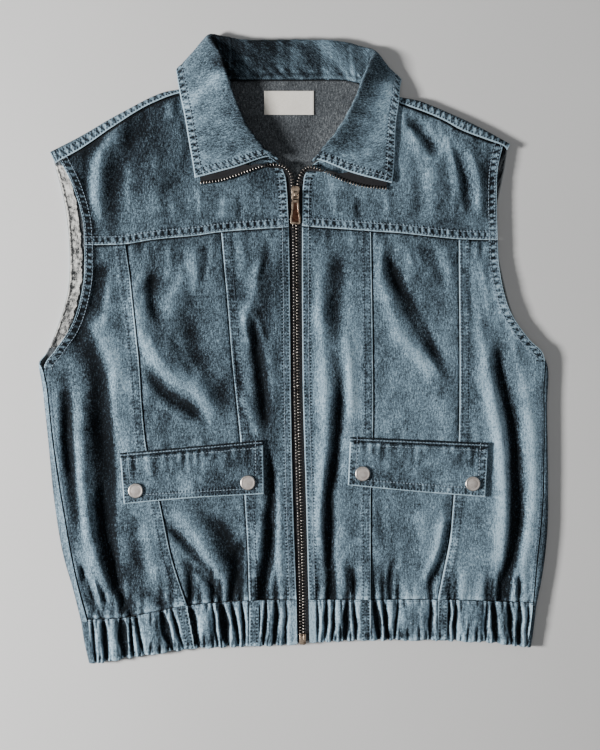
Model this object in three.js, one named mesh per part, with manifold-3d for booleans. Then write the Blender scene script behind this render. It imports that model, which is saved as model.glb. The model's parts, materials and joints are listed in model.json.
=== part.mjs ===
// A sleeveless denim vest with a shirt collar, laid flat on its back with its zip closed.
// Millimetres. X runs to the right as seen from above, Y towards the collar, Z up from the
// surface that it lies on. The origin is under the middle of the vest. Cloth is a thin wall:
// the back lies on the surface and wraps over the sides and shoulders to the seams, and the
// front lies over it as one height field that is cut into its sewn panels.
import * as THREE from 'three';
import Module from 'manifold-3d';

const wasm = await Module();
wasm.setup();

// Driving dimensions: cloth
const CLOTH = 1.2;
const DOUBLE_CLOTH = 2.0;
const GAP = 0.3;
const LYING_GAP = 0.45;
const FELL_WIDTH = 10;
const FELL_RISE = 0.7;
const REST_HEIGHT = 9.0;
const LOWEST_FOLD = 4.2;
const ROLL_RADIUS = 4.4;
const FALL_LIFT = 2.5;
const EDGE_CLEARANCE = 1.1;
const BAND_CLEARANCE = 0.4;
const BACK_HEM_INSET = 0.8;
const HEM_SPLIT = 9;

// Driving dimensions: zip, snaps and label
const ZIP_HEIGHT = 9.2;
const ZIP_FLAT = 12.5;
const TOOTH_WIDTH = 2.6;
const CHAIN_TOP = 9.0;
const CHAIN_DEPTH = 2.6;
const TAPE = 0.8;
const TAPE_WIDTH = 9;
const SLIDER = { y: 157.5, length: 13, width: 8.8, plate: 1.2 };
const BAIL = { y: 155.6, axis: 11.8, inner: 2.2, wall: 1.0, width: 3, top: 13.1 };
const PULL = { length: 30, width: 10, thick: 1.4, bar: 0.7, eye: 5.2, eyeWidth: 4.4, tilt: 3 };
const ZIP_BOX = { y: -289.5, width: 6.4, length: 11, height: 3.4 };
const SNAP = { radius: 7.5, rise: 2.2 };
const LABEL = { x: -5, y: 248.5, width: 50, height: 24, thick: 0.8 };

const DENIM = { color: 0x6d8ba6, roughness: 0.9, metalness: 0 };
const DENIM_SHADE = { color: 0x4e6a85, roughness: 0.92, metalness: 0 };
const BRASS = { color: 0x9a7c58, roughness: 0.4, metalness: 0.9 };
const NICKEL = { color: 0xcdbfb4, roughness: 0.35, metalness: 0.9 };
const TAPE_BLACK = { color: 0x17181b, roughness: 0.95, metalness: 0 };
const LABEL_WHITE = { color: 0xe9e3d6, roughness: 0.8, metalness: 0 };
const FACING_PALE = { color: 0xb9b7ac, roughness: 0.9, metalness: 0 };

const group = new THREE.Group();
group.name = 'denim_vest';

// A smooth line through points on the surface, kept as [x, y] pairs.
function line(...points) {
  const places = points.map(([x, y]) => new THREE.Vector3(x, y, 0));
  return new THREE.CatmullRomCurve3(places, false, 'centripetal');
}

// The outline and the sewn lines of the front, from the hem upwards or from left to right.
const SIDE_SEAM = {
  left: line([-206, -270], [-218, -225], [-231, -155], [-241, -90], [-247, -35], [-250, -16],
    [-239, 0], [-222, 26], [-211, 66], [-209.5, 105]),
  right: line([239.5, -253], [244.5, -200], [249, -150], [250, -100], [250, -40], [249.5, -4],
    [236, 10], [216, 40], [206, 80], [204, 110]),
};
const YOKE_SEAM = {
  left: line([-209.5, 105], [-169, 106], [-144, 110], [-94, 115], [-73, 118], [-5, 123]),
  right: line([8, 124], [77, 119], [106, 117], [165, 111], [204, 110]),
};
const YOKE_ARMHOLE = {
  left: line([-209.5, 105], [-212, 132], [-222, 165], [-234, 189]),
  right: line([204, 110], [203, 150], [204, 180], [209, 204]),
};
const SHOULDER_SEAM = {
  left: line([-234, 189], [-214, 200], [-184, 220], [-150, 242], [-116, 256], [-84, 262]),
  right: line([84, 252], [106, 246], [146, 231], [166, 220], [186, 212], [209, 204]),
};
const NECK_AND_ZIP_EDGE = {
  left: line([-5, 123], [-7, 160], [-9, 175], [-15, 186], [-32, 199], [-50, 214], [-68, 236],
    [-84, 262]),
  right: line([8, 124], [9, 165], [11, 176], [17, 184], [32, 195], [48, 208], [65, 229],
    [84, 252]),
};
const PANEL_SEAM = {
  leftOuter: line([-107, -256], [-122, -210], [-134, -155], [-148, -97], [-156, 0],
    [-161, 50], [-169, 106]),
  leftInner: line([-45, -251], [-47, -190], [-54, -88], [-62, -10], [-66, 40], [-73, 118]),
  rightInner: line([77, -250], [77, -140], [79, -83], [79, -10], [77, 119]),
  rightOuter: line([144, -250], [149, -225], [156, -190], [160, -147], [165, -88], [165, 111]),
};
const ZIP_EDGE = {
  left: line([2.5, -250], [-1, -150], [-3, -50], [-4, 50], [-5, 123]),
  right: line([14.5, -250], [12, -150], [9, -50], [8, 50], [8, 124]),
};
const WAIST_SEAM = {
  left: line([-206, -270], [-169, -268], [-144, -263], [-107, -256], [-45, -251], [2.5, -250]),
  right: line([14.5, -250], [77, -250], [144, -250], [186, -251], [239.5, -253]),
};
const HEM = {
  left: line([-199, -314], [-144, -305], [-97, -299], [-45, -297], [3.5, -295]),
  right: line([15.5, -293], [77, -291], [142, -291], [196, -293], [233.5, -298]),
};
const BAND_END = {
  left: line([-206, -270], [-204, -290], [-199, -314]),
  right: line([239.5, -253], [237, -275], [233.5, -298]),
};
const BAND_ZIP_END = {
  left: line([2.5, -250], [3.5, -295]),
  right: line([14.5, -250], [15.5, -293]),
};

// The silhouette of the back, which wraps past it to the seams above.
const BACK_SIDE = {
  left: line([-214, -272], [-222, -240], [-232, -205], [-241, -150], [-247, -90], [-253, -35],
    [-256, -13], [-249, -2], [-236, 30], [-228, 60], [-226, 90], [-230, 140], [-238, 175],
    [-245, 197]),
  right: line([243.5, -256], [250, -222], [254.5, -180], [255, -120], [254, -60], [253.5, -12],
    [240, 4], [222, 33], [210, 75], [204, 110], [204, 140], [209, 168], [216, 202]),
};
const BACK_BAND_SIDE = {
  left: line([-214, -272], [-211, -292], [-206, -314]),
  right: line([243.5, -256], [241, -278], [238, -298]),
};
const BACK_TOP = line([-245, 199], [-214, 215], [-174, 238], [-134, 258], [-114, 262],
  [-90, 269], [-60, 272], [0, 272], [60, 271], [88, 263], [103, 255], [126, 250], [156, 238],
  [186, 224], [217, 207]);

// Folds of the front: a crest or a valley through a few places, its half widths towards
// -X and +X, and how far it stands above or below the cloth around it.
const FOLDS = [
  { path: line([-162, 235], [-190, 200], [-195, 165], [-193, 122]), west: 8, east: 12, high: 4 },
  { path: line([-146, 240], [-168, 195], [-184, 160], [-182, 125]), west: 9, east: 10, high: -2.6 },
  { path: line([-126, 250], [-121, 228]), west: 5, east: 6, high: 1.8 },
  { path: line([-134, 205], [-138, 165], [-136, 124]), west: 13, east: 13, high: 2.2 },
  { path: line([-124, 165], [-118, 125]), west: 4, east: 5, high: 1.4 },
  { path: line([-69, 158], [-72, 126]), west: 5, east: 5, high: 1.6 },
  { path: line([111, 236], [131, 215], [145, 190]), west: 6, east: 6, high: -3 },
  { path: line([151, 220], [161, 185], [166, 148]), west: 6, east: 6, high: 2.4 },
  { path: line([156, 215], [170, 175], [176, 128]), west: 5, east: 5, high: -2 },
  { path: line([172, 208], [184, 170], [186, 130]), west: 6, east: 6, high: 2.4 },
  { path: line([134, 190], [137, 155], [139, 124]), west: 12, east: 12, high: 2.2 },
  { path: line([122, 205], [126, 160], [124, 124]), west: 6, east: 6, high: -1.4 },
  { path: line([-190, 96], [-196, 55], [-200, 20]), west: 8, east: 8, high: -2.2 },
  { path: line([-140, 92], [-158, 62], [-152, 15], [-128, -22], [-92, -45], [-74, -72]),
    west: 10, east: 14, high: 4.6 },
  { path: line([-101, 100], [-110, 75], [-122, 50], [-124, 25]), west: 8, east: 10, high: 2.6 },
  { path: line([-140, 85], [-142, 50], [-132, 22]), west: 5, east: 6, high: -2.4 },
  { path: line([-104, 45], [-100, 0], [-78, -38], [-67, -70]), west: 9, east: 12, high: -2.2 },
  { path: line([-150, -14], [-130, -42], [-100, -62], [-84, -80]), west: 6, east: 7, high: -3 },
  { path: line([-33, 100], [-38, 68], [-47, 35], [-50, 15]), west: 7, east: 8, high: 3 },
  { path: line([-43, 42], [-36, 5], [-30, -40], [-26, -88]), west: 8, east: 4, high: -4.2 },
  { path: line([-26, -88], [-22, -150], [-23, -205], [-30, -246]), west: 8, east: 4, high: -4 },
  { path: line([-55, -35], [-42, -68], [-34, -92]), west: 6, east: 6, high: 2.2 },
  { path: line([-196, 60], [-196, 20], [-180, -15], [-178, -60], [-172, -96]),
    west: 6, east: 14, high: 3.4 },
  { path: line([-206, 12], [-192, -28], [-188, -80], [-184, -130], [-184, -185], [-170, -245]),
    west: 9, east: 6, high: -4.4 },
  { path: line([-214, -20], [-211, -90], [-207, -160], [-196, -215], [-184, -262]),
    west: 9, east: 7, high: 3.6 },
  { path: line([-226, -35], [-226, -90], [-220, -150], [-210, -205]), west: 5, east: 5, high: -2.2 },
  { path: line([-149, -165], [-143, -205], [-131, -245]), west: 8, east: 9, high: 2.8 },
  { path: line([-130, -152], [-104, -175], [-82, -207], [-64, -245]), west: 9, east: 11, high: 4.2 },
  { path: line([-133, -162], [-105, -200], [-80, -225], [-70, -243]), west: 6, east: 4, high: -2.6 },
  { path: line([-86, -158], [-68, -190], [-56, -222]), west: 10, east: 9, high: -2.6 },
  { path: line([25, 112], [26, 60], [30, 0], [32, -70], [27, -150], [24, -222]),
    west: 7, east: 7, high: 2.6 },
  { path: line([42, 105], [42, 50], [42, 10]), west: 8, east: 9, high: -2.2 },
  { path: line([50, 0], [47, -40], [44, -90], [35, -150], [35, -205], [37, -232]),
    west: 5, east: 6, high: -4 },
  { path: line([52, 28], [56, -20], [58, -75]), west: 6, east: 6, high: 2.4 },
  { path: line([82, 92], [92, 55], [112, 10], [140, -22], [152, -50]), west: 11, east: 9, high: 3 },
  { path: line([88, 108], [104, 70], [122, 35], [140, 0], [160, -35]), west: 7, east: 6, high: -3 },
  { path: line([131, 110], [142, 85], [152, 58]), west: 5, east: 5, high: -1.8 },
  { path: line([184, 50], [190, 5], [200, -55], [208, -110], [212, -180], [204, -240]),
    west: 9, east: 8, high: 3 },
  { path: line([204, 30], [207, -20], [219, -75], [223, -140], [219, -195], [208, -246]),
    west: 7, east: 5, high: -4.4 },
  { path: line([228, -20], [239, -90], [240, -150], [233, -205], [226, -240]),
    west: 6, east: 6, high: 2 },
  { path: line([126, -152], [130, -185], [128, -215]), west: 10, east: 10, high: 2.2 },
  { path: line([151, -158], [145, -195], [128, -238]), west: 6, east: 5, high: 2.6 },
  { path: line([157, -165], [150, -200], [136, -240]), west: 4, east: 4, high: -2.2 },
];

// Gathers at the waist: where each valley meets the waist seam and the hem, and its depth.
const GATHERS = {
  left: [
    { seam: -202, hem: -198, deep: 2.0 }, { seam: -191, hem: -187, deep: 2.8 },
    { seam: -182, hem: -177, deep: 2.4 }, { seam: -173, hem: -169, deep: 3.0 },
    { seam: -164, hem: -161, deep: 3.2 }, { seam: -159, hem: -150, deep: 2.8 },
    { seam: -152, hem: -140, deep: 2.6 }, { seam: -133, hem: -121, deep: 3.2 },
    { seam: -123, hem: -110, deep: 3.0 }, { seam: -104, hem: -95, deep: 3.2 },
    { seam: -94, hem: -85, deep: 2.2 }, { seam: -82, hem: -76, deep: 3.2 },
    { seam: -74, hem: -66, deep: 3.2 }, { seam: -63, hem: -55, deep: 3.0 },
    { seam: -53, hem: -49, deep: 3.2 }, { seam: -35, hem: -37, deep: 2.8 },
    { seam: -28, hem: -31, deep: 3.2 }, { seam: -18, hem: -19, deep: 3.0 },
    { seam: -8, hem: -8, deep: 2.2 },
  ],
  right: [
    { seam: 23, hem: 24, deep: 2.4 }, { seam: 33, hem: 31, deep: 3.0 },
    { seam: 41, hem: 38, deep: 2.4 }, { seam: 54, hem: 51, deep: 3.0 },
    { seam: 60, hem: 62, deep: 2.8 }, { seam: 80, hem: 86, deep: 3.0 },
    { seam: 89, hem: 94, deep: 3.0 }, { seam: 97, hem: 96, deep: 2.8 },
    { seam: 104, hem: 100, deep: 3.0 }, { seam: 118, hem: 120, deep: 1.2 },
    { seam: 137, hem: 137, deep: 2.8 }, { seam: 155, hem: 152, deep: 3.0 },
    { seam: 162, hem: 161, deep: 3.0 }, { seam: 178, hem: 177, deep: 1.0 },
    { seam: 194, hem: 192, deep: 3.2 }, { seam: 199, hem: 203, deep: 3.0 },
    { seam: 206, hem: 208, deep: 3.0 }, { seam: 215, hem: 218, deep: 3.2 },
    { seam: 226, hem: 225, deep: 3.0 }, { seam: 235, hem: 233, deep: 2.2 },
  ],
};

// The collar, from its left front end round the back to its right front end: its seam at the
// neck, the crest where it turns over, the middle of its leaf and the leaf's outer edge.
const COLLAR = [
  { neck: [-15, 190, 10.8], crest: [-23, 193, 13], leaf: [-60, 182, 12.2], edge: [-99, 171.5, 11.5] },
  { neck: [-30, 198, 10.8], crest: [-33, 204, 16], leaf: [-68, 195, 13], edge: [-101, 185.5, 11.5] },
  { neck: [-48, 212, 10.8], crest: [-46, 221, 18], leaf: [-76, 215, 13.5], edge: [-105, 208, 11.5] },
  { neck: [-65, 233, 10.8], crest: [-56, 242, 20], leaf: [-84, 238, 14], edge: [-109, 232, 11.5] },
  { neck: [-78, 256, 10.6], crest: [-66, 270, 21], leaf: [-93, 264, 14], edge: [-114, 256, 11] },
  { neck: [-79, 266, 9.5], crest: [-74, 294, 17], leaf: [-99, 284, 11], edge: [-117, 273, 8] },
  { neck: [-76, 269, 7.4], crest: [-84, 314, 9.5], leaf: [-102, 297, 6.5], edge: [-117, 282, 3.4] },
  { neck: [-68, 270, 6.2], crest: [-70, 314, 7], leaf: [-86, 290, 1], edge: [-102, 275, 1] },
  { neck: [-48, 270, 6], crest: [-48, 310, 8], leaf: [-54, 282, 1], edge: [-62, 250, 1] },
  { neck: [0, 270, 6], crest: [0, 310, 8.5], leaf: [0, 280, 1], edge: [0, 246, 1] },
  { neck: [48, 270, 6], crest: [44, 309, 8], leaf: [52, 281, 1], edge: [60, 249, 1] },
  { neck: [66, 266, 6.2], crest: [66, 304, 7], leaf: [80, 281, 1], edge: [94, 266, 1] },
  { neck: [74, 262, 7.4], crest: [80, 298, 10], leaf: [94, 284, 6.5], edge: [107, 272, 3.4] },
  { neck: [78, 255, 9.5], crest: [74, 282, 18], leaf: [92, 272, 12], edge: [106, 262, 8] },
  { neck: [76, 244, 10.8], crest: [67, 264, 21], leaf: [88, 256, 14], edge: [105, 247, 11.2] },
  { neck: [62, 226, 10.8], crest: [57, 240, 20], leaf: [82, 234, 14], edge: [102, 226, 11.5] },
  { neck: [46, 207, 10.8], crest: [43, 217, 18], leaf: [73, 210, 13.5], edge: [101, 204, 11.5] },
  { neck: [30, 194, 10.8], crest: [29, 200, 16], leaf: [66, 190.5, 13], edge: [100, 182.5, 11.5] },
  { neck: [17, 188, 10.8], crest: [22, 190, 13], leaf: [58, 177, 12.2], edge: [98, 166.5, 11.5] },
];

// The open chain above the slider and along the collar's front edge, from the slider up:
// how far it stands above the closed chain, the tape's width and how far the tape has turned
// over round the chain where the collar folds out.
const OPEN_CHAIN = {
  left: [
    { at: [-1.7, 171], over: 0.5, tape: 2, turned: 0 },
    { at: [-4, 178.5], over: 1.6, tape: 2.4, turned: 0 },
    { at: [-10, 184], over: 3, tape: 2, turned: 0 },
    { at: [-20, 185.5], over: 3.4, tape: 2, turned: 10 },
    { at: [-28, 184.5], over: 3.6, tape: 1.6, turned: 60 },
    { at: [-35, 182.5], over: 3.6, tape: 1.6, turned: 130 },
    { at: [-42, 180.2], over: 3.6, tape: 2.5, turned: 180 },
    { at: [-50, 177.2], over: 3.6, tape: 8, turned: 180 },
    { at: [-72, 170], over: 3.6, tape: 8, turned: 180 },
    { at: [-93, 167], over: 3.6, tape: 8, turned: 180 },
  ],
  right: [
    { at: [4.9, 171], over: 0.5, tape: 2, turned: 0 },
    { at: [7.6, 177.5], over: 1.6, tape: 2, turned: 0 },
    { at: [13, 182.5], over: 3, tape: 2, turned: 0 },
    { at: [21, 182.5], over: 3.4, tape: 2, turned: 10 },
    { at: [29, 179.5], over: 3.6, tape: 1.6, turned: 60 },
    { at: [36, 176], over: 3.6, tape: 1.6, turned: 130 },
    { at: [43, 172.5], over: 3.6, tape: 2.5, turned: 180 },
    { at: [51, 169], over: 3.6, tape: 8, turned: 180 },
    { at: [68, 164], over: 3.6, tape: 8, turned: 180 },
    { at: [92, 161.5], over: 3.6, tape: 8, turned: 180 },
  ],
};

const FLAPS = {
  left: { corners: [[-170, -154], [-30, -144], [-31, -90], [-174, -103]] },
  right: { corners: [[54, -135], [191, -147], [194, -93], [56, -87]] },
};
const SNAPS = [
  { name: 'snap_left_outer', x: -158, y: -140.5 },
  { name: 'snap_left_inner', x: -46, y: -132.5 },
  { name: 'snap_right_inner', x: 68.5, y: -123.5 },
  { name: 'snap_right_outer', x: 178.5, y: -133.5 },
];

function smooth(from, to, value) {
  const share = Math.min(1, Math.max(0, (value - from) / (to - from)));
  return share * share * (3 - 2 * share);
}

function zipCentre(y) {
  return y < 0 ? 2.4 + 6.4 * smooth(20, -300, y) : 1.4 + smooth(170, 0, y);
}

// Height of one fold at a place, fading out at both of its ends.
function foldSamples(fold) {
  const points = fold.path.getSpacedPoints(18);
  const reach = 3 * Math.max(fold.west, fold.east);
  const box = new THREE.Box3().setFromPoints(points).expandByScalar(reach);
  return { ...fold, points, box };
}

const SAMPLED_FOLDS = FOLDS.map(foldSamples);

function foldHeight(fold, x, y) {
  const { box, points } = fold;
  if (x < box.min.x || x > box.max.x || y < box.min.y || y > box.max.y) return 0;
  let best = Infinity;
  let share = 0;
  let side = 1;
  for (let i = 0; i + 1 < points.length; i += 1) {
    const a = points[i];
    const dx = points[i + 1].x - a.x;
    const dy = points[i + 1].y - a.y;
    const t = Math.min(1, Math.max(0, ((x - a.x) * dx + (y - a.y) * dy) / (dx * dx + dy * dy)));
    const away = Math.hypot(x - a.x - t * dx, y - a.y - t * dy);
    if (away < best) {
      best = away;
      share = (i + t) / (points.length - 1);
      side = (x - a.x) * dy - (y - a.y) * dx;
    }
  }
  const width = side < 0 ? fold.east : fold.west;
  const ends = smooth(0, 0.22, share) * smooth(1, 0.78, share);
  return fold.high * ends * Math.exp(-((best / width) ** 2));
}

// A flap presses the cloth below it nearly flat.
function flapPress(x, y) {
  const left = smooth(-186, -172, x) * smooth(-18, -32, x) * smooth(-166, -152, y)
    * smooth(-78, -92, y);
  const right = smooth(42, 56, x) * smooth(206, 192, x) * smooth(-158, -144, y)
    * smooth(-74, -90, y);
  return Math.max(left, right);
}

// Short valleys that run up from the waist seam.
function gatherDip(x, y) {
  let dip = 0;
  for (const row of x < 8 ? GATHERS.left : GATHERS.right) {
    const foot = x < 8 ? -256 : -251;
    const reach = 22 + 9 * row.deep;
    const fade = smooth(reach, 0, y - foot);
    dip += 0.55 * row.deep * fade * Math.exp(-(((x - row.seam) / 4.2) ** 2));
  }
  return dip;
}

// Outer face of the front above the surface.
function frontHeight(x, y) {
  let height = REST_HEIGHT + 0.5 * Math.sin(x / 31 + 1) * Math.cos(y / 47);
  const pressed = 1 - 0.75 * flapPress(x, y);
  for (const fold of SAMPLED_FOLDS) height += pressed * foldHeight(fold, x, y);
  height -= gatherDip(x, y);
  if (height < LOWEST_FOLD + 1) height = LOWEST_FOLD + Math.exp(height - LOWEST_FOLD - 1);
  const fromZip = Math.abs(x - zipCentre(y));
  return THREE.MathUtils.lerp(ZIP_HEIGHT, height, smooth(ZIP_FLAT, ZIP_FLAT + 5, fromZip));
}

// The highest point of the front within a few millimetres of a place.
function highestNear(x, y, reach, surface = frontHeight) {
  let high = surface(x, y);
  for (let i = 0; i < 8; i += 1) {
    const angle = (i * Math.PI) / 4;
    high = Math.max(high, surface(x + reach * Math.cos(angle), y + reach * Math.sin(angle)));
  }
  return high;
}

// Closed wall between two grids of points, rows of [x, y, z], edges joined round.
function wallGeometry(outer, inner) {
  const rows = outer.length;
  const columns = outer[0].length;
  const position = [];
  for (const grid of [outer, inner]) {
    for (const row of grid) for (const point of row) position.push(...point);
  }
  const top = (j, i) => j * columns + i;
  const under = (j, i) => rows * columns + j * columns + i;
  const index = [];
  const quad = (a, b, c, d) => index.push(a, b, c, a, c, d);
  for (let j = 0; j + 1 < rows; j += 1) {
    for (let i = 0; i + 1 < columns; i += 1) {
      quad(top(j, i), top(j, i + 1), top(j + 1, i + 1), top(j + 1, i));
      quad(under(j, i), under(j + 1, i), under(j + 1, i + 1), under(j, i + 1));
    }
  }
  for (let i = 0; i + 1 < columns; i += 1) {
    quad(under(0, i), under(0, i + 1), top(0, i + 1), top(0, i));
    quad(top(rows - 1, i), top(rows - 1, i + 1), under(rows - 1, i + 1), under(rows - 1, i));
  }
  for (let j = 0; j + 1 < rows; j += 1) {
    quad(top(j, 0), top(j + 1, 0), under(j + 1, 0), under(j, 0));
    quad(under(j, columns - 1), under(j + 1, columns - 1), top(j + 1, columns - 1),
      top(j, columns - 1));
  }
  const geometry = new THREE.BufferGeometry();
  geometry.setAttribute('position', new THREE.Float32BufferAttribute(position, 3));
  if (signedVolume(position, index) < 0) index.reverse();
  geometry.setIndex(index);
  return geometry;
}

function signedVolume(position, index) {
  const corner = (k) => new THREE.Vector3().fromArray(position, 3 * index[k]);
  let volume = 0;
  for (let k = 0; k < index.length; k += 3) {
    volume += corner(k).dot(corner(k + 1).cross(corner(k + 2)));
  }
  return volume;
}

function addMesh(name, geometry, finish) {
  const mesh = new THREE.Mesh(geometry, new THREE.MeshStandardMaterial(finish));
  mesh.name = name;
  group.add(mesh);
  return mesh;
}

// A place inside four border lines, worked out from all four.
function patchPoint({ bottom, top, left, right }, u, v) {
  const b = bottom.getPointAt(u);
  const t = top.getPointAt(u);
  const l = left.getPointAt(v);
  const r = right.getPointAt(v);
  const corner = (curve, end) => curve.getPointAt(end);
  const blend = (key) => {
    const sides = (1 - u) * l[key] + u * r[key] + (1 - v) * b[key] + v * t[key];
    const low = (1 - u) * corner(bottom, 0)[key] + u * corner(bottom, 1)[key];
    const high = (1 - u) * corner(top, 0)[key] + u * corner(top, 1)[key];
    return sides - (1 - v) * low - v * high;
  };
  return [blend('x'), blend('y')];
}

// Part of a line, by shares of its length.
function stretch(curve, from, to) {
  return { getPointAt: (t) => curve.getPointAt(from + (to - from) * t) };
}

// Share of a line's length at which it passes nearest to an x.
function shareAtX(curve, x) {
  let best = 0;
  for (let i = 0; i <= 400; i += 1) {
    if (Math.abs(curve.getPointAt(i / 400).x - x) < Math.abs(curve.getPointAt(best).x - x)) {
      best = i / 400;
    }
  }
  return best;
}

// Shares across a panel: closer together where a felled seam or hem is raised at a side.
function sharesAcross(width, count, felled) {
  const step = FELL_WIDTH / width;
  const ramp = 1.2 / width;
  const low = felled.low ? [0, step / 2, step, step + ramp] : [0];
  const high = felled.high ? [1 - step - ramp, 1 - step, 1 - step / 2, 1] : [1];
  const from = low[low.length - 1];
  const to = high[0];
  const middle = [];
  for (let i = 1; i < count; i += 1) middle.push(from + ((to - from) * i) / count);
  return [...low, ...middle, ...high];
}

function raisedBy(share, width, felled) {
  const edge = (FELL_WIDTH + 0.6) / width;
  const near = (felled.low && share < edge) || (felled.high && 1 - share < edge);
  return near ? FELL_RISE : 0;
}

// One sewn panel of the front, a wall of cloth that follows the front's heights.
function panel(name, borders, size, felled = {}) {
  const us = sharesAcross(size.width, size.columns, felled.across ?? {});
  const vs = sharesAcross(size.height, size.rows, felled.along ?? {});
  const outer = [];
  const inner = [];
  const inset = GAP / 2;
  for (const v of vs) {
    const top = [];
    const under = [];
    for (const u of us) {
      const [x0, y0] = patchPoint(borders, u, v);
      const x = x0 + inset * ((u === 0) - (u === 1));
      const y = y0 + inset * ((v === 0) - (v === 1));
      const height = frontHeight(x, y);
      const slope = Math.hypot(frontHeight(x + 1, y) - height, frontHeight(x, y + 1) - height);
      const rise = Math.max(raisedBy(u, size.width, felled.across ?? {}),
        raisedBy(v, size.height, felled.along ?? {}));
      top.push([x, y, height + rise]);
      under.push([x, y, height - CLOTH * Math.min(1.4, Math.hypot(1, slope))]);
    }
    outer.push(top);
    inner.push(under);
  }
  addMesh(name, wallGeometry(outer, inner), DENIM);
}

function yokes() {
  for (const side of ['left', 'right']) {
    const left = side === 'left';
    const borders = {
      bottom: YOKE_SEAM[side],
      top: SHOULDER_SEAM[side],
      left: left ? YOKE_ARMHOLE.left : NECK_AND_ZIP_EDGE.right,
      right: left ? NECK_AND_ZIP_EDGE.left : YOKE_ARMHOLE.right,
    };
    panel(`front_yoke_${side}`, borders, { width: 180, height: 110, columns: 14, rows: 7 },
      { across: left ? { low: true } : { high: true }, along: { low: true } });
  }
}

function frontPanels() {
  const seams = {
    left: [SIDE_SEAM.left, PANEL_SEAM.leftOuter, PANEL_SEAM.leftInner, ZIP_EDGE.left],
    right: [ZIP_EDGE.right, PANEL_SEAM.rightInner, PANEL_SEAM.rightOuter, SIDE_SEAM.right],
  };
  const pieces = {
    left: [
      { name: 'front_side_left', width: 75, columns: 7, across: { low: true, high: true } },
      { name: 'front_middle_left', width: 92, columns: 10, across: {} },
      { name: 'front_centre_left', width: 55, columns: 7, across: { low: true } },
    ],
    right: [
      { name: 'front_centre_right', width: 66, columns: 7, across: { high: true } },
      { name: 'front_middle_right', width: 84, columns: 9, across: {} },
      { name: 'front_side_right', width: 75, columns: 8, across: { low: true, high: true } },
    ],
  };
  for (const side of ['left', 'right']) {
    pieces[side].forEach((piece, i) => {
      const [left, right] = [seams[side][i], seams[side][i + 1]];
      const ends = (curve, at) => [left, right].map((s) => shareAtX(curve, s.getPointAt(at).x));
      const waist = ends(WAIST_SEAM[side], 0);
      const yoke = ends(YOKE_SEAM[side], 1);
      const borders = {
        left, right, bottom: stretch(WAIST_SEAM[side], ...waist), top: stretch(YOKE_SEAM[side], ...yoke),
      };
      panel(piece.name, borders, { width: piece.width, height: 365, columns: piece.columns, rows: 16 },
        { across: piece.across });
    });
  }
}

// Rise of the elastic casing between its gathers: full puffs with narrow valleys.
function puff(side, x, v) {
  const rows = GATHERS[side];
  const at = (row) => row.seam + (row.hem - row.seam) * (1 - v);
  let low = { x: side === 'left' ? -207 : 14, deep: 1.5 };
  let high = { x: side === 'left' ? 4 : 243, deep: 1.5 };
  for (const row of rows) {
    if (at(row) <= x) low = { x: at(row), deep: row.deep };
  }
  for (const row of [...rows].reverse()) {
    if (at(row) > x) high = { x: at(row), deep: row.deep };
  }
  const t = (x - low.x) / Math.max(1, high.x - low.x);
  const deep = THREE.MathUtils.lerp(low.deep, high.deep, t);
  return deep * (Math.sin(Math.PI * Math.min(1, Math.max(0, t))) ** 0.6 - 0.4);
}

// Columns of a casing: the gathers' valleys and two places on each puff between them.
function casingShares(side, curve) {
  const marks = [0, ...GATHERS[side].map((row) => shareAtX(curve, row.seam)), 1];
  const shares = [0];
  for (let i = 1; i < marks.length; i += 1) {
    const [a, b] = [marks[i - 1], marks[i]];
    for (const t of [0.3, 0.7, 1]) shares.push(a + (b - a) * t);
  }
  return shares;
}

function frontWaistbands() {
  for (const side of ['left', 'right']) {
    const borders = {
      bottom: HEM[side],
      top: WAIST_SEAM[side],
      left: reversed(side === 'left' ? BAND_END.left : BAND_ZIP_END.right),
      right: reversed(side === 'left' ? BAND_ZIP_END.left : BAND_END.right),
    };
    const shares = casingShares(side, WAIST_SEAM[side]);
    const outer = [];
    const inner = [];
    for (const v of [0, 0.12, 0.88, 1]) {
      const top = [];
      const under = [];
      for (const u of shares) {
        const [x0, y0] = patchPoint(borders, u, v);
        const x = x0 + (GAP / 2) * ((u === 0) - (u === 1));
        const y = y0 - (GAP / 2) * (v === 1);
        const seamX = WAIST_SEAM[side].getPointAt(u).x;
        const rounded = v === 0 ? -0.5 : 0;
        const height = 8.6 + puff(side, seamX, 1) + rounded;
        const fromZip = smooth(ZIP_FLAT, ZIP_FLAT + 5, Math.abs(x - zipCentre(y)));
        const z = THREE.MathUtils.lerp(ZIP_HEIGHT + 0.8, height, fromZip);
        top.push([x, y, z]);
        under.push([x, y, z - DOUBLE_CLOTH * (v === 0 ? 0.7 : 1)]);
      }
      outer.push(top);
      inner.push(under);
    }
    addMesh(`front_waistband_${side}`, wallGeometry(outer, inner), DENIM);
  }
}

function reversed(curve) {
  return { getPointAt: (t) => curve.getPointAt(1 - t) };
}

// Cloth that turns up from the surface round an edge: "turn" is 1 for a full half turn and 0
// where the edge lies flat. Steps 0 to 1 go round the turn, and 1 to 2 along the run after it.
function edgeRoll(step, turn, across, height, run) {
  const share = Math.max(0.02, turn);
  const angle = Math.PI * share;
  const [rx, rz] = [across / Math.sqrt(share), height / 2 / Math.sqrt(share)];
  const arc = Math.min(1, step) * angle;
  const past = Math.max(0, step - 1) * run;
  const out = rx * Math.sin(arc) + past * Math.cos(angle);
  const up = rz * (1 - Math.cos(arc)) + past * Math.sin(angle);
  const furthest = share > 0.5 ? rx : rx * Math.sin(angle) + run * Math.cos(angle);
  return { out: out - furthest, up, normal: [Math.sin(arc) / rx, -Math.cos(arc) / rz] };
}

const ROLL_STEPS = [2, 1, 0.74, 0.5, 0.26, 0];
const UP_THE_BACK = [0, 0.15, 0.3, 0.42, 0.475, 0.5, 0.525, 0.56, 0.62, 0.72, 0.84, 0.91, 0.94,
  0.965];

// How far the back is lifted where the collar's fall lies under it.
function fallLift(x, y) {
  return FALL_LIFT * smooth(228, 240, y) * smooth(136, 122, Math.abs(x));
}

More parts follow.
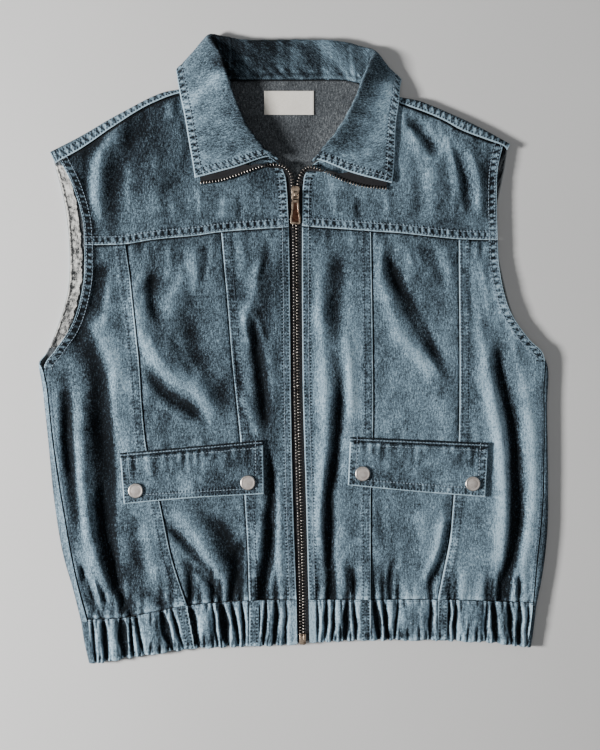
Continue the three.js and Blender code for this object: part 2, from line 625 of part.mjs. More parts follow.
function nearestOn(curve, x, y) {
  let best = curve.getPointAt(0);
  for (let i = 1; i <= 160; i += 1) {
    const point = curve.getPointAt(i / 160);
    if (Math.hypot(point.x - x, point.y - y) < Math.hypot(best.x - x, best.y - y)) best = point;
  }
  return best;
}

// The roll at one side of the back: a half turn up to the side seam below the armhole, and
// flat along the armhole.
function sideRoll(side, y, edgeX) {
  const armpit = { left: -16, right: -9 }[side];
  const open = smooth(armpit - 8, armpit + 18, y);
  const seamY = Math.min(y, armpit - 4);
  const seam = nearestOn(SIDE_SEAM[side], edgeX, seamY);
  const room = Math.max(2.4, Math.abs(edgeX - seam.x) - EDGE_CLEARANCE);
  const across = THREE.MathUtils.lerp(Math.min(ROLL_RADIUS, room - 0.4), ROLL_RADIUS, open);
  const height = frontHeight(seam.x, seamY);
  return { turn: 1 - open, across, height, run: open > 0 ? 0.6 : room - across };
}

// The roll over one shoulder, flat again along the neck.
function shoulderRoll(x, y) {
  const side = x < 0 ? 'left' : 'right';
  const seam = nearestOn(SHOULDER_SEAM[side], x, y);
  const turn = side === 'left' ? smooth(-99, -111, x) : smooth(96, 106, x);
  const room = Math.max(2.4, Math.hypot(x - seam.x, y - seam.y) - EDGE_CLEARANCE);
  const across = THREE.MathUtils.lerp(ROLL_RADIUS, Math.min(ROLL_RADIUS, room - 0.4), turn);
  const height = frontHeight(seam.x, seam.y) - fallLift(x, y);
  return { turn, across, height, run: turn > 0.98 ? room - across : 0.6 };
}

// Outer and inner points of rolled cloth. "start" is where the cloth leaves the surface.
function rolledCell(start, outward, roll, step, thickness) {
  const flat = edgeRoll(0, roll.turn, roll.across, roll.height, roll.run);
  const place = edgeRoll(step, roll.turn, roll.across, roll.height, roll.run);
  const out = place.out - flat.out;
  const size = Math.hypot(...place.normal);
  const [inOut, inUp] = place.normal.map((part) => (-part * thickness) / size);
  const [x, y, z] = [start[0] + outward[0] * out, start[1] + outward[1] * out, start[2] + place.up];
  return {
    outer: [x, y, z],
    inner: [x + outward[0] * inOut, y + outward[1] * inOut, z + inUp],
  };
}

function rollReach(roll) {
  return -edgeRoll(0, roll.turn, roll.across, roll.height, roll.run).out;
}

// Share of a side's length for a share of the way up, with the armpit half way.
function sideShare(side, v) {
  const armpit = { left: 0.535, right: 0.515 }[side];
  return v < 0.5 ? (v / 0.5) * armpit : armpit + ((v - 0.5) / 0.5) * (0.988 - armpit);
}

// Where the back leaves the surface to roll over a shoulder, or ends flat at the neck.
function topStart(share) {
  const edge = BACK_TOP.getPointAt(share);
  const along = BACK_TOP.getTangentAt(share);
  const outward = [-along.y, along.x];
  const roll = shoulderRoll(edge.x, edge.y);
  const reach = rollReach(roll);
  return { x: edge.x - outward[0] * reach, y: edge.y - outward[1] * reach, outward, roll };
}

const TOP_INSET = 0.006;

function backBorders() {
  const side = (name, inward) => ({
    getPointAt: (v) => {
      const edge = BACK_SIDE[name].getPointAt(sideShare(name, v));
      const reach = rollReach(sideRoll(name, edge.y, edge.x));
      return { x: edge.x + inward * reach, y: edge.y };
    },
  });
  const top = { getPointAt: (u) => topStart(TOP_INSET + (1 - 2 * TOP_INSET) * u) };
  const [left, right] = [side('left', 1), side('right', -1)];
  const [from, to] = [left.getPointAt(0), right.getPointAt(0)];
  const bottom = line([from.x, from.y], [-107, -257], [77, -252], [to.x, to.y]);
  return { left, right, top, bottom };
}

// One row of the back below its top edge.
function backRow(borders, v, across) {
  const rolled = (name, outward, step) => {
    const edge = BACK_SIDE[name].getPointAt(sideShare(name, v));
    const { x, y } = borders[name].getPointAt(v);
    return rolledCell([x, y, 0], outward, sideRoll(name, edge.y, edge.x), step, CLOTH);
  };
  const cells = ROLL_STEPS.map((step) => rolled('left', [-1, 0], step));
  for (let i = 1; i < across; i += 1) {
    const [x, y] = patchPoint(borders, i / across, v);
    const z = fallLift(x, y);
    cells.push({ outer: [x, y, z], inner: [x, y, z + CLOTH] });
  }
  cells.push(...[...ROLL_STEPS].reverse().map((step) => rolled('right', [1, 0], step)));
  return cells;
}

// The back: flat on the surface, with its sides and shoulders rolled up to the seams.
function backPanel() {
  const borders = backBorders();
  const across = 12;
  const rows = UP_THE_BACK.map((v) => backRow(borders, v, across));
  const edgeShares = ROLL_STEPS.map((step) => TOP_INSET * (1 - Math.min(1, step * 0.96)));
  const middle = [];
  for (let i = 1; i < across; i += 1) {
    middle.push(TOP_INSET + ((1 - 2 * TOP_INSET) * i) / across);
  }
  edgeShares[0] = 0;
  const shares = [...edgeShares, ...middle, ...edgeShares.map((share) => 1 - share).reverse()];
  for (const step of [...ROLL_STEPS].reverse()) {
    rows.push(shares.map((share) => {
      const { x, y, outward, roll } = topStart(share);
      return rolledCell([x, y, fallLift(x, y)], outward, roll, step, CLOTH);
    }));
  }
  const grid = (key) => rows.map((row) => row.map((cell) => cell[key]));
  addMesh('back_panel', wallGeometry(grid('inner'), grid('outer')), DENIM_SHADE);
}

// Hem of the back at an x: it lies just inside the front's hem.
function hemBelow(x) {
  const side = x < HEM_SPLIT ? 'left' : 'right';
  return HEM[side].getPointAt(shareAtX(HEM[side], x)).y + BACK_HEM_INSET;
}

// The back's elastic casing: gathered, with its troughs flattened on the surface.
function backWaistband() {
  const waves = 34;
  const perWave = 2;
  const seamLine = backBorders().bottom;
  const rows = [0, 0.2, 1].map((v) => {
    const [left, right] = ['left', 'right'].map((name) => {
      const edge = BACK_BAND_SIDE[name].getPointAt(1 - v);
      const seam = BAND_END[name].getPointAt(1 - v);
      const room = Math.abs(edge.x - seam.x) - BAND_CLEARANCE;
      const across = Math.min(ROLL_RADIUS, room - GAP);
      const roll = { turn: 1, across, height: 8.2, run: room - across };
      const inward = name === 'left' ? 1 : -1;
      const x = edge.x + inward * rollReach(roll);
      return { roll, start: [x, edge.y - (v === 1 ? GAP : 0), 0], outward: [-inward, 0] };
    });
    const cells = ROLL_STEPS.map((step) => rolledCell(left.start, left.outward, left.roll, step, CLOTH));
    const count = waves * perWave;
    for (let i = 1; i < count; i += 1) {
      const t = i / count;
      const x = THREE.MathUtils.lerp(left.start[0], right.start[0], t);
      const y = THREE.MathUtils.lerp(hemBelow(x), seamLine.getPointAt(t).y - GAP, v);
      const z = i % perWave === 0 || v === 0 ? 0 : 1.2 + 0.6 * Math.sin(i * 1.7);
      cells.push({ outer: [x, y, z], inner: [x, y, z + DOUBLE_CLOTH] });
    }
    const last = [...ROLL_STEPS].reverse();
    cells.push(...last.map((step) => rolledCell(right.start, right.outward, right.roll, step, CLOTH)));
    return cells;
  });
  const grid = (key) => rows.map((row) => row.map((cell) => cell[key]));
  addMesh('back_waistband', wallGeometry(grid('inner'), grid('outer')), DENIM_SHADE);
}

// The collar: one double wall from the neck seam over the crest and down the leaf.
function collar() {
  const along = {};
  for (const key of ['neck', 'crest', 'leaf', 'edge']) {
    const places = COLLAR.map((row) => new THREE.Vector3(...row[key]));
    along[key] = new THREE.CatmullRomCurve3(places, false, 'catmullrom', 0.5);
  }
  const last = COLLAR.length - 1;
  const surface = (u, s) => {
    const section = Object.values(along).map((curve) => curve.getPoint(u));
    const point = new THREE.CatmullRomCurve3(section, false, 'centripetal').getPoint(s);
    const index = u * last;
    const onFront = smooth(5, 4, Math.min(index, last - index));
    const overTape = 1.7 * smooth(1.6, 0.6, Math.min(index, last - index)) * smooth(0.36, 0.5, s);
    const floor = highestNear(point.x, point.y, 5) + LYING_GAP + DOUBLE_CLOTH / 2 + overTape;
    if (onFront > 0 && point.z < floor) point.z += onFront * (floor - point.z);
    point.z = Math.max(point.z, DOUBLE_CLOTH / 2);
    return point;
  };
  const steps = [0, 0.14, 0.25, 0.33, 0.4, 0.5, 0.65, 0.85, 1];
  const outer = [];
  const inner = [];
  const count = 2 * last;
  for (let i = 0; i <= count; i += 1) {
    const u = i / count;
    const top = [];
    const under = [];
    for (const s of steps) {
      const at = surface(u, s);
      const across = surface(u, Math.min(1, s + 0.02)).sub(surface(u, Math.max(0, s - 0.02)));
      const onward = surface(Math.min(1, u + 0.004), s).sub(surface(Math.max(0, u - 0.004), s));
      const normal = across.cross(onward).normalize().multiplyScalar(DOUBLE_CLOTH / 2);
      for (const [face, offset] of [[top, -1], [under, 1]]) {
        const point = at.clone().addScaledVector(normal, offset);
        face.push([point.x, point.y, Math.max(0, point.z)]);
      }
    }
    outer.push(top);
    inner.push(under);
  }
  addMesh('collar', wallGeometry(outer, inner), DENIM);
}

function pocketFlaps() {
  for (const side of ['left', 'right']) {
    const [[ax, ay], [bx, by], [cx, cy], [dx, dy]] = FLAPS[side].corners;
    const columns = 12;
    const outer = [];
    const inner = [];
    for (const v of [0, 0.17, 0.5, 0.8, 1]) {
      const top = [];
      const under = [];
      for (let i = 0; i <= columns; i += 1) {
        const u = i / columns;
        const x = (1 - v) * ((1 - u) * ax + u * bx) + v * ((1 - u) * dx + u * cx);
        const y = (1 - v) * ((1 - u) * ay + u * by) + v * ((1 - u) * dy + u * cy);
        const z = flapUnder(x, y);
        under.push([x, y, z]);
        top.push([x, y, z + DOUBLE_CLOTH]);
      }
      outer.push(top);
      inner.push(under);
    }
    addMesh(`pocket_flap_${side}`, wallGeometry(outer, inner), DENIM);
  }
}

function flapUnder(x, y) {
  return highestNear(x, y, 8) + FELL_RISE + LYING_GAP;
}

// A snap cap: a shallow dome with a rolled rim.
function snapCaps() {
  const { radius, rise } = SNAP;
  const profile = [[0, 0], [radius - 1, 0], [radius, 0.5], [radius - 0.3, 1.2],
    [radius - 1.6, rise - 0.5], [radius / 2, rise - 0.1], [0, rise]];
  const points = profile.map(([r, z]) => new THREE.Vector2(r, z));
  for (const { name, x, y } of SNAPS) {
    const geometry = new THREE.LatheGeometry(points, 16);
    geometry.rotateX(Math.PI / 2);
    const mesh = addMesh(name, geometry, NICKEL);
    const seat = highestNear(x, y, radius, flapUnder) + DOUBLE_CLOTH + GAP;
    mesh.position.set(x, y, seat);
  }
}

function neckLabel() {
  const { x, y, width, height, thick } = LABEL;
  const geometry = new THREE.BoxGeometry(width, height, thick);
  const base = fallLift(x, y + height / 2) + CLOTH + GAP;
  addMesh('neck_label', geometry, LABEL_WHITE).position.set(x, y, base + thick / 2);
}

// The facing that shows inside the back's left armhole.
function armholeFacing() {
  const from = 0.585;
  const to = 0.975;
  const rows = 14;
  const outer = [];
  const inner = [];
  for (let j = 0; j <= rows; j += 1) {
    const edge = BACK_SIDE.left.getPointAt(from + ((to - from) * j) / rows);
    const roll = sideRoll('left', edge.y, edge.x);
    const lift = CLOTH + GAP + edgeRoll(1, roll.turn, roll.across, roll.height, roll.run).up;
    outer.push([1, 7, 13].map((inset) => [edge.x + inset, edge.y, lift + 1]));
    inner.push([1, 7, 13].map((inset) => [edge.x + inset, edge.y, lift]));
  }
  addMesh('armhole_facing_left', wallGeometry(outer, inner), FACING_PALE);
}

// Places along one half of the chain, from the bottom box to its end on the collar.
function chainPlaces(side) {
  const sign = side === 'left' ? -1 : 1;
  const closed = TOOTH_WIDTH / 2 + GAP / 2;
  const places = [];
  for (let y = ZIP_BOX.y + ZIP_BOX.length / 2 + GAP; y < 150; y += 48) {
    places.push({ x: zipCentre(y) + sign * closed, y, over: 0, tape: TAPE_WIDTH, turned: 0 });
  }
  places.push({ x: zipCentre(156) + sign * closed, y: 156, over: 0, tape: TAPE_WIDTH, turned: 0 });
  places.push({ x: zipCentre(160) + sign * 2.7, y: 160, over: 0, tape: TAPE_WIDTH - 1, turned: 0 });
  places.push({ x: zipCentre(165) + sign * 2.8, y: 165, over: 0, tape: TAPE_WIDTH - 1, turned: 0 });
  places.push({ x: zipCentre(168) + sign * 2.8, y: 168, over: 0.1, tape: 2, turned: 0 });
  const open = OPEN_CHAIN[side].map(({ at, ...rest }) => ({ x: at[0], y: at[1], ...rest }));
  return [...places, ...open];
}

function chainFrames(side) {
  const places = chainPlaces(side);
  const middle = CHAIN_TOP - CHAIN_DEPTH / 2;
  const centres = places.map(({ x, y, over }) => new THREE.Vector3(x, y, middle + over));
  return places.map((place, i) => {
    const before = centres[Math.max(0, i - 1)];
    const after = centres[Math.min(places.length - 1, i + 1)];
    const onward = after.clone().sub(before).normalize();
    const level = new THREE.Vector3(-onward.y, onward.x, 0).normalize();
    const outward = side === 'left' ? level : level.multiplyScalar(-1);
    return { ...place, centre: centres[i], outward, onward };
  });
}

// Places along a line of frames: a bar or ribbon with four corners at each.
function sweptGeometry(frames, corners) {
  const outer = [];
  const inner = [];
  for (const frame of frames) {
    const [a, b, c, d] = corners(frame);
    outer.push([a.toArray(), b.toArray()]);
    inner.push([d.toArray(), c.toArray()]);
  }
  return wallGeometry(outer, inner);
}

function zipSide(side) {
  const frames = chainFrames(side);
  const up = new THREE.Vector3(0, 0, 1);
  const at = (frame, out, rise, across, raise) => frame.centre.clone()
    .addScaledVector(across, out).addScaledVector(raise, rise);
  const half = TOOTH_WIDTH / 2;
  addMesh(`zip_chain_${side}`, sweptGeometry(frames, (frame) => [
    at(frame, -half, CHAIN_DEPTH / 2, frame.outward, up),
    at(frame, half, CHAIN_DEPTH / 2, frame.outward, up),
    at(frame, half, -CHAIN_DEPTH / 2, frame.outward, up),
    at(frame, -half, -CHAIN_DEPTH / 2, frame.outward, up),
  ]), BRASS);
  addMesh(`zip_tape_${side}`, sweptGeometry(frames, (frame) => {
    const turn = THREE.MathUtils.degToRad(frame.turned);
    const across = frame.outward.clone().multiplyScalar(Math.cos(turn))
      .addScaledVector(up, Math.sin(turn));
    const raise = up.clone().multiplyScalar(Math.cos(turn))
      .addScaledVector(frame.outward, -Math.sin(turn));
    const sink = THREE.MathUtils.lerp(-0.6, 0.5, turn / Math.PI);
    const near = half + GAP + 0.8 * Math.sin(turn);
    return [
      at(frame, near, sink + TAPE / 2, across, raise),
      at(frame, near + frame.tape, sink + TAPE / 2, across, raise),
      at(frame, near + frame.tape, sink - TAPE / 2, across, raise),
      at(frame, near, sink - TAPE / 2, across, raise),
    ];
  }), TAPE_BLACK);
}

function toManifold(geometry) {
  const plain = geometry.index ? geometry.toNonIndexed() : geometry;
  const positions = plain.getAttribute('position').array;
  const seen = new Map();
  const vertices = [];
  const triangles = [];
  for (let i = 0; i < positions.length; i += 3) {
    const key = [0, 1, 2].map((k) => positions[i + k].toFixed(4)).join(' ');
    if (!seen.has(key)) {
      seen.set(key, vertices.length / 3);
      vertices.push(positions[i], positions[i + 1], positions[i + 2]);
    }
    triangles.push(seen.get(key));
  }
  const kept = [];
  for (let i = 0; i < triangles.length; i += 3) {
    const [a, b, c] = triangles.slice(i, i + 3);
    if (a !== b && b !== c && a !== c) kept.push(a, b, c);
  }
  return new wasm.Manifold(new wasm.Mesh({
    numProp: 3,
    vertProperties: new Float32Array(vertices),
    triVerts: new Uint32Array(kept),
  }));
}

function fromManifold(solid) {
  const mesh = solid.getMesh();
  const geometry = new THREE.BufferGeometry();
  geometry.setAttribute('position', new THREE.BufferAttribute(mesh.vertProperties, 3));
  geometry.setIndex(new THREE.BufferAttribute(mesh.triVerts, 1));
  return geometry;
}

function plate(outline, thick, z) {
  const geometry = new THREE.ExtrudeGeometry(outline,
    { depth: thick, bevelEnabled: false, curveSegments: 4 });
  return geometry.translate(0, 0, z);
}

// Slider: an upper and a lower plate, the wedge between them and the bail on top.
function zipSlider() {
  const { y, length, width, plate: thick } = SLIDER;
  const x = zipCentre(y);
  const outline = new THREE.Shape();
  const [half, low, high] = [width / 2, y - length / 2, y + length / 2];
  outline.moveTo(x - half + 1.2, low);
  outline.lineTo(x + half - 1.2, low);
  outline.quadraticCurveTo(x + half - 0.4, low, x + half - 0.3, low + 1.4);
  outline.lineTo(x + half, high - 3);
  outline.quadraticCurveTo(x + half, high, x + half - 3, high);
  outline.lineTo(x - half + 3, high);
  outline.quadraticCurveTo(x - half, high, x - half, high - 3);
  outline.lineTo(x - half + 0.3, low + 1.4);
  outline.quadraticCurveTo(x - half + 0.4, low, x - half + 1.2, low);
  const upperBase = CHAIN_TOP + GAP;
  const lowerBase = CHAIN_TOP - CHAIN_DEPTH - GAP - thick;
  const wedge = new THREE.BoxGeometry(2, 3.4, upperBase - lowerBase);
  wedge.translate(x, high - 1.9, (upperBase + lowerBase) / 2 + thick / 2);
  const bail = bailGeometry(x, upperBase + thick);
  const upper = toManifold(plate(outline, thick, upperBase));
  const lower = toManifold(plate(outline, thick, lowerBase));
  const solid = upper.add(lower).add(toManifold(wedge)).add(toManifold(bail));
  addMesh('zip_slider', fromManifold(solid), BRASS);
}

// The bail: an arch along Y over the bar of the pull tab.
function bailGeometry(x, base) {
  const { y, inner, wall, width, top } = BAIL;
  const arch = new THREE.Shape();
  const outerHalf = inner + wall;
  const foot = base - 0.4;
  arch.moveTo(y - outerHalf, foot);
  arch.lineTo(y - inner, foot);
  arch.lineTo(y - inner, top - 0.6);
  arch.lineTo(y - inner + 0.6, top);
  arch.lineTo(y + inner - 0.6, top);
  arch.lineTo(y + inner, top - 0.6);
  arch.lineTo(y + inner, foot);
  arch.lineTo(y + outerHalf, foot);
  arch.lineTo(y + outerHalf, top - 0.2);
  arch.lineTo(y + outerHalf - 1.2, top + wall);
  arch.lineTo(y - outerHalf + 1.2, top + wall);
  arch.lineTo(y - outerHalf, top - 0.2);
  arch.closePath();
  const geometry = new THREE.ExtrudeGeometry(arch, { depth: width, bevelEnabled: false });
  const axes = new THREE.Matrix4().makeBasis(new THREE.Vector3(0, 1, 0),
    new THREE.Vector3(0, 0, 1), new THREE.Vector3(1, 0, 0));
  return geometry.applyMatrix4(axes).translate(x - width / 2, 0, 0);
}

// The pull tab hangs from the bail by its bar, which lies on the hinge's axis.
function zipPull() {
  const { length, width, thick, bar, eye, eyeWidth, tilt } = PULL;
  const half = width / 2;
  const neck = eyeWidth / 2 + 1.3;
  const outline = new THREE.Shape();
  outline.moveTo(-neck, bar);
  outline.lineTo(-neck, -bar - eye - 1);
  outline.lineTo(-half, -length + 7);
  outline.lineTo(-half, -length + 1.5);
  outline.quadraticCurveTo(-half, -length, -half + 1.5, -length);
  outline.lineTo(half - 1.5, -length);
  outline.quadraticCurveTo(half, -length, half, -length + 1.5);
  outline.lineTo(half, -length + 7);
  outline.lineTo(neck, -bar - eye - 1);
  outline.lineTo(neck, bar);
  outline.closePath();
  const hole = new THREE.Path();
  hole.moveTo(-eyeWidth / 2, -bar);
  hole.lineTo(eyeWidth / 2, -bar);
  hole.lineTo(eyeWidth / 2, -bar - eye);
  hole.lineTo(-eyeWidth / 2, -bar - eye);
  hole.closePath();
  outline.holes.push(hole);
  const mesh = addMesh('zip_pull', plate(outline, thick, -thick / 2), BRASS);
  mesh.position.set(zipCentre(BAIL.y), BAIL.y, BAIL.axis);
  mesh.rotation.x = THREE.MathUtils.degToRad(tilt);
}

function zipBox() {
  const { y, width, length, height } = ZIP_BOX;
  const geometry = new THREE.BoxGeometry(width, length, height);
  const middle = CHAIN_TOP - CHAIN_DEPTH / 2;
  addMesh('zip_box', geometry, BRASS).position.set(zipCentre(y), y, middle);
}

backPanel();
backWaistband();
yokes();
frontPanels();
frontWaistbands();
collar();
pocketFlaps();
snapCaps();
neckLabel();
armholeFacing();
zipSide('left');
zipSide('right');
zipSlider();
zipPull();
zipBox();

export default group;
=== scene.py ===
"""A sleeveless denim vest, laid flat with its zip closed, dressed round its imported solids.

Sizes are millimetres in the tables and in the cloth's own functions, and metres in every mesh.
X runs to the right as seen from above, Y towards the collar, Z up from the surface below.
"""

import json
import logging
import math
from dataclasses import dataclass, field
from enum import Enum
from typing import Callable, Iterable, Sequence

import bmesh
import bpy
import numpy as np
from mathutils import Vector
from mathutils.bvhtree import BVHTree
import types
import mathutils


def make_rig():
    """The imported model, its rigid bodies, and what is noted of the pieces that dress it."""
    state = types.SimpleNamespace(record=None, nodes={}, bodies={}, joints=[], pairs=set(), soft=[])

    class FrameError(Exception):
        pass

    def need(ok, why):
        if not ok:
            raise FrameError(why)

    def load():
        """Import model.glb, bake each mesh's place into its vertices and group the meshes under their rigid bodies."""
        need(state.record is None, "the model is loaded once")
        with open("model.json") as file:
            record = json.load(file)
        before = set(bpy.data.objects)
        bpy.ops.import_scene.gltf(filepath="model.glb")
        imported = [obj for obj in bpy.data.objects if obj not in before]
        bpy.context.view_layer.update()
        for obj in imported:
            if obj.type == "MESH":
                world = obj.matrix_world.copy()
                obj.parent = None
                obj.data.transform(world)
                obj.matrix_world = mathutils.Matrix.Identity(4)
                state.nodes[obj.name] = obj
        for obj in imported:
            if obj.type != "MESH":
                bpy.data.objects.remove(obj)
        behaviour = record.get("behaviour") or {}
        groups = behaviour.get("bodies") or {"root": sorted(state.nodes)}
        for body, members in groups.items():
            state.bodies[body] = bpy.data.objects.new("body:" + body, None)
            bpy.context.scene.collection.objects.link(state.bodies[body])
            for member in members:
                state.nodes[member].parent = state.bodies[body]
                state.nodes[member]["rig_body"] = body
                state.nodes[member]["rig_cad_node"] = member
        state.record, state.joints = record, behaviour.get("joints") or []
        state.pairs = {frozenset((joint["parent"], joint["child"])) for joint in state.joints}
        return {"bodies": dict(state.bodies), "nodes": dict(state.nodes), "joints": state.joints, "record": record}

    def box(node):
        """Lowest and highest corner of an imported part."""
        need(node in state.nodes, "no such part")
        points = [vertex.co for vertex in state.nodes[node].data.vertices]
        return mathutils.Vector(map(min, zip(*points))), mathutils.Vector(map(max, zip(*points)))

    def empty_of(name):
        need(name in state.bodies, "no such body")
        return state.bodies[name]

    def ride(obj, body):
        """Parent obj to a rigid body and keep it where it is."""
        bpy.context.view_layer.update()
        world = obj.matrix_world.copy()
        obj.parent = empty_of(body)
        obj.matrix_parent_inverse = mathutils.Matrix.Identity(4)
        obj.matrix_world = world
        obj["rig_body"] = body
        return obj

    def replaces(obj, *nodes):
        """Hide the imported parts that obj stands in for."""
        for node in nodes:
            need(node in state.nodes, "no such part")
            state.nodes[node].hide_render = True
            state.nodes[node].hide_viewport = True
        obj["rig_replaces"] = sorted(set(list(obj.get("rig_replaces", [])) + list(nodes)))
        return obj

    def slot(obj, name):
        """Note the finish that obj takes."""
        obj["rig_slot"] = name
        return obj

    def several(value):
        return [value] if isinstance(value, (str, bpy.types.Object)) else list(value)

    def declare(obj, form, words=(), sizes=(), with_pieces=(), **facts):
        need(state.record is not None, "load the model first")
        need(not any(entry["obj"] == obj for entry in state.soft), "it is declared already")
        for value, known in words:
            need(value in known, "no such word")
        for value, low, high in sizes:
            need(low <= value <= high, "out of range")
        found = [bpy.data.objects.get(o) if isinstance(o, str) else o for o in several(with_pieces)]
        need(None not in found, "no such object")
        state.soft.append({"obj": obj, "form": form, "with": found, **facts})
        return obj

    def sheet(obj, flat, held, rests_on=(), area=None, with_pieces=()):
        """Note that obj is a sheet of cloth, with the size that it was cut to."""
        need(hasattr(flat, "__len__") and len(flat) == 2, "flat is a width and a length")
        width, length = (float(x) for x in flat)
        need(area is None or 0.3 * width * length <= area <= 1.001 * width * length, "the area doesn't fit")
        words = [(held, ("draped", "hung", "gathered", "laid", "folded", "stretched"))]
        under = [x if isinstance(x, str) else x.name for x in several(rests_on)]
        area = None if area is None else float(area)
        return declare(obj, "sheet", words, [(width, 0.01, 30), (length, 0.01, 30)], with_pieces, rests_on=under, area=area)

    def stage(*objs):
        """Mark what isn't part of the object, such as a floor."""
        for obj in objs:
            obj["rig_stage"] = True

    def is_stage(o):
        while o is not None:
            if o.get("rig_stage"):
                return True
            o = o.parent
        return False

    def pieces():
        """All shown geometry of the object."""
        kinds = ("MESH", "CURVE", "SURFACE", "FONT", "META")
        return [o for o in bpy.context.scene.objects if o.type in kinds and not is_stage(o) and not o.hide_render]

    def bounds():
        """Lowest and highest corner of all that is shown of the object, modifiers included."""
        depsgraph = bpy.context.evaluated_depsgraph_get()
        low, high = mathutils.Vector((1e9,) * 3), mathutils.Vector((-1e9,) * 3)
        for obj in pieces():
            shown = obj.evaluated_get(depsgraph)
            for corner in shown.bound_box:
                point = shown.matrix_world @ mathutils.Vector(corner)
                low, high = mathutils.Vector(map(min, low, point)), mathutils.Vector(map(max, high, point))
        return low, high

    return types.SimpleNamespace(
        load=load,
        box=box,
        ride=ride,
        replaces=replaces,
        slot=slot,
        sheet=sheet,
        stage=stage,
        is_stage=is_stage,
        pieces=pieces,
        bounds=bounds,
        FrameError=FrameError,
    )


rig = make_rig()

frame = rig.load()
CAD_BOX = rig.bounds()

LOG = logging.getLogger("vest")
MM = 0.001
Grid = np.ndarray
Piece = bpy.types.Object
ROOT = "root"
PULL_BODY = "pull"

# Cloth and construction, in millimetres
CLOTH = 1.2
DOUBLE_CLOTH = 2.0
GAP = 0.3
LYING_GAP = 0.45
FELL_WIDTH = 10.0
FELL_RISE = 0.7
REST_HEIGHT = 9.0
LOWEST_FOLD = 4.2
ROLL_RADIUS = 4.4
FALL_LIFT = 2.5
EDGE_CLEARANCE = 1.1
BAND_CLEARANCE = 0.4
BACK_HEM_INSET = 0.8
ZIP_HEIGHT = 9.2
ZIP_FLAT = 12.5
PUCKER_PITCH = 6.6
PUCKER_DEPTH = 0.3
STITCH_INSETS = (2.2, 8.0)
STITCH_PITCH = 3.2
FINE_STEP = 1.3
WIDE_STEP = 2.0
FAR = 99.0
LOWEST_TOP = 3.3
CREST_POWER = 1.6
VALLEY_POWER = 2.2


class Side(Enum):
    """The side of the vest, as seen from above."""

    LEFT = "left"
    RIGHT = "right"


class Face(Enum):
    """The two faces of the cloth, by their place in a piece's material slots."""

    OUTER = 0
    INNER = 1


def smooth(low: float, high: float, value: Grid) -> Grid:
    """Rise from 0 at low to 1 at high along an S curve; low may be the larger of the two."""
    share = np.clip((np.asarray(value, float) - low) / (high - low), 0.0, 1.0)
    return share * share * (3.0 - 2.0 * share)


def bell(value: Grid, middle: float, width: float) -> Grid:
    """1 where a value is at the middle, falling to 0 a little beyond its width on both sides."""
    return np.exp(-(((value - middle) / width) ** 2))


def cubic(start: Grid, end: Grid, out: Grid, into: Grid, t: Grid) -> Grid:
    """Points on a curve between two places.

    Args:
        start: The place that it leaves.
        end: The place that it comes to.
        out: Its speed as it leaves.
        into: Its speed as it comes.
        t: Shares of the way.

    Returns:
        One point for each share.
    """
    third, square = 2 * start - 2 * end + out + into, -3 * start + 3 * end - 2 * out - into
    return ((third * t + square) * t + out) * t + start


def lattice(ix: Grid, iy: Grid, seed: int) -> Grid:
    """Fixed pseudo-random values at whole-numbered places.

    Args:
        ix: Whole numbers along the first direction.
        iy: Whole numbers along the second direction.
        seed: Number of the pattern.

    Returns:
        Values from -1 to 1, one for each place.
    """
    mixed = (ix.astype(np.int64) * 374761393 + iy.astype(np.int64) * 668265263
             + seed * 2147483647) & 0xFFFFFFFF
    mixed = ((mixed ^ (mixed >> 13)) * 1274126177) & 0xFFFFFFFF
    return ((mixed ^ (mixed >> 16)) & 0xFFFF) / 32767.5 - 1.0


def ripple(x: Grid, y: Grid, pitch_x: float, pitch_y: float, seed: int) -> Grid:
    """Smooth uneven bumps.

    Args:
        x: Places along the first direction, in millimetres.
        y: Places along the second direction, in millimetres.
        pitch_x: Size of a bump along the first direction.
        pitch_y: Size of a bump along the second direction.
        seed: Number of the pattern.

    Returns:
        Heights from -1 to 1.
    """
    across, along = np.asarray(x) / pitch_x, np.asarray(y) / pitch_y
    ix, iy = np.floor(across), np.floor(along)
    fx, fy = across - ix, along - iy
    fx, fy = fx * fx * (3 - 2 * fx), fy * fy * (3 - 2 * fy)
    low = lattice(ix, iy, seed) * (1 - fx) + lattice(ix + 1, iy, seed) * fx
    high = lattice(ix, iy + 1, seed) * (1 - fx) + lattice(ix + 1, iy + 1, seed) * fx
    return low * (1 - fy) + high * fy


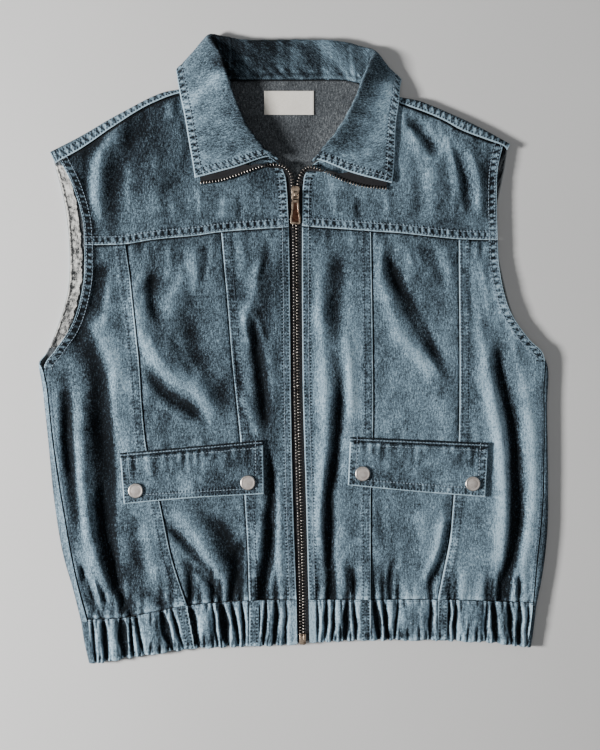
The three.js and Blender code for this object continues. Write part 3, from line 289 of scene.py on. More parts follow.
class Line:
    """A smooth line through a few places, in millimetres, measured along its length."""

    STEPS = 24

    def __init__(self, *places: Sequence[float]) -> None:
        """Sample a centripetal curve through two or more places."""
        self._measure(self._sampled(np.array(places, float)))

    def _measure(self, points: Grid) -> None:
        """Keep points that are close together, and their distances along the line.

        Args:
            points: The points.
        """
        self.points = points
        steps = np.linalg.norm(np.diff(points, axis=0), axis=1)
        self.lengths = np.concatenate([[0.0], np.cumsum(steps)])
        self.length = float(self.lengths[-1])

    @classmethod
    def _sampled(cls, places: Grid) -> Grid:
        """Sample the curve.

        Args:
            places: The places that it runs through.

        Returns:
            Points close together on it.
        """
        padded = np.vstack([2 * places[0] - places[1], places, 2 * places[-1] - places[-2]])
        shares = np.linspace(0, 1, cls.STEPS, endpoint=False)[:, None]
        rows = []
        for a, b, c, d in zip(padded, padded[1:], padded[2:], padded[3:]):
            gaps = [max(1e-4, math.sqrt(np.linalg.norm(q - p))) for p, q in ((a, b), (b, c), (c, d))]
            out = ((b - a) / gaps[0] - (c - a) / (gaps[0] + gaps[1]) + (c - b) / gaps[1]) * gaps[1]
            into = ((c - b) / gaps[1] - (d - b) / (gaps[1] + gaps[2]) + (d - c) / gaps[2]) * gaps[1]
            rows.append(cubic(b, c, out, into, shares))
        return np.vstack([*rows, places[-1:]])

    @classmethod
    def through(cls, points: Grid) -> "Line":
        """A line that follows points that are already close together."""
        made = cls.__new__(cls)
        made._measure(points)
        return made

    def at(self, shares: Grid) -> Grid:
        """Places at shares of the line's length, from 0 to 1."""
        along = np.asarray(shares, float) * self.length
        return np.stack([np.interp(along, self.lengths, column) for column in self.points.T], axis=-1)

    def outward(self, shares: Grid) -> Grid:
        """Directions that point to the left of the line's run, of unit length.

        Args:
            shares: Shares of the line's length.

        Returns:
            One direction for each share.
        """
        shares = np.asarray(shares, float)
        run = self.at(np.minimum(1, shares + 0.004)) - self.at(np.maximum(0, shares - 0.004))
        run /= np.linalg.norm(run, axis=-1, keepdims=True)
        return np.stack([-run[..., 1], run[..., 0]], axis=-1)

    def part(self, low: float, high: float) -> "Line":
        """The stretch between two shares of the length."""
        return Line.through(self.at(np.linspace(low, high, 160)))

    def turned(self) -> "Line":
        """The same line, run from its other end."""
        return Line.through(self.points[::-1].copy())

    def beside(self, offset: float) -> "Line":
        """A line that keeps a distance to the left of this one, or to the right if negative."""
        shares = np.linspace(0, 1, 200)
        return Line.through(self.at(shares) + offset * self.outward(shares))

    def share_at_x(self, x: float) -> float:
        """Share of the length at which the line passes nearest to an x."""
        return float(self.lengths[np.argmin(np.abs(self.points[:, 0] - x))] / self.length)

    def nearest(self, xy: Grid, steps: int = 90) -> tuple[Grid, Grid]:
        """How far places lie from the line.

        Args:
            xy: Places, an array whose last axis holds x and y.
            steps: Number of straight stretches that stand for the line.

        Returns:
            The distances, and the shares of the line's length where it is nearest.
        """
        path = self.at(np.linspace(0, 1, steps + 1))[:, :2]
        flat = xy.reshape(-1, 2)
        best = np.full(len(flat), 1e9)
        share = np.zeros(len(flat))
        for i in range(steps):
            run = path[i + 1] - path[i]
            t = np.clip(((flat - path[i]) @ run) / max(1e-9, run @ run), 0, 1)
            away = np.linalg.norm(flat - path[i] - t[:, None] * run, axis=1)
            closer = away < best
            best[closer] = away[closer]
            share[closer] = (i + t[closer]) / steps
        return best.reshape(xy.shape[:-1]), share.reshape(xy.shape[:-1])


L, R = Side.LEFT, Side.RIGHT

# The outline and the sewn lines of the front, from the hem upwards or from left to right.
SIDE_SEAM = {
    L: Line([-206, -270], [-218, -225], [-231, -155], [-241, -90], [-247, -35], [-250, -16],
            [-239, 0], [-222, 26], [-211, 66], [-209.5, 105]),
    R: Line([239.5, -253], [244.5, -200], [249, -150], [250, -100], [250, -40], [249.5, -4],
            [236, 10], [216, 40], [206, 80], [204, 110]),
}
YOKE_SEAM = {
    L: Line([-209.5, 105], [-169, 106], [-144, 110], [-94, 115], [-73, 118], [-5, 123]),
    R: Line([8, 124], [77, 119], [106, 117], [165, 111], [204, 110]),
}
YOKE_ARMHOLE = {
    L: Line([-209.5, 105], [-212, 132], [-222, 165], [-234, 189]),
    R: Line([204, 110], [203, 150], [204, 180], [209, 204]),
}
SHOULDER_SEAM = {
    L: Line([-234, 189], [-214, 200], [-184, 220], [-150, 242], [-116, 256], [-84, 262]),
    R: Line([84, 252], [106, 246], [146, 231], [166, 220], [186, 212], [209, 204]),
}
NECK_AND_ZIP_EDGE = {
    L: Line([-5, 123], [-7, 160], [-9, 175], [-15, 186], [-32, 199], [-50, 214], [-68, 236],
            [-84, 262]),
    R: Line([8, 124], [9, 165], [11, 176], [17, 184], [32, 195], [48, 208], [65, 229], [84, 252]),
}
LEFT_OUTER = Line([-107, -256], [-122, -210], [-134, -155], [-148, -97], [-156, 0], [-161, 50],
                  [-169, 106])
LEFT_INNER = Line([-45, -251], [-47, -190], [-54, -88], [-62, -10], [-66, 40], [-73, 118])
RIGHT_INNER = Line([77, -250], [77, -140], [79, -83], [79, -10], [77, 119])
RIGHT_OUTER = Line([144, -250], [149, -225], [156, -190], [160, -147], [165, -88], [165, 111])
ZIP_EDGE = {
    L: Line([2.5, -250], [-1, -150], [-3, -50], [-4, 50], [-5, 123]),
    R: Line([14.5, -250], [12, -150], [9, -50], [8, 50], [8, 124]),
}
WAIST_SEAM = {
    L: Line([-206, -270], [-169, -268], [-144, -263], [-107, -256], [-45, -251], [2.5, -250]),
    R: Line([14.5, -250], [77, -250], [144, -250], [186, -251], [239.5, -253]),
}
HEM = {
    L: Line([-199, -314], [-144, -305], [-97, -299], [-45, -297], [3.5, -295]),
    R: Line([15.5, -293], [77, -291], [142, -291], [196, -293], [233.5, -298]),
}
BAND_END = {
    L: Line([-206, -270], [-204, -290], [-199, -314]),
    R: Line([239.5, -253], [237, -275], [233.5, -298]),
}
BAND_ZIP_END = {
    L: Line([2.5, -250], [3.5, -295]),
    R: Line([14.5, -250], [15.5, -293]),
}
BACK_SIDE = {
    L: Line([-214, -272], [-222, -240], [-232, -205], [-241, -150], [-247, -90], [-253, -35],
            [-256, -13], [-249, -2], [-236, 30], [-228, 60], [-226, 90], [-230, 140],
            [-238, 175], [-245, 197]),
    R: Line([243.5, -256], [250, -222], [254.5, -180], [255, -120], [254, -60], [253.5, -12],
            [240, 4], [222, 33], [210, 75], [204, 110], [204, 140], [209, 168], [216, 202]),
}
BACK_BAND_SIDE = {
    L: Line([-214, -272], [-211, -292], [-206, -314]),
    R: Line([243.5, -256], [241, -278], [238, -298]),
}
BACK_TOP = Line([-245, 199], [-214, 215], [-174, 238], [-134, 258], [-114, 262], [-90, 269],
                [-60, 272], [0, 272], [60, 271], [88, 263], [103, 255], [126, 250], [156, 238],
                [186, 224], [217, 207])


@dataclass(frozen=True)
class Fold:
    """A crest, or a valley if its height is negative, that fades out at both ends.

    Attributes:
        path: Places that the fold runs through.
        west: Half width towards -X.
        east: Half width towards +X.
        high: Height above the cloth around it.
    """

    path: tuple[tuple[float, float], ...]
    west: float
    east: float
    high: float

    def height(self, x: Grid, y: Grid) -> Grid:
        """Height of the fold over places.

        Args:
            x: Places across, in millimetres.
            y: Places up.

        Returns:
            The heights, 0 far from the fold.
        """
        line = Line(*self.path)
        reach = 3 * max(self.west, self.east)
        low, high = line.points.min(axis=0) - reach, line.points.max(axis=0) + reach
        near = (x > low[0]) & (x < high[0]) & (y > low[1]) & (y < high[1])
        result = np.zeros(x.shape)
        if not near.any():
            return result
        xy = np.stack([x[near], y[near]], axis=-1)
        away, share = line.nearest(xy, steps=18)
        run = line.outward(share)
        beside = ((xy - line.at(share)) * run).sum(axis=-1)
        ends = smooth(0, 0.26, share) * smooth(1, 0.74, share)
        width = np.where(beside * run[:, 0] > 0, self.east, self.west) * (0.5 + 0.5 * ends)
        power = CREST_POWER if self.high > 0 else VALLEY_POWER
        result[near] = self.high * ends * np.exp(-((away / width) ** power))
        return result


def folds(*rows: Sequence[float]) -> tuple[Fold, ...]:
    """Folds from rows of half width west and east, height, and x and y of each place."""
    return tuple(Fold(tuple(zip(row[3::2], row[4::2])), *row[:3]) for row in rows)


def heights(made: Sequence[Fold], x: Grid, y: Grid) -> Grid:
    """The heights of some folds over places, added up."""
    return sum((fold.height(x, y) for fold in made), np.zeros(x.shape))


FOLDS = folds(
    (8, 12, 4.0, -162, 235, -190, 200, -195, 165, -193, 122),
    (9, 10, -1.4, -146, 240, -168, 195, -184, 160, -182, 125), (5, 6, 1.8, -126, 250, -121, 228),
    (13, 13, 2.2, -134, 205, -138, 165, -136, 124), (4, 5, 1.4, -124, 165, -118, 125),
    (5, 5, 1.6, -69, 158, -72, 126), (6, 6, -3.0, 111, 236, 131, 215, 145, 190),
    (6, 6, 2.4, 151, 220, 161, 185, 166, 148), (5, 5, -2.0, 156, 215, 170, 175, 176, 128),
    (6, 6, 2.4, 172, 208, 184, 170, 186, 130), (12, 12, 2.2, 134, 190, 137, 155, 139, 124),
    (6, 6, -1.4, 122, 205, 126, 160, 124, 124), (8, 8, -2.2, -190, 96, -196, 55, -200, 20),
    (10, 14, 4.6, -140, 92, -158, 62, -152, 15, -128, -22, -92, -45, -74, -72),
    (8, 10, 2.6, -101, 100, -110, 75, -122, 50, -124, 25), (5, 6, -2.4, -140, 85, -142, 50, -132, 22),
    (9, 12, -2.2, -104, 45, -100, 0, -78, -38, -67, -70),
    (6, 7, -3.0, -150, -14, -130, -42, -100, -62, -84, -80),
    (7, 8, 3.0, -33, 100, -38, 68, -47, 35, -50, 15), (8, 4, -4.2, -43, 42, -36, 5, -30, -40, -26, -88),
    (8, 4, -4.0, -26, -88, -22, -150, -23, -205, -30, -246), (6, 6, 2.2, -55, -35, -42, -68, -34, -92),
    (6, 14, 3.4, -196, 60, -196, 20, -180, -15, -178, -60, -172, -96),
    (12, 6, -4.8, -206, 12, -192, -28, -188, -80, -184, -130, -184, -185, -170, -245),
    (9, 7, 3.6, -214, -20, -211, -90, -207, -160, -196, -215, -184, -262),
    (6, 6, -3.0, -226, -35, -226, -90, -220, -150, -210, -205),
    (8, 9, 2.8, -149, -165, -143, -205, -131, -245),
    (9, 11, 4.2, -130, -152, -104, -175, -82, -207, -64, -245),
    (6, 4, -2.6, -133, -162, -105, -200, -80, -225, -70, -243),
    (10, 9, -2.6, -86, -158, -68, -190, -56, -222),
    (7, 7, 2.6, 25, 112, 26, 60, 30, 0, 32, -70, 27, -150, 24, -222), (8, 9, -2.2, 42, 105, 42, 50, 42, 10),
    (5, 6, -4.0, 50, 0, 47, -40, 44, -90, 35, -150, 35, -205, 37, -232),
    (6, 6, 2.4, 52, 28, 56, -20, 58, -75), (11, 9, 3.0, 82, 92, 92, 55, 112, 10, 140, -22, 152, -50),
    (7, 6, -3.0, 88, 108, 104, 70, 122, 35, 140, 0, 160, -35), (5, 5, -1.8, 131, 110, 142, 85, 152, 58),
    (9, 8, 3.0, 184, 50, 190, 5, 200, -55, 208, -110, 212, -180, 204, -240),
    (7, 5, -4.4, 204, 30, 207, -20, 219, -75, 223, -140, 219, -195, 208, -246),
    (6, 6, 2.0, 228, -20, 239, -90, 240, -150, 233, -205, 226, -240),
    (10, 10, 2.2, 126, -152, 130, -185, 128, -215), (6, 5, 2.6, 151, -158, 145, -195, 128, -238),
    (4, 4, -2.2, 157, -165, 150, -200, 136, -240),
)

# Smaller creases and ridges between the large folds, found in the cloth's surface alone.
CREASES = folds(
    (6, 6, -2.4, -229, -12, -228, -60, -226, -100, -220, -140),
    (4, 4, 1.3, -216, -62, -214, -110, -211, -150, -204, -196),
    (2.4, 2.4, -1.8, -212, -212, -212, -235, -205, -252, -197, -264),
    (3, 3, 1.4, -200, -222, -196, -245, -188, -262), (2.5, 2.5, -2.2, -199, -214, -193, -240, -183, -266),
    (5, 5, 1.8, -194, -200, -185, -238, -172, -262), (8, 8, 1.8, -168, -226, -158, -250, -150, -264),
    (6, 6, -2.4, -152, -238, -138, -252, -122, -260),
    (3, 3, 1.3, -122, -186, -104, -208, -88, -226, -76, -238),
    (4, 4, -2.8, -104, -214, -84, -232, -74, -252), (2.6, 2.6, -1.3, -126, -178, -108, -192, -92, -208),
    (4, 4, 1.6, -96, -220, -92, -238, -89, -252), (5, 5, -1.8, -108, -202, -104, -226, -102, -252),
    (4, 4, 1.8, -15, -112, -14, -180, -15, -247), (3, 3, 1.2, -33, -165, -34, -192, -35, -222),
    (3, 3, 1.4, 36, -212, 33, -230, 31, -248), (4, 4, 1.8, 44, -208, 51, -230, 54, -248),
    (3, 3, -1.8, 57, -213, 60, -230, 60, -248), (3, 3, -1.7, 104, -202, 97, -224, 94, -248),
    (4, 4, 1.4, 110, -202, 104, -224, 100, -248), (5, 5, -1.1, 86, -158, 88, -182, 87, -208),
    (9, 9, 1.2, 110, -150, 112, -180, 106, -204), (2, 2, -1.2, 178, -24, 183, -38, 190, -56),
    (2.6, 2.6, -1.8, 225, -222, 226, -236, 225, -252), (3, 3, 1.3, 219, -218, 220, -234, 219, -252),
    (8, 6, 1.4, 176, -214, 170, -232, 168, -250), (3, 3, 1.2, -148, 110, -147, 98, -143, 82),
    (3, 4, 1.5, -128, 105, -124, 88, -128, 66), (3, 3, -1.3, -114, 104, -110, 88, -107, 70),
    (3.5, 4, 1.8, -101, 108, -98, 80, -100, 48), (3, 3, -1.3, -90, 110, -88, 88, -92, 62),
    (2.6, 3, 1.0, -82, 112, -84, 90, -88, 68), (3, 3, -1.2, -62, 116, -60, 90, -60, 60),
    (4, 4, 1.3, -54, 116, -50, 84, -46, 60), (3, 3, -1.6, -26, 118, -28, 90, -36, 62),
    (4, 4, 1.3, -18, 112, -20, 60, -18, 10), (3, 3, 1.8, -52, 46, -48, 20, -42, -2),
    (3, 4, 1.5, -24, 20, -22, -20, -18, -60), (2.4, 2.4, -1.6, -36, 46, -30, 24, -24, 6),
    (3, 3, 1.2, -146, 20, -136, -4, -116, -28), (4, 4, -1.4, -124, 24, -112, -6, -94, -34),
    (3, 3, 1.1, -138, -50, -118, -66, -100, -78), (3, 3, -1.3, -58, 20, -57, -14, -50, -48),
    (3, 3, 1.4, 91, 115, 88, 96, 86, 74), (3, 3, -1.3, 101, 112, 98, 96, 99, 78),
    (3, 3, 1.4, 113, 112, 116, 92, 124, 70), (3, 3, -1.2, 126, 112, 130, 96, 138, 78),
    (3, 3, 1.3, 150, 108, 154, 90, 158, 70), (3, 3, 1.4, 108, 60, 124, 30, 138, 4),
    (4, 4, -1.2, 126, 0, 140, -26, 156, -52), (5, 5, -1.4, 172, 96, 176, 60, 182, 20),
    (5, 5, 1.6, 186, 96, 192, 60, 196, 24), (5, 5, 1.4, 214, 34, 222, 0, 230, -40),
    (4, 4, 1.4, -182, 88, -186, 50, -190, 14), (5, 5, -1.6, -214, 60, -212, 24, -220, -8),
    (6, 6, -1.6, -176, -100, -176, -150, -170, -200), (5, 5, -1.4, -160, -160, -158, -200, -150, -232),
    (4, 4, -1.5, -204, 196, -208, 168, -202, 130), (4, 5, 1.2, -160, 200, -166, 168, -164, 130),
    (4, 4, -1.2, -112, 232, -106, 205, -112, 178), (3, 3, 1.2, -96, 168, -94, 148, -96, 128),
    (3, 3, -1.1, -56, 160, -54, 144, -56, 128), (3, 3, 1.0, -36, 162, -34, 145, -32, 130),
    (3, 3, 1.1, 40, 160, 42, 144, 40, 130), (3, 3, -1.1, 66, 156, 64, 142, 66, 128),
    (3, 3, 1.2, 92, 158, 94, 140, 92, 126), (4, 4, 1.5, 116, 226, 124, 200, 128, 170),
    (3, 3, 1.2, 158, 180, 160, 150, 158, 122), (4, 4, -1.4, 194, 190, 196, 160, 194, 122),
    (7, 5, -4.4, 222, -110, 226, -160, 222, -200, 213, -232, 203, -285),
    (6, 4, -4.2, -194, -120, -188, -180, -180, -225, -166, -262, -156, -295),
    (2.4, 2.4, -3.0, -219, -200, -207, -235, -196, -262, -186, -290),
    (5, 5, -3.4, -50, -180, -56, -215, -60, -245, -62, -280),
    (5, 3, -3.8, -23, -150, -26, -200, -31, -245, -33, -285),
    (4, 4, -3.6, 37, -150, 36, -200, 38, -240, 38, -285),
)

# Broad paler and darker places along listed paths: partly wash, where the cloth is rubbed or hidden, and partly
# painted light on slopes that face the light and painted shade in deep hollows.
WASH_LIGHT_AND_SHADE = folds(
    (5, 6, 0.22, -172, 228, -196, 195, -203, 160, -200, 130, -192, 112),
    (9, 12, -0.20, -176, 212, -184, 170, -184, 130, -183, 100),
    (10, 9, -0.36, -230, 210, -212, 150, -203, 110, -206, 60, -220, 20, -250, -16),
    (10, 10, -0.16, -232, 196, -212, 196, -190, 222),
    (12, 14, -0.20, -176, -140, -168, -180, -160, -215, -150, -262),
    (9, 9, -0.10, -62, -12, -56, -50, -48, -84), (7, 7, 0.10, 166, 104, 176, 60, 186, 10, 190, -50),
    (8, 8, -0.10, 98, 110, 120, 60, 146, 0, 160, -60), (8, 8, 0.08, 84, 96, 92, 40, 112, -20, 120, -70),
    (6, 8, -0.16, -178, 110, -190, 70, -202, 20),
    (15, 13, -0.30, -212, 60, -206, 10, -198, -40, -192, -90, -188, -150),
    (12, 8, -0.30, -200, -20, -194, -80, -191, -140, -186, -205, -166, -280),
    (6, 6, 0.14, -238, -30, -238, -90, -230, -150, -220, -200),
    (9, 8, -0.16, -32, 120, -28, 60, -25, 0, -20, -70, -20, -140),
    (16, 16, -0.08, -150, 240, -140, 190, -130, 140), (20, 20, 0.06, -112, 160, -70, 150, -30, 160),
    (12, 14, -0.12, -134, 60, -100, 10, -80, -40), (6, 8, 0.10, -152, 70, -150, 10, -120, -30),
    (9, 9, -0.16, -76, -160, -66, -195, -52, -235),
    (9, 9, 0.12, -140, -160, -112, -190, -84, -225, -70, -260),
    (6, 5, 0.14, -16, -100, -14, -160, -14, -255),
    (9, 8, 0.14, 196, 60, 204, 0, 210, -70, 208, -140, 200, -250),
    (6, 6, 0.12, 236, -20, 240, -90, 238, -160, 228, -240),
    (6, 5, -0.34, 216, 0, 221, -80, 225, -150, 220, -205, 206, -285),
    (7, 7, 0.12, 60, 40, 62, -20, 66, -80), (5, 5, -0.18, 40, 60, 42, 0, 40, -60, 36, -140, 37, -280),
    (5, 5, 0.12, 20, 110, 22, 40, 22, -60, 20, -160, 20, -250),
    (10, 10, 0.08, 120, 230, 150, 200, 170, 160), (7, 7, -0.12, 186, 210, 196, 170, 196, 120),
)

# Paler and darker places on the collar's leaves: partly wash, and partly painted light and painted shade along the
# folds.
COLLAR_WASH_LIGHT_AND_SHADE = folds(
    (12, 12, 0.12, -112, 300, -108, 255, -96, 200, -90, 170),
    (10, 10, -0.22, -84, 330, -72, 285, -58, 240, -38, 206, -22, 180),
    (7, 7, -0.14, -70, 190, -58, 204, -44, 214),
    (10, 10, -0.20, 86, 320, 76, 280, 62, 242, 44, 208, 30, 186),
    (8, 8, 0.12, 96, 300, 96, 250, 92, 200, 88, 160), (6, 6, -0.12, 60, 196, 76, 206, 96, 196),
)

# Gathers at the waist: where each valley meets the waist seam and the hem, and its depth.
GATHERS = {
    L: ((-202, -198, 2.0), (-191, -187, 2.8), (-182, -177, 2.4), (-173, -169, 3.0),
        (-164, -161, 3.2), (-159, -150, 2.8), (-152, -140, 2.6), (-133, -121, 3.2),
        (-123, -110, 3.0), (-104, -95, 3.2), (-94, -85, 2.2), (-82, -76, 3.2), (-74, -66, 3.2),
        (-63, -55, 3.0), (-53, -49, 3.2), (-35, -37, 2.8), (-28, -31, 3.2), (-18, -19, 3.0),
        (-8, -8, 2.2)),
    R: ((23, 24, 2.4), (33, 31, 3.0), (41, 38, 2.4), (54, 51, 3.0), (60, 62, 2.8), (80, 86, 3.0),
        (89, 94, 3.0), (97, 96, 2.8), (104, 100, 3.0), (118, 120, 1.2), (137, 137, 2.8),
        (155, 152, 3.0), (162, 161, 3.0), (178, 177, 1.0), (194, 192, 3.2), (199, 203, 3.0),
        (206, 208, 3.0), (215, 218, 3.2), (226, 225, 3.0), (235, 233, 2.2)),
}
BAND_REACH = {L: (-207.0, 4.0), R: (14.0, 243.0)}

# Half widths of the sunken wedges where the gathers run down the waistband, painted dark as shade. One under 0.6 is
# closed.
WEDGES = {
    L: (0.7, 2.2, 0.5, 3.8, 1.0, 1.0, 0.4, 3.2, 1.2, 3.2, 0.5, 1.0, 3.8, 1.5, 1.0, 1.0, 1.2, 2.2, 0.8),
    R: (1.0, 1.6, 1.0, 2.4, 1.2, 2.8, 1.8, 0.5, 0.8, 0.4, 1.8, 3.0, 1.4, 0.4, 1.0, 2.6, 0.5, 1.8,
        2.2, 0.7),
}

# Each side's panels below the yoke, from left to right: name, rough width, borders with a raised
# band, borders that are only stitched, and how much more it is faded than the vest on the whole.
PANELS = {
    L: (("side", 75, {"left", "right"}, set(), -0.04), ("middle", 92, set(), set(), -0.11),
        ("centre", 55, {"left"}, {"right"}, -0.11)),
    R: (("centre", 66, {"right"}, {"left"}, 0.01), ("middle", 84, set(), set(), 0.03),
        ("side", 75, {"left", "right"}, set(), 0.10)),
}

# The seams between which those panels lie.
PANEL_SEAMS = {L: (SIDE_SEAM[L], LEFT_OUTER, LEFT_INNER, ZIP_EDGE[L]),
               R: (ZIP_EDGE[R], RIGHT_INNER, RIGHT_OUTER, SIDE_SEAM[R])}

# Height of the foot of each armhole.
ARMPIT = {L: -16.0, R: -9.0}

# The panels' felled seams, carried on through the waist's casing: x at the hem and at the waist
# seam, and the side on which the band lies.
FELLS_BELOW = {
    L: ((-99.0, -107.0, -1), (-45.0, -45.0, 1)),
    R: ((77.0, 77.0, -1), (143.0, 144.0, 1)),
}
FLAP_CORNERS = {
    L: ((-170, -154), (-30, -144), (-31, -90), (-174, -103)),
    R: ((54, -135), (191, -147), (194, -93), (56, -87)),
}


def zip_centre(y: Grid) -> Grid:
    """X of the zip's middle at a height up the front, in millimetres."""
    y = np.asarray(y, float)
    return np.where(y < 0, 2.4 + 6.4 * smooth(20, -300, y), 1.4 + smooth(170, 0, y))


def on_side(side: Side, x: Grid) -> Grid:
    """Whether places are on one side of the zip."""
    return x < 8 if side is L else x >= 8


def flap_press(x: Grid, y: Grid) -> Grid:
    """Share by which a pocket flap presses the cloth below it flat.

    Args:
        x: Places across, in millimetres.
        y: Places up.

    Returns:
        The shares, from 0 to 1.
    """
    left = (smooth(-186, -172, x) * smooth(-18, -32, x) * smooth(-166, -152, y)
            * smooth(-78, -92, y))
    right = smooth(42, 56, x) * smooth(206, 192, x) * smooth(-158, -144, y) * smooth(-74, -90, y)
    return np.maximum(left, right)


def gather_dip(x: Grid, y: Grid) -> Grid:
    """Depth of the short valleys that run up from the waist seam.

    Args:
        x: Places across, in millimetres.
        y: Places up.

    Returns:
        The depths.
    """
    dip = np.zeros(x.shape)
    for side, foot in ((L, -256.0), (R, -251.0)):
        for seam, _, deep in GATHERS[side]:
            fade = smooth(22 + 9 * deep, 0, y - foot)
            dip += on_side(side, x) * 0.55 * deep * fade * bell(x, seam, 4.2)
    return dip


def above_gathers(x: Grid, up: Grid, reach: tuple[float, float], width: float) -> Grid:
    """Depth of the gathers just above the waist seam, each with its own reach.

    Args:
        x: Places across, in millimetres.
        up: Height above the seam.
        reach: How far every gather reaches up, and how much further for each of its depth.
        width: Width of a gather.

    Returns:
        The depths.
    """
    total = np.zeros(x.shape)
    for side in Side:
        for seam, _, deep in GATHERS[side]:
            total += on_side(side, x) * deep * bell(up, 0, reach[0] + reach[1] * deep) * bell(x, seam, width)
    return total


def front_height(x: Grid, y: Grid) -> Grid:
    """Height of the front's outer face over the surface, folds and all.

    Args:
        x: Places across, in millimetres.
        y: Places up.

    Returns:
        The heights, in millimetres.
    """
    x, y = np.asarray(x, float), np.asarray(y, float)
    height = REST_HEIGHT + 0.5 * np.sin(x / 31 + 1) * np.cos(y / 47)
    height = height + (1 - 0.75 * flap_press(x, y)) * heights(FOLDS, x, y) - gather_dip(x, y)
    low = LOWEST_FOLD + np.exp(np.minimum(0, height - LOWEST_FOLD - 1))
    height = np.where(height < LOWEST_FOLD + 1, low, height)
    off_zip = smooth(ZIP_FLAT, ZIP_FLAT + 5, np.abs(x - zip_centre(y)))
    return ZIP_HEIGHT + (height - ZIP_HEIGHT) * off_zip


def tops_of_flaps(x: Grid) -> Grid:
    """Y of the sewn top of the pocket flap at an x."""
    places = [corner for side in (L, R) for corner in FLAP_CORNERS[side][3:1:-1]]
    return np.interp(x, [place[0] for place in places], [place[1] for place in places])


def wrinkles(x: Grid, y: Grid) -> Grid:
    """Unevenness of washed denim between its large folds.

    Args:
        x: Places across, in millimetres.
        y: Places up.

    Returns:
        Changes of height, in millimetres.
    """
    coarse = 0.70 * ripple(x + 0.25 * y, y, 17, 46, 3) + 0.45 * ripple(x - 0.4 * y, y, 11, 24, 5)
    fine = 0.20 * ripple(x, y, 5.5, 9, 7)
    sharp = heights(CREASES, x, y) + 0.22 * heights(FOLDS, x, y)
    above = y - tops_of_flaps(x)
    beside = ((x > -172) & (x < -31)) | ((x > 56) & (x < 193))
    pulled = 0.9 * ripple(x, above, 4.6, 30, 9) * bell(above, 0, 12) * (above > 0) * beside
    up = y - np.where(x < 8, np.interp(x, (-206, -144, -45), (-270, -263, -251)), -250)
    pulled = pulled + 0.9 * ripple(x, up, 3.0, 40, 10) * bell(up, 0, 9)
    pulled = pulled - 0.42 * above_gathers(x, up, (12, 6), 2.0)
    calm = 1 - 0.85 * flap_press(x, y)
    off_zip = smooth(ZIP_FLAT - 4, ZIP_FLAT + 5, np.abs(x - zip_centre(y)))
    total = ((coarse + sharp) * off_zip + fine) * calm + pulled
    floor = LOWEST_TOP - front_height(x, y)
    return np.maximum(total, floor + 0.4 * np.exp(np.minimum(0, total - floor)))


def highest_near(x: Grid, y: Grid, reach: float) -> Grid:
    """The highest point of the front close to each place.

    Args:
        x: Places across, in millimetres.
        y: Places up.
        reach: How far the neighbours lie.

    Returns:
        The heights, in millimetres.
    """
    high = front_height(x, y)
    for i in range(8):
        angle = i * math.pi / 4
        high = np.maximum(high, front_height(x + reach * math.cos(angle), y + reach * math.sin(angle)))
    return high


def ladder(along: Grid, seed: int, pitch: float = PUCKER_PITCH) -> Grid:
    """Uneven rungs of a puckered seam.

    Args:
        along: Distance along the seam, in millimetres.
        seed: Number of the pattern.
        pitch: Mean distance between rungs.

    Returns:
        Values from -1 between the rungs to 1 on them.
    """
    drift = 1.5 * ripple(along, along * 0 + seed, 3.1 * pitch, 1, seed)
    strength = 0.65 + 0.35 * ripple(along, along * 0 - seed, 5.2 * pitch, 1, seed + 1)
    return np.sin(2 * math.pi * along / pitch + 2 * drift) * strength


@dataclass
class Patch:
    """A four-sided piece of the front, filled in between its border lines."""

    bottom: Line
    top: Line
    left: Line
    right: Line

    def places(self, us: Grid, vs: Grid) -> Grid:
        """Places on a grid of shares across and up the piece.

        Args:
            us: Shares from the left border to the right one.
            vs: Shares from the bottom border to the top one.

        Returns:
            An array of rows, columns and x and y.
        """
        u, v = us[None, :, None], vs[:, None, None]
        bottom, top = self.bottom.at(us)[None], self.top.at(us)[None]
        left, right = self.left.at(vs)[:, None], self.right.at(vs)[:, None]
        low = (1 - u) * self.bottom.at(0.0) + u * self.bottom.at(1.0)
        high = (1 - u) * self.top.at(0.0) + u * self.top.at(1.0)
        sides = (1 - u) * left + u * right + (1 - v) * bottom + v * top
        return sides - (1 - v) * low - v * high


def shares_for(length: float, step: float, low: bool = True, high: bool = True) -> Grid:
    """Shares along a length, close together at its ends so that an edge can be rounded.

    Args:
        length: The length, in millimetres.
        step: Distance between places in the middle.
        low: Whether the near end gets close places.
        high: Whether the far end gets close places.

    Returns:
        Rising shares from 0 to 1.
    """
    edge = np.array([0.0, 0.25, 0.7, 1.3])
    starts = edge if low else edge[:1]
    ends = length - (edge[::-1] if high else edge[:1])
    count = max(2, round((ends[0] - starts[-1]) / step))
    middle = np.linspace(starts[-1], ends[0], count + 1)[1:-1]
    return np.concatenate([starts, middle, ends]) / length


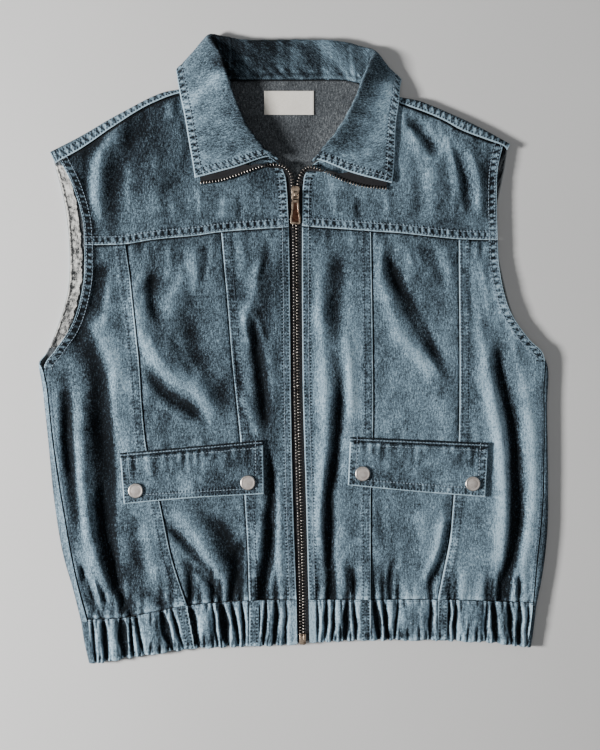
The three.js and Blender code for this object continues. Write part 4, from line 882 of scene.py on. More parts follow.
def build_mesh(name: str, vertices: Grid, faces: Grid, materials: Sequence[bpy.types.Material],
               face_slots: Grid, uv: Grid, fields: dict[str, Grid],
               crisp: float = 50.0) -> Piece:
    """Make a mesh object at the origin from millimetre points.

    Args:
        name: The piece's name.
        vertices: Points, in millimetres.
        faces: Four corner numbers for each face.
        materials: Finishes, in the order of their slots.
        face_slots: Slot number for each face.
        uv: Cloth places of the points, in metres.
        fields: Values for each point, by attribute name.
        crisp: Angle over which an edge stays sharp, in degrees.

    Returns:
        The new object.
    """
    mesh = bpy.data.meshes.new(name)
    mesh.from_pydata((vertices * MM).tolist(), [], faces.tolist())
    layer = mesh.uv_layers.new(name="cloth")
    corners = np.zeros(len(mesh.loops), np.int32)
    mesh.loops.foreach_get("vertex_index", corners)
    layer.data.foreach_set("uv", uv[corners].astype(np.float32).ravel())
    for key, values in fields.items():
        attribute = mesh.attributes.new(key, "FLOAT", "POINT")
        attribute.data.foreach_set("value", np.asarray(values, np.float32).ravel())
    for material in materials:
        mesh.materials.append(material)
    mesh.polygons.foreach_set("material_index", face_slots.astype(np.int32))
    mesh.polygons.foreach_set("use_smooth", np.ones(len(mesh.polygons), bool))
    mesh.update()
    mesh.set_sharp_from_angle(angle=math.radians(crisp))
    piece = bpy.data.objects.new(name, mesh)
    bpy.context.scene.collection.objects.link(piece)
    return piece


@dataclass
class Cloth:
    """A wall of cloth between an outer and an inner grid of points, closed round its edges.

    Attributes:
        name: The piece's name.
        outer: Rows and columns of points on the outer face, in millimetres.
        inner: The points behind them.
        uv: Rows and columns of cloth places, in metres.
        fade: How light the cloth is at each point, from 0 to 1: its wear, with painted light and painted shade in
            places.
        seams: Distances from sewn edges and along them, in millimetres, and how much they pucker.
    """

    name: str
    outer: Grid
    inner: Grid
    uv: Grid
    fade: Grid
    seams: dict[str, Grid] = field(default_factory=dict)

    def build(self, materials: Sequence[bpy.types.Material], rim: Face = Face.OUTER) -> Piece:
        """Make the closed wall.

        Args:
            materials: The outer and the inner finish.
            rim: The face whose finish the narrow edges take.

        Returns:
            The new object.
        """
        rows, columns = self.outer.shape[:2]
        number = np.arange(rows * columns).reshape(rows, columns)
        under = number + rows * columns
        a, b, c, d = number[:-1, :-1], number[:-1, 1:], number[1:, 1:], number[1:, :-1]
        top = np.stack([a, b, c, d], axis=-1).reshape(-1, 4)
        low = np.stack([a, d, c, b], axis=-1).reshape(-1, 4) + rows * columns
        strips = []
        for edge, back in ((number[0], under[0]), (number[:, -1], under[:, -1]),
                           (number[-1, ::-1], under[-1, ::-1]), (number[::-1, 0], under[::-1, 0])):
            strips.append(np.stack([back[:-1], back[1:], edge[1:], edge[:-1]], axis=-1))
        sides = np.concatenate(strips)
        faces = np.concatenate([top, low, sides])
        slots = np.concatenate([np.full(len(top), Face.OUTER.value), np.full(len(low), Face.INNER.value),
                                np.full(len(sides), rim.value)])
        points = np.concatenate([self.outer.reshape(-1, 3), self.inner.reshape(-1, 3)])
        if self._inside_out():
            faces = faces[:, ::-1]
        uv = np.concatenate([self.uv.reshape(-1, 2)] * 2)
        plain = np.full(self.fade.shape, FAR)
        fields = {"fade": self.fade, "near": plain, "along": 0 * plain, "tuck": plain,
                  "pucker": 0 * plain, **self.seams}
        doubled = {key: np.concatenate([values.ravel()] * 2) for key, values in fields.items()}
        return build_mesh(self.name + "_cloth", points, faces, materials, slots, uv, doubled)

    def _inside_out(self) -> bool:
        """Whether the outer face, wound as built, points towards the inner one."""
        across = self.outer[1:, 1:] - self.outer[:-1, :-1]
        along = self.outer[1:, :-1] - self.outer[:-1, 1:]
        normal = np.cross(across, along)
        outward = (self.outer - self.inner)[1:, 1:]
        return float((normal * outward).sum()) < 0

    def flat_size(self, fullness: float = 1.0) -> dict[str, object]:
        """Size that the piece was cut to, measured along the cloth.

        Args:
            fullness: Cut length for each length along the rows, over 1 for gathered cloth.
        """
        widths = np.linalg.norm(np.diff(self.outer, axis=1), axis=-1).sum(axis=1)
        lengths = np.linalg.norm(np.diff(self.outer, axis=0), axis=-1).sum(axis=0)
        across = self.outer[1:, 1:] - self.outer[:-1, :-1]
        along = self.outer[1:, :-1] - self.outer[:-1, 1:]
        area = 0.5 * np.linalg.norm(np.cross(across, along), axis=-1).sum() * MM * MM * fullness
        width, length = widths.max() * MM * fullness, lengths.max() * MM
        return {"flat": (float(width), float(length)),
                "area": float(min(width * length, max(area, 0.31 * width * length)))}


class Value:
    """A number in a material's node tree, which can be reckoned with like any other."""

    def __init__(self, sheet: "NodeSheet", socket: bpy.types.NodeSocket) -> None:
        """Keep the sheet and the socket that gives the number."""
        self.sheet = sheet
        self.socket = socket

    def __add__(self, other: object) -> "Value":
        """The sum of two numbers."""
        return self.sheet.math("ADD", self, other)

    def __sub__(self, other: object) -> "Value":
        """The difference of two numbers."""
        return self.sheet.math("SUBTRACT", self, other)

    def __mul__(self, other: object) -> "Value":
        """The product of two numbers."""
        return self.sheet.math("MULTIPLY", self, other)

    def swing(self, amount: float) -> "Value":
        """A number from 0 to 1, turned into a change to both sides of 0."""
        return (self - 0.5) * amount

    def hump(self, middle: float, width: float) -> "Value":
        """1 where the number is at the middle, falling to 0 beyond its width on both sides."""
        away = self.sheet.math("DIVIDE", self - middle, width)
        return self.sheet.math("EXPONENT", away * away * -1.0)


class NodeSheet:
    """A material's node tree, with short calls for the nodes that the finishes share."""

    def __init__(self, name: str) -> None:
        """Start an empty material of that name.

        Args:
            name: Its name.
        """
        self.material = bpy.data.materials.new(name)
        self.material.use_nodes = True
        self.tree = self.material.node_tree
        self.tree.nodes.clear()
        self.shader = self.tree.nodes.new("ShaderNodeBsdfPrincipled")
        output = self.tree.nodes.new("ShaderNodeOutputMaterial")
        self.tree.links.new(self.shader.outputs["BSDF"], output.inputs["Surface"])

    def node(self, kind: str, inputs: dict[object, object], **settings: object) -> bpy.types.Node:
        """Add a node.

        Args:
            kind: The node's type.
            inputs: Numbers or values for its sockets, by name or place.
            settings: Its properties.

        Returns:
            The new node.
        """
        made = self.tree.nodes.new(kind)
        for key, value in settings.items():
            setattr(made, key, value)
        for key, value in inputs.items():
            self.put(made.inputs[key], value)
        return made

    def put(self, socket: bpy.types.NodeSocket, value: object) -> None:
        """Set a socket to a number, or link it to where its value comes from.

        Args:
            socket: The socket.
            value: The number, or the value to link.
        """
        if isinstance(value, Value):
            self.tree.links.new(value.socket, socket)
        else:
            socket.default_value = value

    def give(self, kind: str, output: object, inputs: dict[object, object], **settings: object) -> Value:
        """Add a node as node() does, and give the value of one of its outputs."""
        return Value(self, self.node(kind, inputs, **settings).outputs[output])

    def math(self, operation: str, first: object, second: object = 0.0) -> Value:
        """Work out a number from two others."""
        return self.give("ShaderNodeMath", 0, {0: first, 1: second}, operation=operation)

    def noise(self, vector: Value, scale: float, detail: float = 2.0, rough: float = 0.5) -> Value:
        """Smooth uneven values from 0 to 1."""
        return self.give("ShaderNodeTexNoise", "Fac", {"Vector": vector, "Scale": scale,
                                                       "Detail": detail, "Roughness": rough})

    def field(self, name: str) -> Value:
        """A number that the piece carries at its points."""
        return self.give("ShaderNodeAttribute", "Fac", {}, attribute_name=name)

    def ramp(self, factor: Value, stops: Sequence[tuple[float, Sequence[float]]]) -> Value:
        """Colour that changes with a factor.

        Args:
            factor: The factor, from 0 to 1.
            stops: Places on the scale and their colours.

        Returns:
            The colour.
        """
        made = self.node("ShaderNodeValToRGB", {"Fac": factor})
        elements = made.color_ramp.elements
        while len(elements) < len(stops):
            elements.new(0.5)
        for element, (place, colour) in zip(elements, stops):
            element.position = place
            element.color = (*colour, 1.0)
        return Value(self, made.outputs["Color"])

    def scaled(self, vector: Value, *by: float) -> Value:
        """A vector stretched along its axes."""
        return self.give("ShaderNodeMapping", "Vector", {"Vector": vector, "Scale": by})

    def bump(self, height: Value, strength: float, distance: float) -> None:
        """Give the surface fine relief."""
        self.shade(Normal=self.give("ShaderNodeBump", "Normal", {
            "Strength": strength, "Distance": distance, "Height": height}))

    def shade(self, **inputs: object) -> None:
        """Set the shader's inputs, whose names have underscores for spaces."""
        for key, value in inputs.items():
            self.put(self.shader.inputs[key.replace("_", " ")], value)

    def object_place(self) -> Value:
        """Place on the object, in metres."""
        return self.give("ShaderNodeTexCoord", "Object", {})

    def cloth_place(self) -> Value:
        """Place on the cloth, in metres along and across its threads."""
        return self.give("ShaderNodeUVMap", "UV", {}, uv_map="cloth")


@dataclass(frozen=True)
class DenimFinish:
    """Washed indigo twill that is faded where it is rubbed, and painted darker and paler where its fade field carries
    painted shade and painted light.

    Attributes:
        name: Material name.
        stops: Colours from unfaded to worn white, with their places on the scale of wear.
        level: Added to the wear of each point.
        contrast: Strength of the uneven fading.
        weave: Depth of the twill, in metres.
    """

    name: str
    stops: tuple[tuple[float, tuple[float, float, float]], ...]
    level: float = 0.0
    contrast: float = 1.0
    weave: float = 0.00022

    TWILL_PITCH = 0.0011

    def material(self) -> bpy.types.Material:
        """Make the finish's material."""
        sheet = NodeSheet(self.name)
        cloth = sheet.cloth_place()
        slubs = sheet.noise(sheet.scaled(cloth, 1.0, 0.16, 1.0), 900.0, 3.0, 0.7)
        grain = sheet.noise(cloth, 1050.0, 2.0, 0.7)
        speckle = sheet.noise(sheet.scaled(cloth, 1.0, 0.6, 1.0), 640.0, 3.0, 0.75)
        clouds = sheet.noise(sheet.object_place(), 26.0, 5.0, 0.62)
        total = sheet.field("fade") + self.level
        for value, amount in ((clouds, 0.40), (slubs, 1.05), (grain, 1.10), (speckle, 1.40)):
            total += value.swing(amount * self.contrast)
        total += self._seams(sheet, grain)
        place = sheet.node("ShaderNodeSeparateXYZ", {0: cloth})
        across, along = (Value(sheet, place.outputs[k]) for k in (0, 1))
        twill = sheet.math("SINE", (across + along * 0.6) * (2 * math.pi / self.TWILL_PITCH))
        sheet.bump(twill * 0.3 + (slubs + grain) + speckle, 0.7, self.weave)
        sheet.shade(Base_Color=sheet.ramp(sheet.math("MAXIMUM", total, 0.0), self.stops), Roughness=0.95,
                    Sheen_Weight=0.04, Sheen_Roughness=0.6, Specular_IOR_Level=0.08)
        return sheet.material

    @staticmethod
    def _seams(sheet: NodeSheet, grain: Value) -> Value:
        """Wear that follows the sewn edges: rubbed edges, sunken stitch rows and puckers, with a painted shadow line
        beside the seams' lower edges.

        Args:
            sheet: The material's nodes.
            grain: The cloth's fine grain.

        Returns:
            What the seams add to the wear and the painted shadow.
        """
        near, along, pucker, tuck = (sheet.field(name) for name in ("near", "along", "pucker", "tuck"))
        uneven = sheet.give("ShaderNodeTexNoise", "Fac", {"W": along, "Scale": 0.05, "Detail": 3.0},
                            noise_dimensions="1D")
        total = near.hump(0.3, 0.85) * (grain + 0.30) * 0.85
        wave = along * (2 * math.pi / PUCKER_PITCH) + near * 0.16 + uneven * 7.0
        wave = sheet.math("SINE", wave)
        rungs = sheet.math("MINIMUM", wave, 0.0) * 0.44 + sheet.math("MAXIMUM", wave, 0.0) * 0.34
        total += rungs * near.hump(5.2, 2.6) * (uneven * 1.4 + 0.3) * pucker
        dots = sheet.math("COSINE", along * (2 * math.pi / STITCH_PITCH) + uneven * 5.0)
        dots = (dots * 0.42 + 0.14) * (pucker * 0.4 + 0.6)
        for inset in STITCH_INSETS:
            total -= near.hump(inset, 0.95) * dots
        # Painted shadow: a dark line where the tuck distance is small, beside a lower seam edge, along the collar's
        # neck seam and along the casing's top.
        return total - tuck.hump(0.0, 1.3) * 0.6


@dataclass(frozen=True)
class PlainClothFinish:
    """Dull cloth of one colour with uneven threads, such as tape, label or facing."""

    name: str
    dark: tuple[float, float, float]
    light: tuple[float, float, float]
    thread: float = 1300.0
    roughness: float = 0.9
    relief: float = 0.0002

    def material(self) -> bpy.types.Material:
        """Make the finish's material."""
        sheet = NodeSheet(self.name)
        cloth = sheet.cloth_place()
        across = sheet.noise(sheet.scaled(cloth, 1.0, 0.2, 1.0), self.thread, 2.0, 0.6)
        along = sheet.noise(sheet.scaled(cloth, 0.2, 1.0, 1.0), self.thread, 2.0, 0.6)
        mixed = across * 0.4 + along * 0.35 + sheet.noise(sheet.object_place(), 60.0, 3.0, 0.6) * 0.3
        sheet.bump(mixed, 0.5, self.relief)
        sheet.shade(Base_Color=sheet.ramp(mixed, ((0.35, self.dark), (0.65, self.light))),
                    Roughness=self.roughness, Specular_IOR_Level=0.25, Sheen_Weight=0.1)
        return sheet.material


@dataclass(frozen=True)
class MetalFinish:
    """Cast or pressed metal, darker in places and rubbed bright in others."""

    name: str
    dark: tuple[float, float, float]
    light: tuple[float, float, float]
    roughness: float = 0.35
    relief: float = 0.00012

    def material(self) -> bpy.types.Material:
        """Make the finish's material."""
        sheet = NodeSheet(self.name)
        place = sheet.object_place()
        patches = sheet.noise(place, 260.0, 4.0, 0.65)
        fine = sheet.noise(place, 1800.0, 2.0, 0.5)
        sheet.bump(patches + fine * 0.3, 0.3, self.relief)
        sheet.shade(Base_Color=sheet.ramp(patches, ((0.35, self.dark), (0.62, self.light))),
                    Roughness=fine * 0.2 + (self.roughness - 0.1), Metallic=1.0)
        return sheet.material


DENIM_STOPS = (
    (0.0, (0.0025, 0.004, 0.0055)),
    (0.18, (0.012, 0.018, 0.025)),
    (0.40, (0.050, 0.074, 0.093)),
    (0.58, (0.104, 0.149, 0.186)),
    (0.78, (0.182, 0.272, 0.345)),
    (1.0, (0.360, 0.490, 0.580)),
)
INSIDE_STOPS = (
    (0.0, (0.008, 0.009, 0.011)),
    (0.35, (0.045, 0.050, 0.056)),
    (0.6, (0.100, 0.110, 0.120)),
    (1.0, (0.330, 0.345, 0.350)),
)

FACING_STOPS = (
    (0.0, (0.008, 0.009, 0.010)),
    (0.25, (0.10, 0.10, 0.10)),
    (0.5, (0.36, 0.355, 0.34)),
    (0.75, (0.58, 0.57, 0.54)),
    (1.0, (0.75, 0.74, 0.70)),
)


class Finishes:
    """Every finish of the vest, made once."""

    def __init__(self) -> None:
        """Make the materials."""
        fine = {"thread": 2600.0, "relief": 0.0001}
        self.denim = DenimFinish("denim_washed", DENIM_STOPS).material()
        self.inside = DenimFinish("denim_inside_grey", INSIDE_STOPS, level=0.02, contrast=0.9).material()
        self.facing = DenimFinish("facing_pale_twill", FACING_STOPS).material()
        self.thread = PlainClothFinish("thread_blue", (0.09, 0.14, 0.20), (0.34, 0.42, 0.49),
                                       **fine).material()
        self.dark_thread = PlainClothFinish("thread_navy", (0.010, 0.016, 0.024), (0.10, 0.14, 0.18),
                                            **fine).material()
        self.tape = PlainClothFinish("zip_tape_black", (0.004, 0.004, 0.005),
                                     (0.016, 0.016, 0.018)).material()
        self.label = PlainClothFinish("label_cream", (0.66, 0.61, 0.54), (0.83, 0.79, 0.72),
                                      thread=1900.0, roughness=0.6, relief=0.00008).material()
        self.brass = MetalFinish("zip_antique_brass", (0.10, 0.07, 0.05), (0.46, 0.36, 0.27)).material()
        self.teeth = MetalFinish("zip_teeth_rubbed", (0.045, 0.037, 0.033), (0.36, 0.32, 0.29),
                                 roughness=0.34).material()
        self.pull_dark = MetalFinish("pull_dark_copper", (0.030, 0.014, 0.009), (0.10, 0.045, 0.028),
                                     roughness=0.3).material()
        self.nickel = MetalFinish("snap_satin_nickel", (0.58, 0.51, 0.46), (0.74, 0.68, 0.63),
                                  roughness=0.38, relief=0.00005).material()


class Sheets:
    """The pieces built so far, and the calls that every piece needs."""

    def __init__(self, finishes: Finishes) -> None:
        """Keep the finishes and start with no pieces."""
        self.finishes = finishes
        self.fronts: list[Piece] = []

    def add(self, cloth: Cloth, slot: str = "denim", held: str = "laid", rests_on: Sequence[str] = (),
            faces: tuple = (), fullness: float = 1.0, front: bool = False) -> Piece:
        """Build a sheet of cloth and tell the frame about it.

        Args:
            cloth: The wall, named for the solid that it stands for.
            slot: Its material slot.
            held: How it lies.
            rests_on: What it lies on.
            faces: Its outer and inner finish, if they aren't the denim's.
            fullness: Cut length for each length along its rows.
            front: Whether stitches can lie on it.

        Returns:
            The piece.
        """
        piece = cloth.build(faces or (self.finishes.denim, self.finishes.inside))
        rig.ride(piece, ROOT)
        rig.replaces(piece, cloth.name)
        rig.slot(piece, slot)
        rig.sheet(piece, held=held, rests_on=list(rests_on), **cloth.flat_size(fullness))
        LOG.info("%s: %d faces", piece.name, len(piece.data.polygons))
        if front:
            self.fronts.append(piece)
        return piece


def declare(piece: Piece, body: str, slot: str, *nodes: str) -> None:
    """Tell the frame about a hard piece or a row of thread.

    Args:
        piece: The built piece.
        body: The body that it moves with.
        slot: Its material slot.
        nodes: The solids that it stands for, if any.
    """
    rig.ride(piece, body)
    if nodes:
        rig.replaces(piece, *nodes)
    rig.slot(piece, slot)
    LOG.info("%s: %d faces", piece.name, len(piece.data.polygons))


class Maker:
    """Makes some of the vest's pieces from the shared finishes."""

    def __init__(self, sheets: Sheets) -> None:
        """Keep the shared pieces, and lay out what the methods share."""
        self.sheets = sheets
        self.lay_out()

    def lay_out(self) -> None:
        """Work out what the methods share; most makers share nothing."""


def blurred(grid: Grid, reach: int) -> Grid:
    """A grid of values averaged over squares of neighbours.

    Args:
        grid: Rows and columns of values.
        reach: Number of neighbours to each side.

    Returns:
        The averages, on the same grid.
    """
    padded = np.pad(grid, reach, mode="edge")
    size = 2 * reach + 1
    sums = np.pad(padded.cumsum(axis=0).cumsum(axis=1), ((1, 0), (1, 0)))
    total = (sums[size:, size:] - sums[:-size, size:] - sums[size:, :-size] + sums[:-size, :-size])
    return total / size ** 2


def edge_round(distance: Grid, radius: float) -> Grid:
    """How far a rounded edge has dropped at a distance from it, in millimetres."""
    inside = np.clip(1 - distance / radius, 0, 1)
    return radius * (1 - np.sqrt(np.maximum(0, 1 - inside * inside)))


@dataclass
class FrontPanel:
    """One sewn panel of the front.

    Attributes:
        name: The solid that the panel stands for.
        patch: Its border lines.
        width: Rough width, in millimetres.
        height: Rough height, in millimetres.
        bands: Borders with a raised band: any of left, right and bottom.
        bound: Borders that are stitched but not raised, such as the zip's.
        seed: Number of its uneven patterns.
        fades: How faded the cloth is on the whole.
    """

    name: str
    patch: Patch
    width: float
    height: float
    bands: set[str]
    bound: set[str]
    seed: int
    fades: float

    def __post_init__(self) -> None:
        """Lay out the panel's points and their distances from its borders."""
        us = shares_for(self.width, FINE_STEP if "bottom" in self.bands else WIDE_STEP)
        vs = shares_for(self.height, FINE_STEP)
        xy = self.patch.places(us, vs)
        inset = np.zeros(xy.shape)
        inset[:, 0, 0], inset[:, -1, 0] = GAP / 2, -GAP / 2
        inset[0, :, 1], inset[-1, :, 1] = GAP / 2, -GAP / 2
        self.xy = xy + inset
        self.x, self.y = self.xy[..., 0], self.xy[..., 1]
        across = np.linalg.norm(self.xy[:, -1] - self.xy[:, 0], axis=-1)[:, None]
        upward = np.linalg.norm(self.xy[-1] - self.xy[0], axis=-1)[None, :]
        self.off = {"left": us[None, :] * across, "right": (1 - us)[None, :] * across,
                    "bottom": vs[:, None] * upward, "top": (1 - vs)[:, None] * upward}

    def cloth(self) -> Cloth:
        """Work out the panel's wall."""
        x, y, off = self.x, self.y, self.off
        large, fine = front_height(x, y), wrinkles(x, y)
        band, rung = self._band()
        # Distance from the plain seam edges: the cloth sinks there, and the material paints a shadow line along them.
        plain = [off[key] + 1.3 * (key == "bottom") for key in ("left", "right", "top", "bottom")
                 if key not in self.bands | self.bound]
        tuck = np.minimum.reduce(plain)
        outer_z = large + fine + (FELL_RISE + PUCKER_DEPTH * rung) * band
        outer_z -= 0.8 * edge_round(np.minimum.reduce(list(off.values())), 0.7)
        outer_z += self._beside_seams() - 0.8 * bell(tuck, 0, 2.0) * (1 - band)
        slope = np.hypot(*np.gradient(large, axis=(0, 1)))
        inner_z = large + fine * 0.8 - CLOTH * np.minimum(1.3, 1 + 0.1 * slope)
        near, along = self._sewn()
        return Cloth(self.name, np.dstack([x, y, outer_z]), np.dstack([x, y, inner_z]), self.xy * MM,
                     self._tone(large + fine, band),
                     {"near": near, "along": along, "tuck": tuck,
                      "pucker": np.where(self._upright(), 0.20, 1.0)})

    def _sewn(self) -> tuple[Grid, Grid]:
        """Distance from the nearest felled or bound edge, and distance along it."""
        near, along = np.full(self.x.shape, FAR), np.zeros(self.x.shape)
        for key in ("left", "right", "bottom"):
            if key in self.bands | self.bound:
                distance = self.off[key] + FAR * (1 - self._felled(key))
                along = np.where(distance < near, self.x if key == "bottom" else self.y, along)
                near = np.minimum(near, distance)
        return near, along

    def _felled(self, key: str) -> Grid:
        """Share of a border's band at each height: side seams are plain below the armholes.

        Args:
            key: The border.

        Returns:
            The shares.
        """
        side = L if "left" in self.name else R
        if not self.name.startswith("front_side") or key != side.value:
            return np.ones(self.y.shape)
        return smooth(ARMPIT[side] - 12, ARMPIT[side] - 2, self.y)

    def _upright(self) -> Grid:
        """Whether the nearest border is a plain upright seam below the yoke."""
        plain = self.name.startswith(("front_centre", "front_middle"))
        inner = "right" if "left" in self.name else "left"
        return plain | ((self.off[inner] < 14) & self.name.startswith("front_side"))

    def _band(self) -> tuple[Grid, Grid]:
        """Raised share of the felled bands, and their rungs."""
        band, rung = np.zeros(self.x.shape), np.zeros(self.x.shape)
        for key in sorted(self.bands):
            share = smooth(FELL_WIDTH + 1.0, FELL_WIDTH - 0.4, self.off[key]) * self._felled(key)
            rungs = ladder(self.x if key == "bottom" else self.y, self.seed + len(key))
            rung = np.where(share > band, rungs, rung)
            band = np.maximum(band, share)
        return band, rung

    def _beside_seams(self) -> Grid:
        """Puckers that run a little way into the panel from its seams."""
        total = np.zeros(self.x.shape)
        for key, distance in self.off.items():
            along = self.x if key in ("bottom", "top") else self.y
            strength, deep = (0.75, 17) if key == "top" else (0.22, 9)
            reach = bell(distance, 0, deep) * smooth(0, 3, distance)
            bunches = ripple(along, distance, 4.6, 60, self.seed + 3 * len(key))
            total += strength * reach * (bunches + 0.35 * ladder(along, self.seed, 10.5))
        return total

    def _tone(self, height: Grid, band: Grid) -> Grid:
        """How light the cloth is: its wear, with painted shade in its hollows and painted light on its ridges.

        Args:
            height: Height of each point, without the seams' relief.
            band: Raised share of the felled bands.

        Returns:
            The wear and the painted light and shade of each point, from 0 to 1.
        """
        x, y, top = self.x, self.y, self.off["top"]
        # Painted shade and light: darker in the folds' valleys and hollows and paler on their crests, as the light
        # falls, on top of the wear; the table of listed paths adds more of both.
        broad = np.clip((height - REST_HEIGHT) / 4.0, -1, 1)
        fade = 0.51 + self.fades + 0.06 * np.maximum(broad, 0) - 0.36 * np.maximum(-broad, 0) ** 1.8
        fade += 0.10 * np.clip(height - blurred(height, 9), -2.6, 1.6) + heights(WASH_LIGHT_AND_SHADE, x, y)
        fade += 0.08 * ripple(x, y, 70, 70, 11) + 0.09 * ripple(x + 0.3 * y, y, 20, 46, 12)
        fade += 0.07 * ripple(x, y, 7, 13, 13) + 0.05 * ripple(x, y, 3.2, 9, 15)
        if "bottom" not in self.bands:
            up = self.off["bottom"]
            beads = 0.16 + 0.26 * ripple(x, up, 2.1, 9, 18)
            fade += 0.14 * bell(up, 0, 12) + beads * bell(up, 2.4, 1.7)
            # Painted shade in the short gather valleys above the waist seam.
            fade -= 0.14 * above_gathers(x, up, (7, 6), 2.1)
        fade += 0.12 * ripple(x, y, 4.2, 40, 16) * bell(top, 0, 16) - 0.10 * bell(top, 0, 10)
        fade += band * (0.08 * ripple(x, y, 9, 9, 14) + 0.12 * ripple(x, y, 3.4, 3.4, 17) - 0.02)
        return np.clip(fade, 0.0, 1.0)


class Front(Maker):
    """The yokes and the six panels below them."""

    @staticmethod
    def _yoke(side: Side) -> FrontPanel:
        """The yoke of one side.

        Args:
            side: The side of the vest.

        Returns:
            The panel.
        """
        outer, inner = YOKE_ARMHOLE[side], NECK_AND_ZIP_EDGE[side]
        away = R if side is L else L
        borders = (outer, inner) if side is L else (inner, outer)
        return FrontPanel(f"front_yoke_{side.value}", Patch(YOKE_SEAM[side], SHOULDER_SEAM[side], *borders),
                          185, 120, {"bottom", side.value}, {away.value}, 21 if side is L else 31,
                          -0.15 if side is L else 0.0)

    @staticmethod
    def _below(side: Side) -> Iterable[FrontPanel]:
        """The three panels of one side, from left to right.

        Args:
            side: The side of the vest.

        Returns:
            The panels.
        """
        waist, yoke = WAIST_SEAM[side], YOKE_SEAM[side]
        seams = PANEL_SEAMS[side]
        for i, (name, width, bands, bound, fades) in enumerate(PANELS[side]):
            low = [waist.share_at_x(line.at(0.0)[0]) for line in seams[i:i + 2]]
            high = [yoke.share_at_x(line.at(1.0)[0]) for line in seams[i:i + 2]]
            patch = Patch(waist.part(*low), yoke.part(*high), seams[i], seams[i + 1])
            yield FrontPanel(f"front_{name}_{side.value}", patch, width, 365, bands, bound,
                             41 + 7 * i + len(side.value), fades)

    def build(self) -> None:
        """Make and declare every panel."""
        for side in Side:
            for panel in (self._yoke(side), *self._below(side)):
                self.sheets.add(panel.cloth(), rests_on=["back_panel"], front=True)


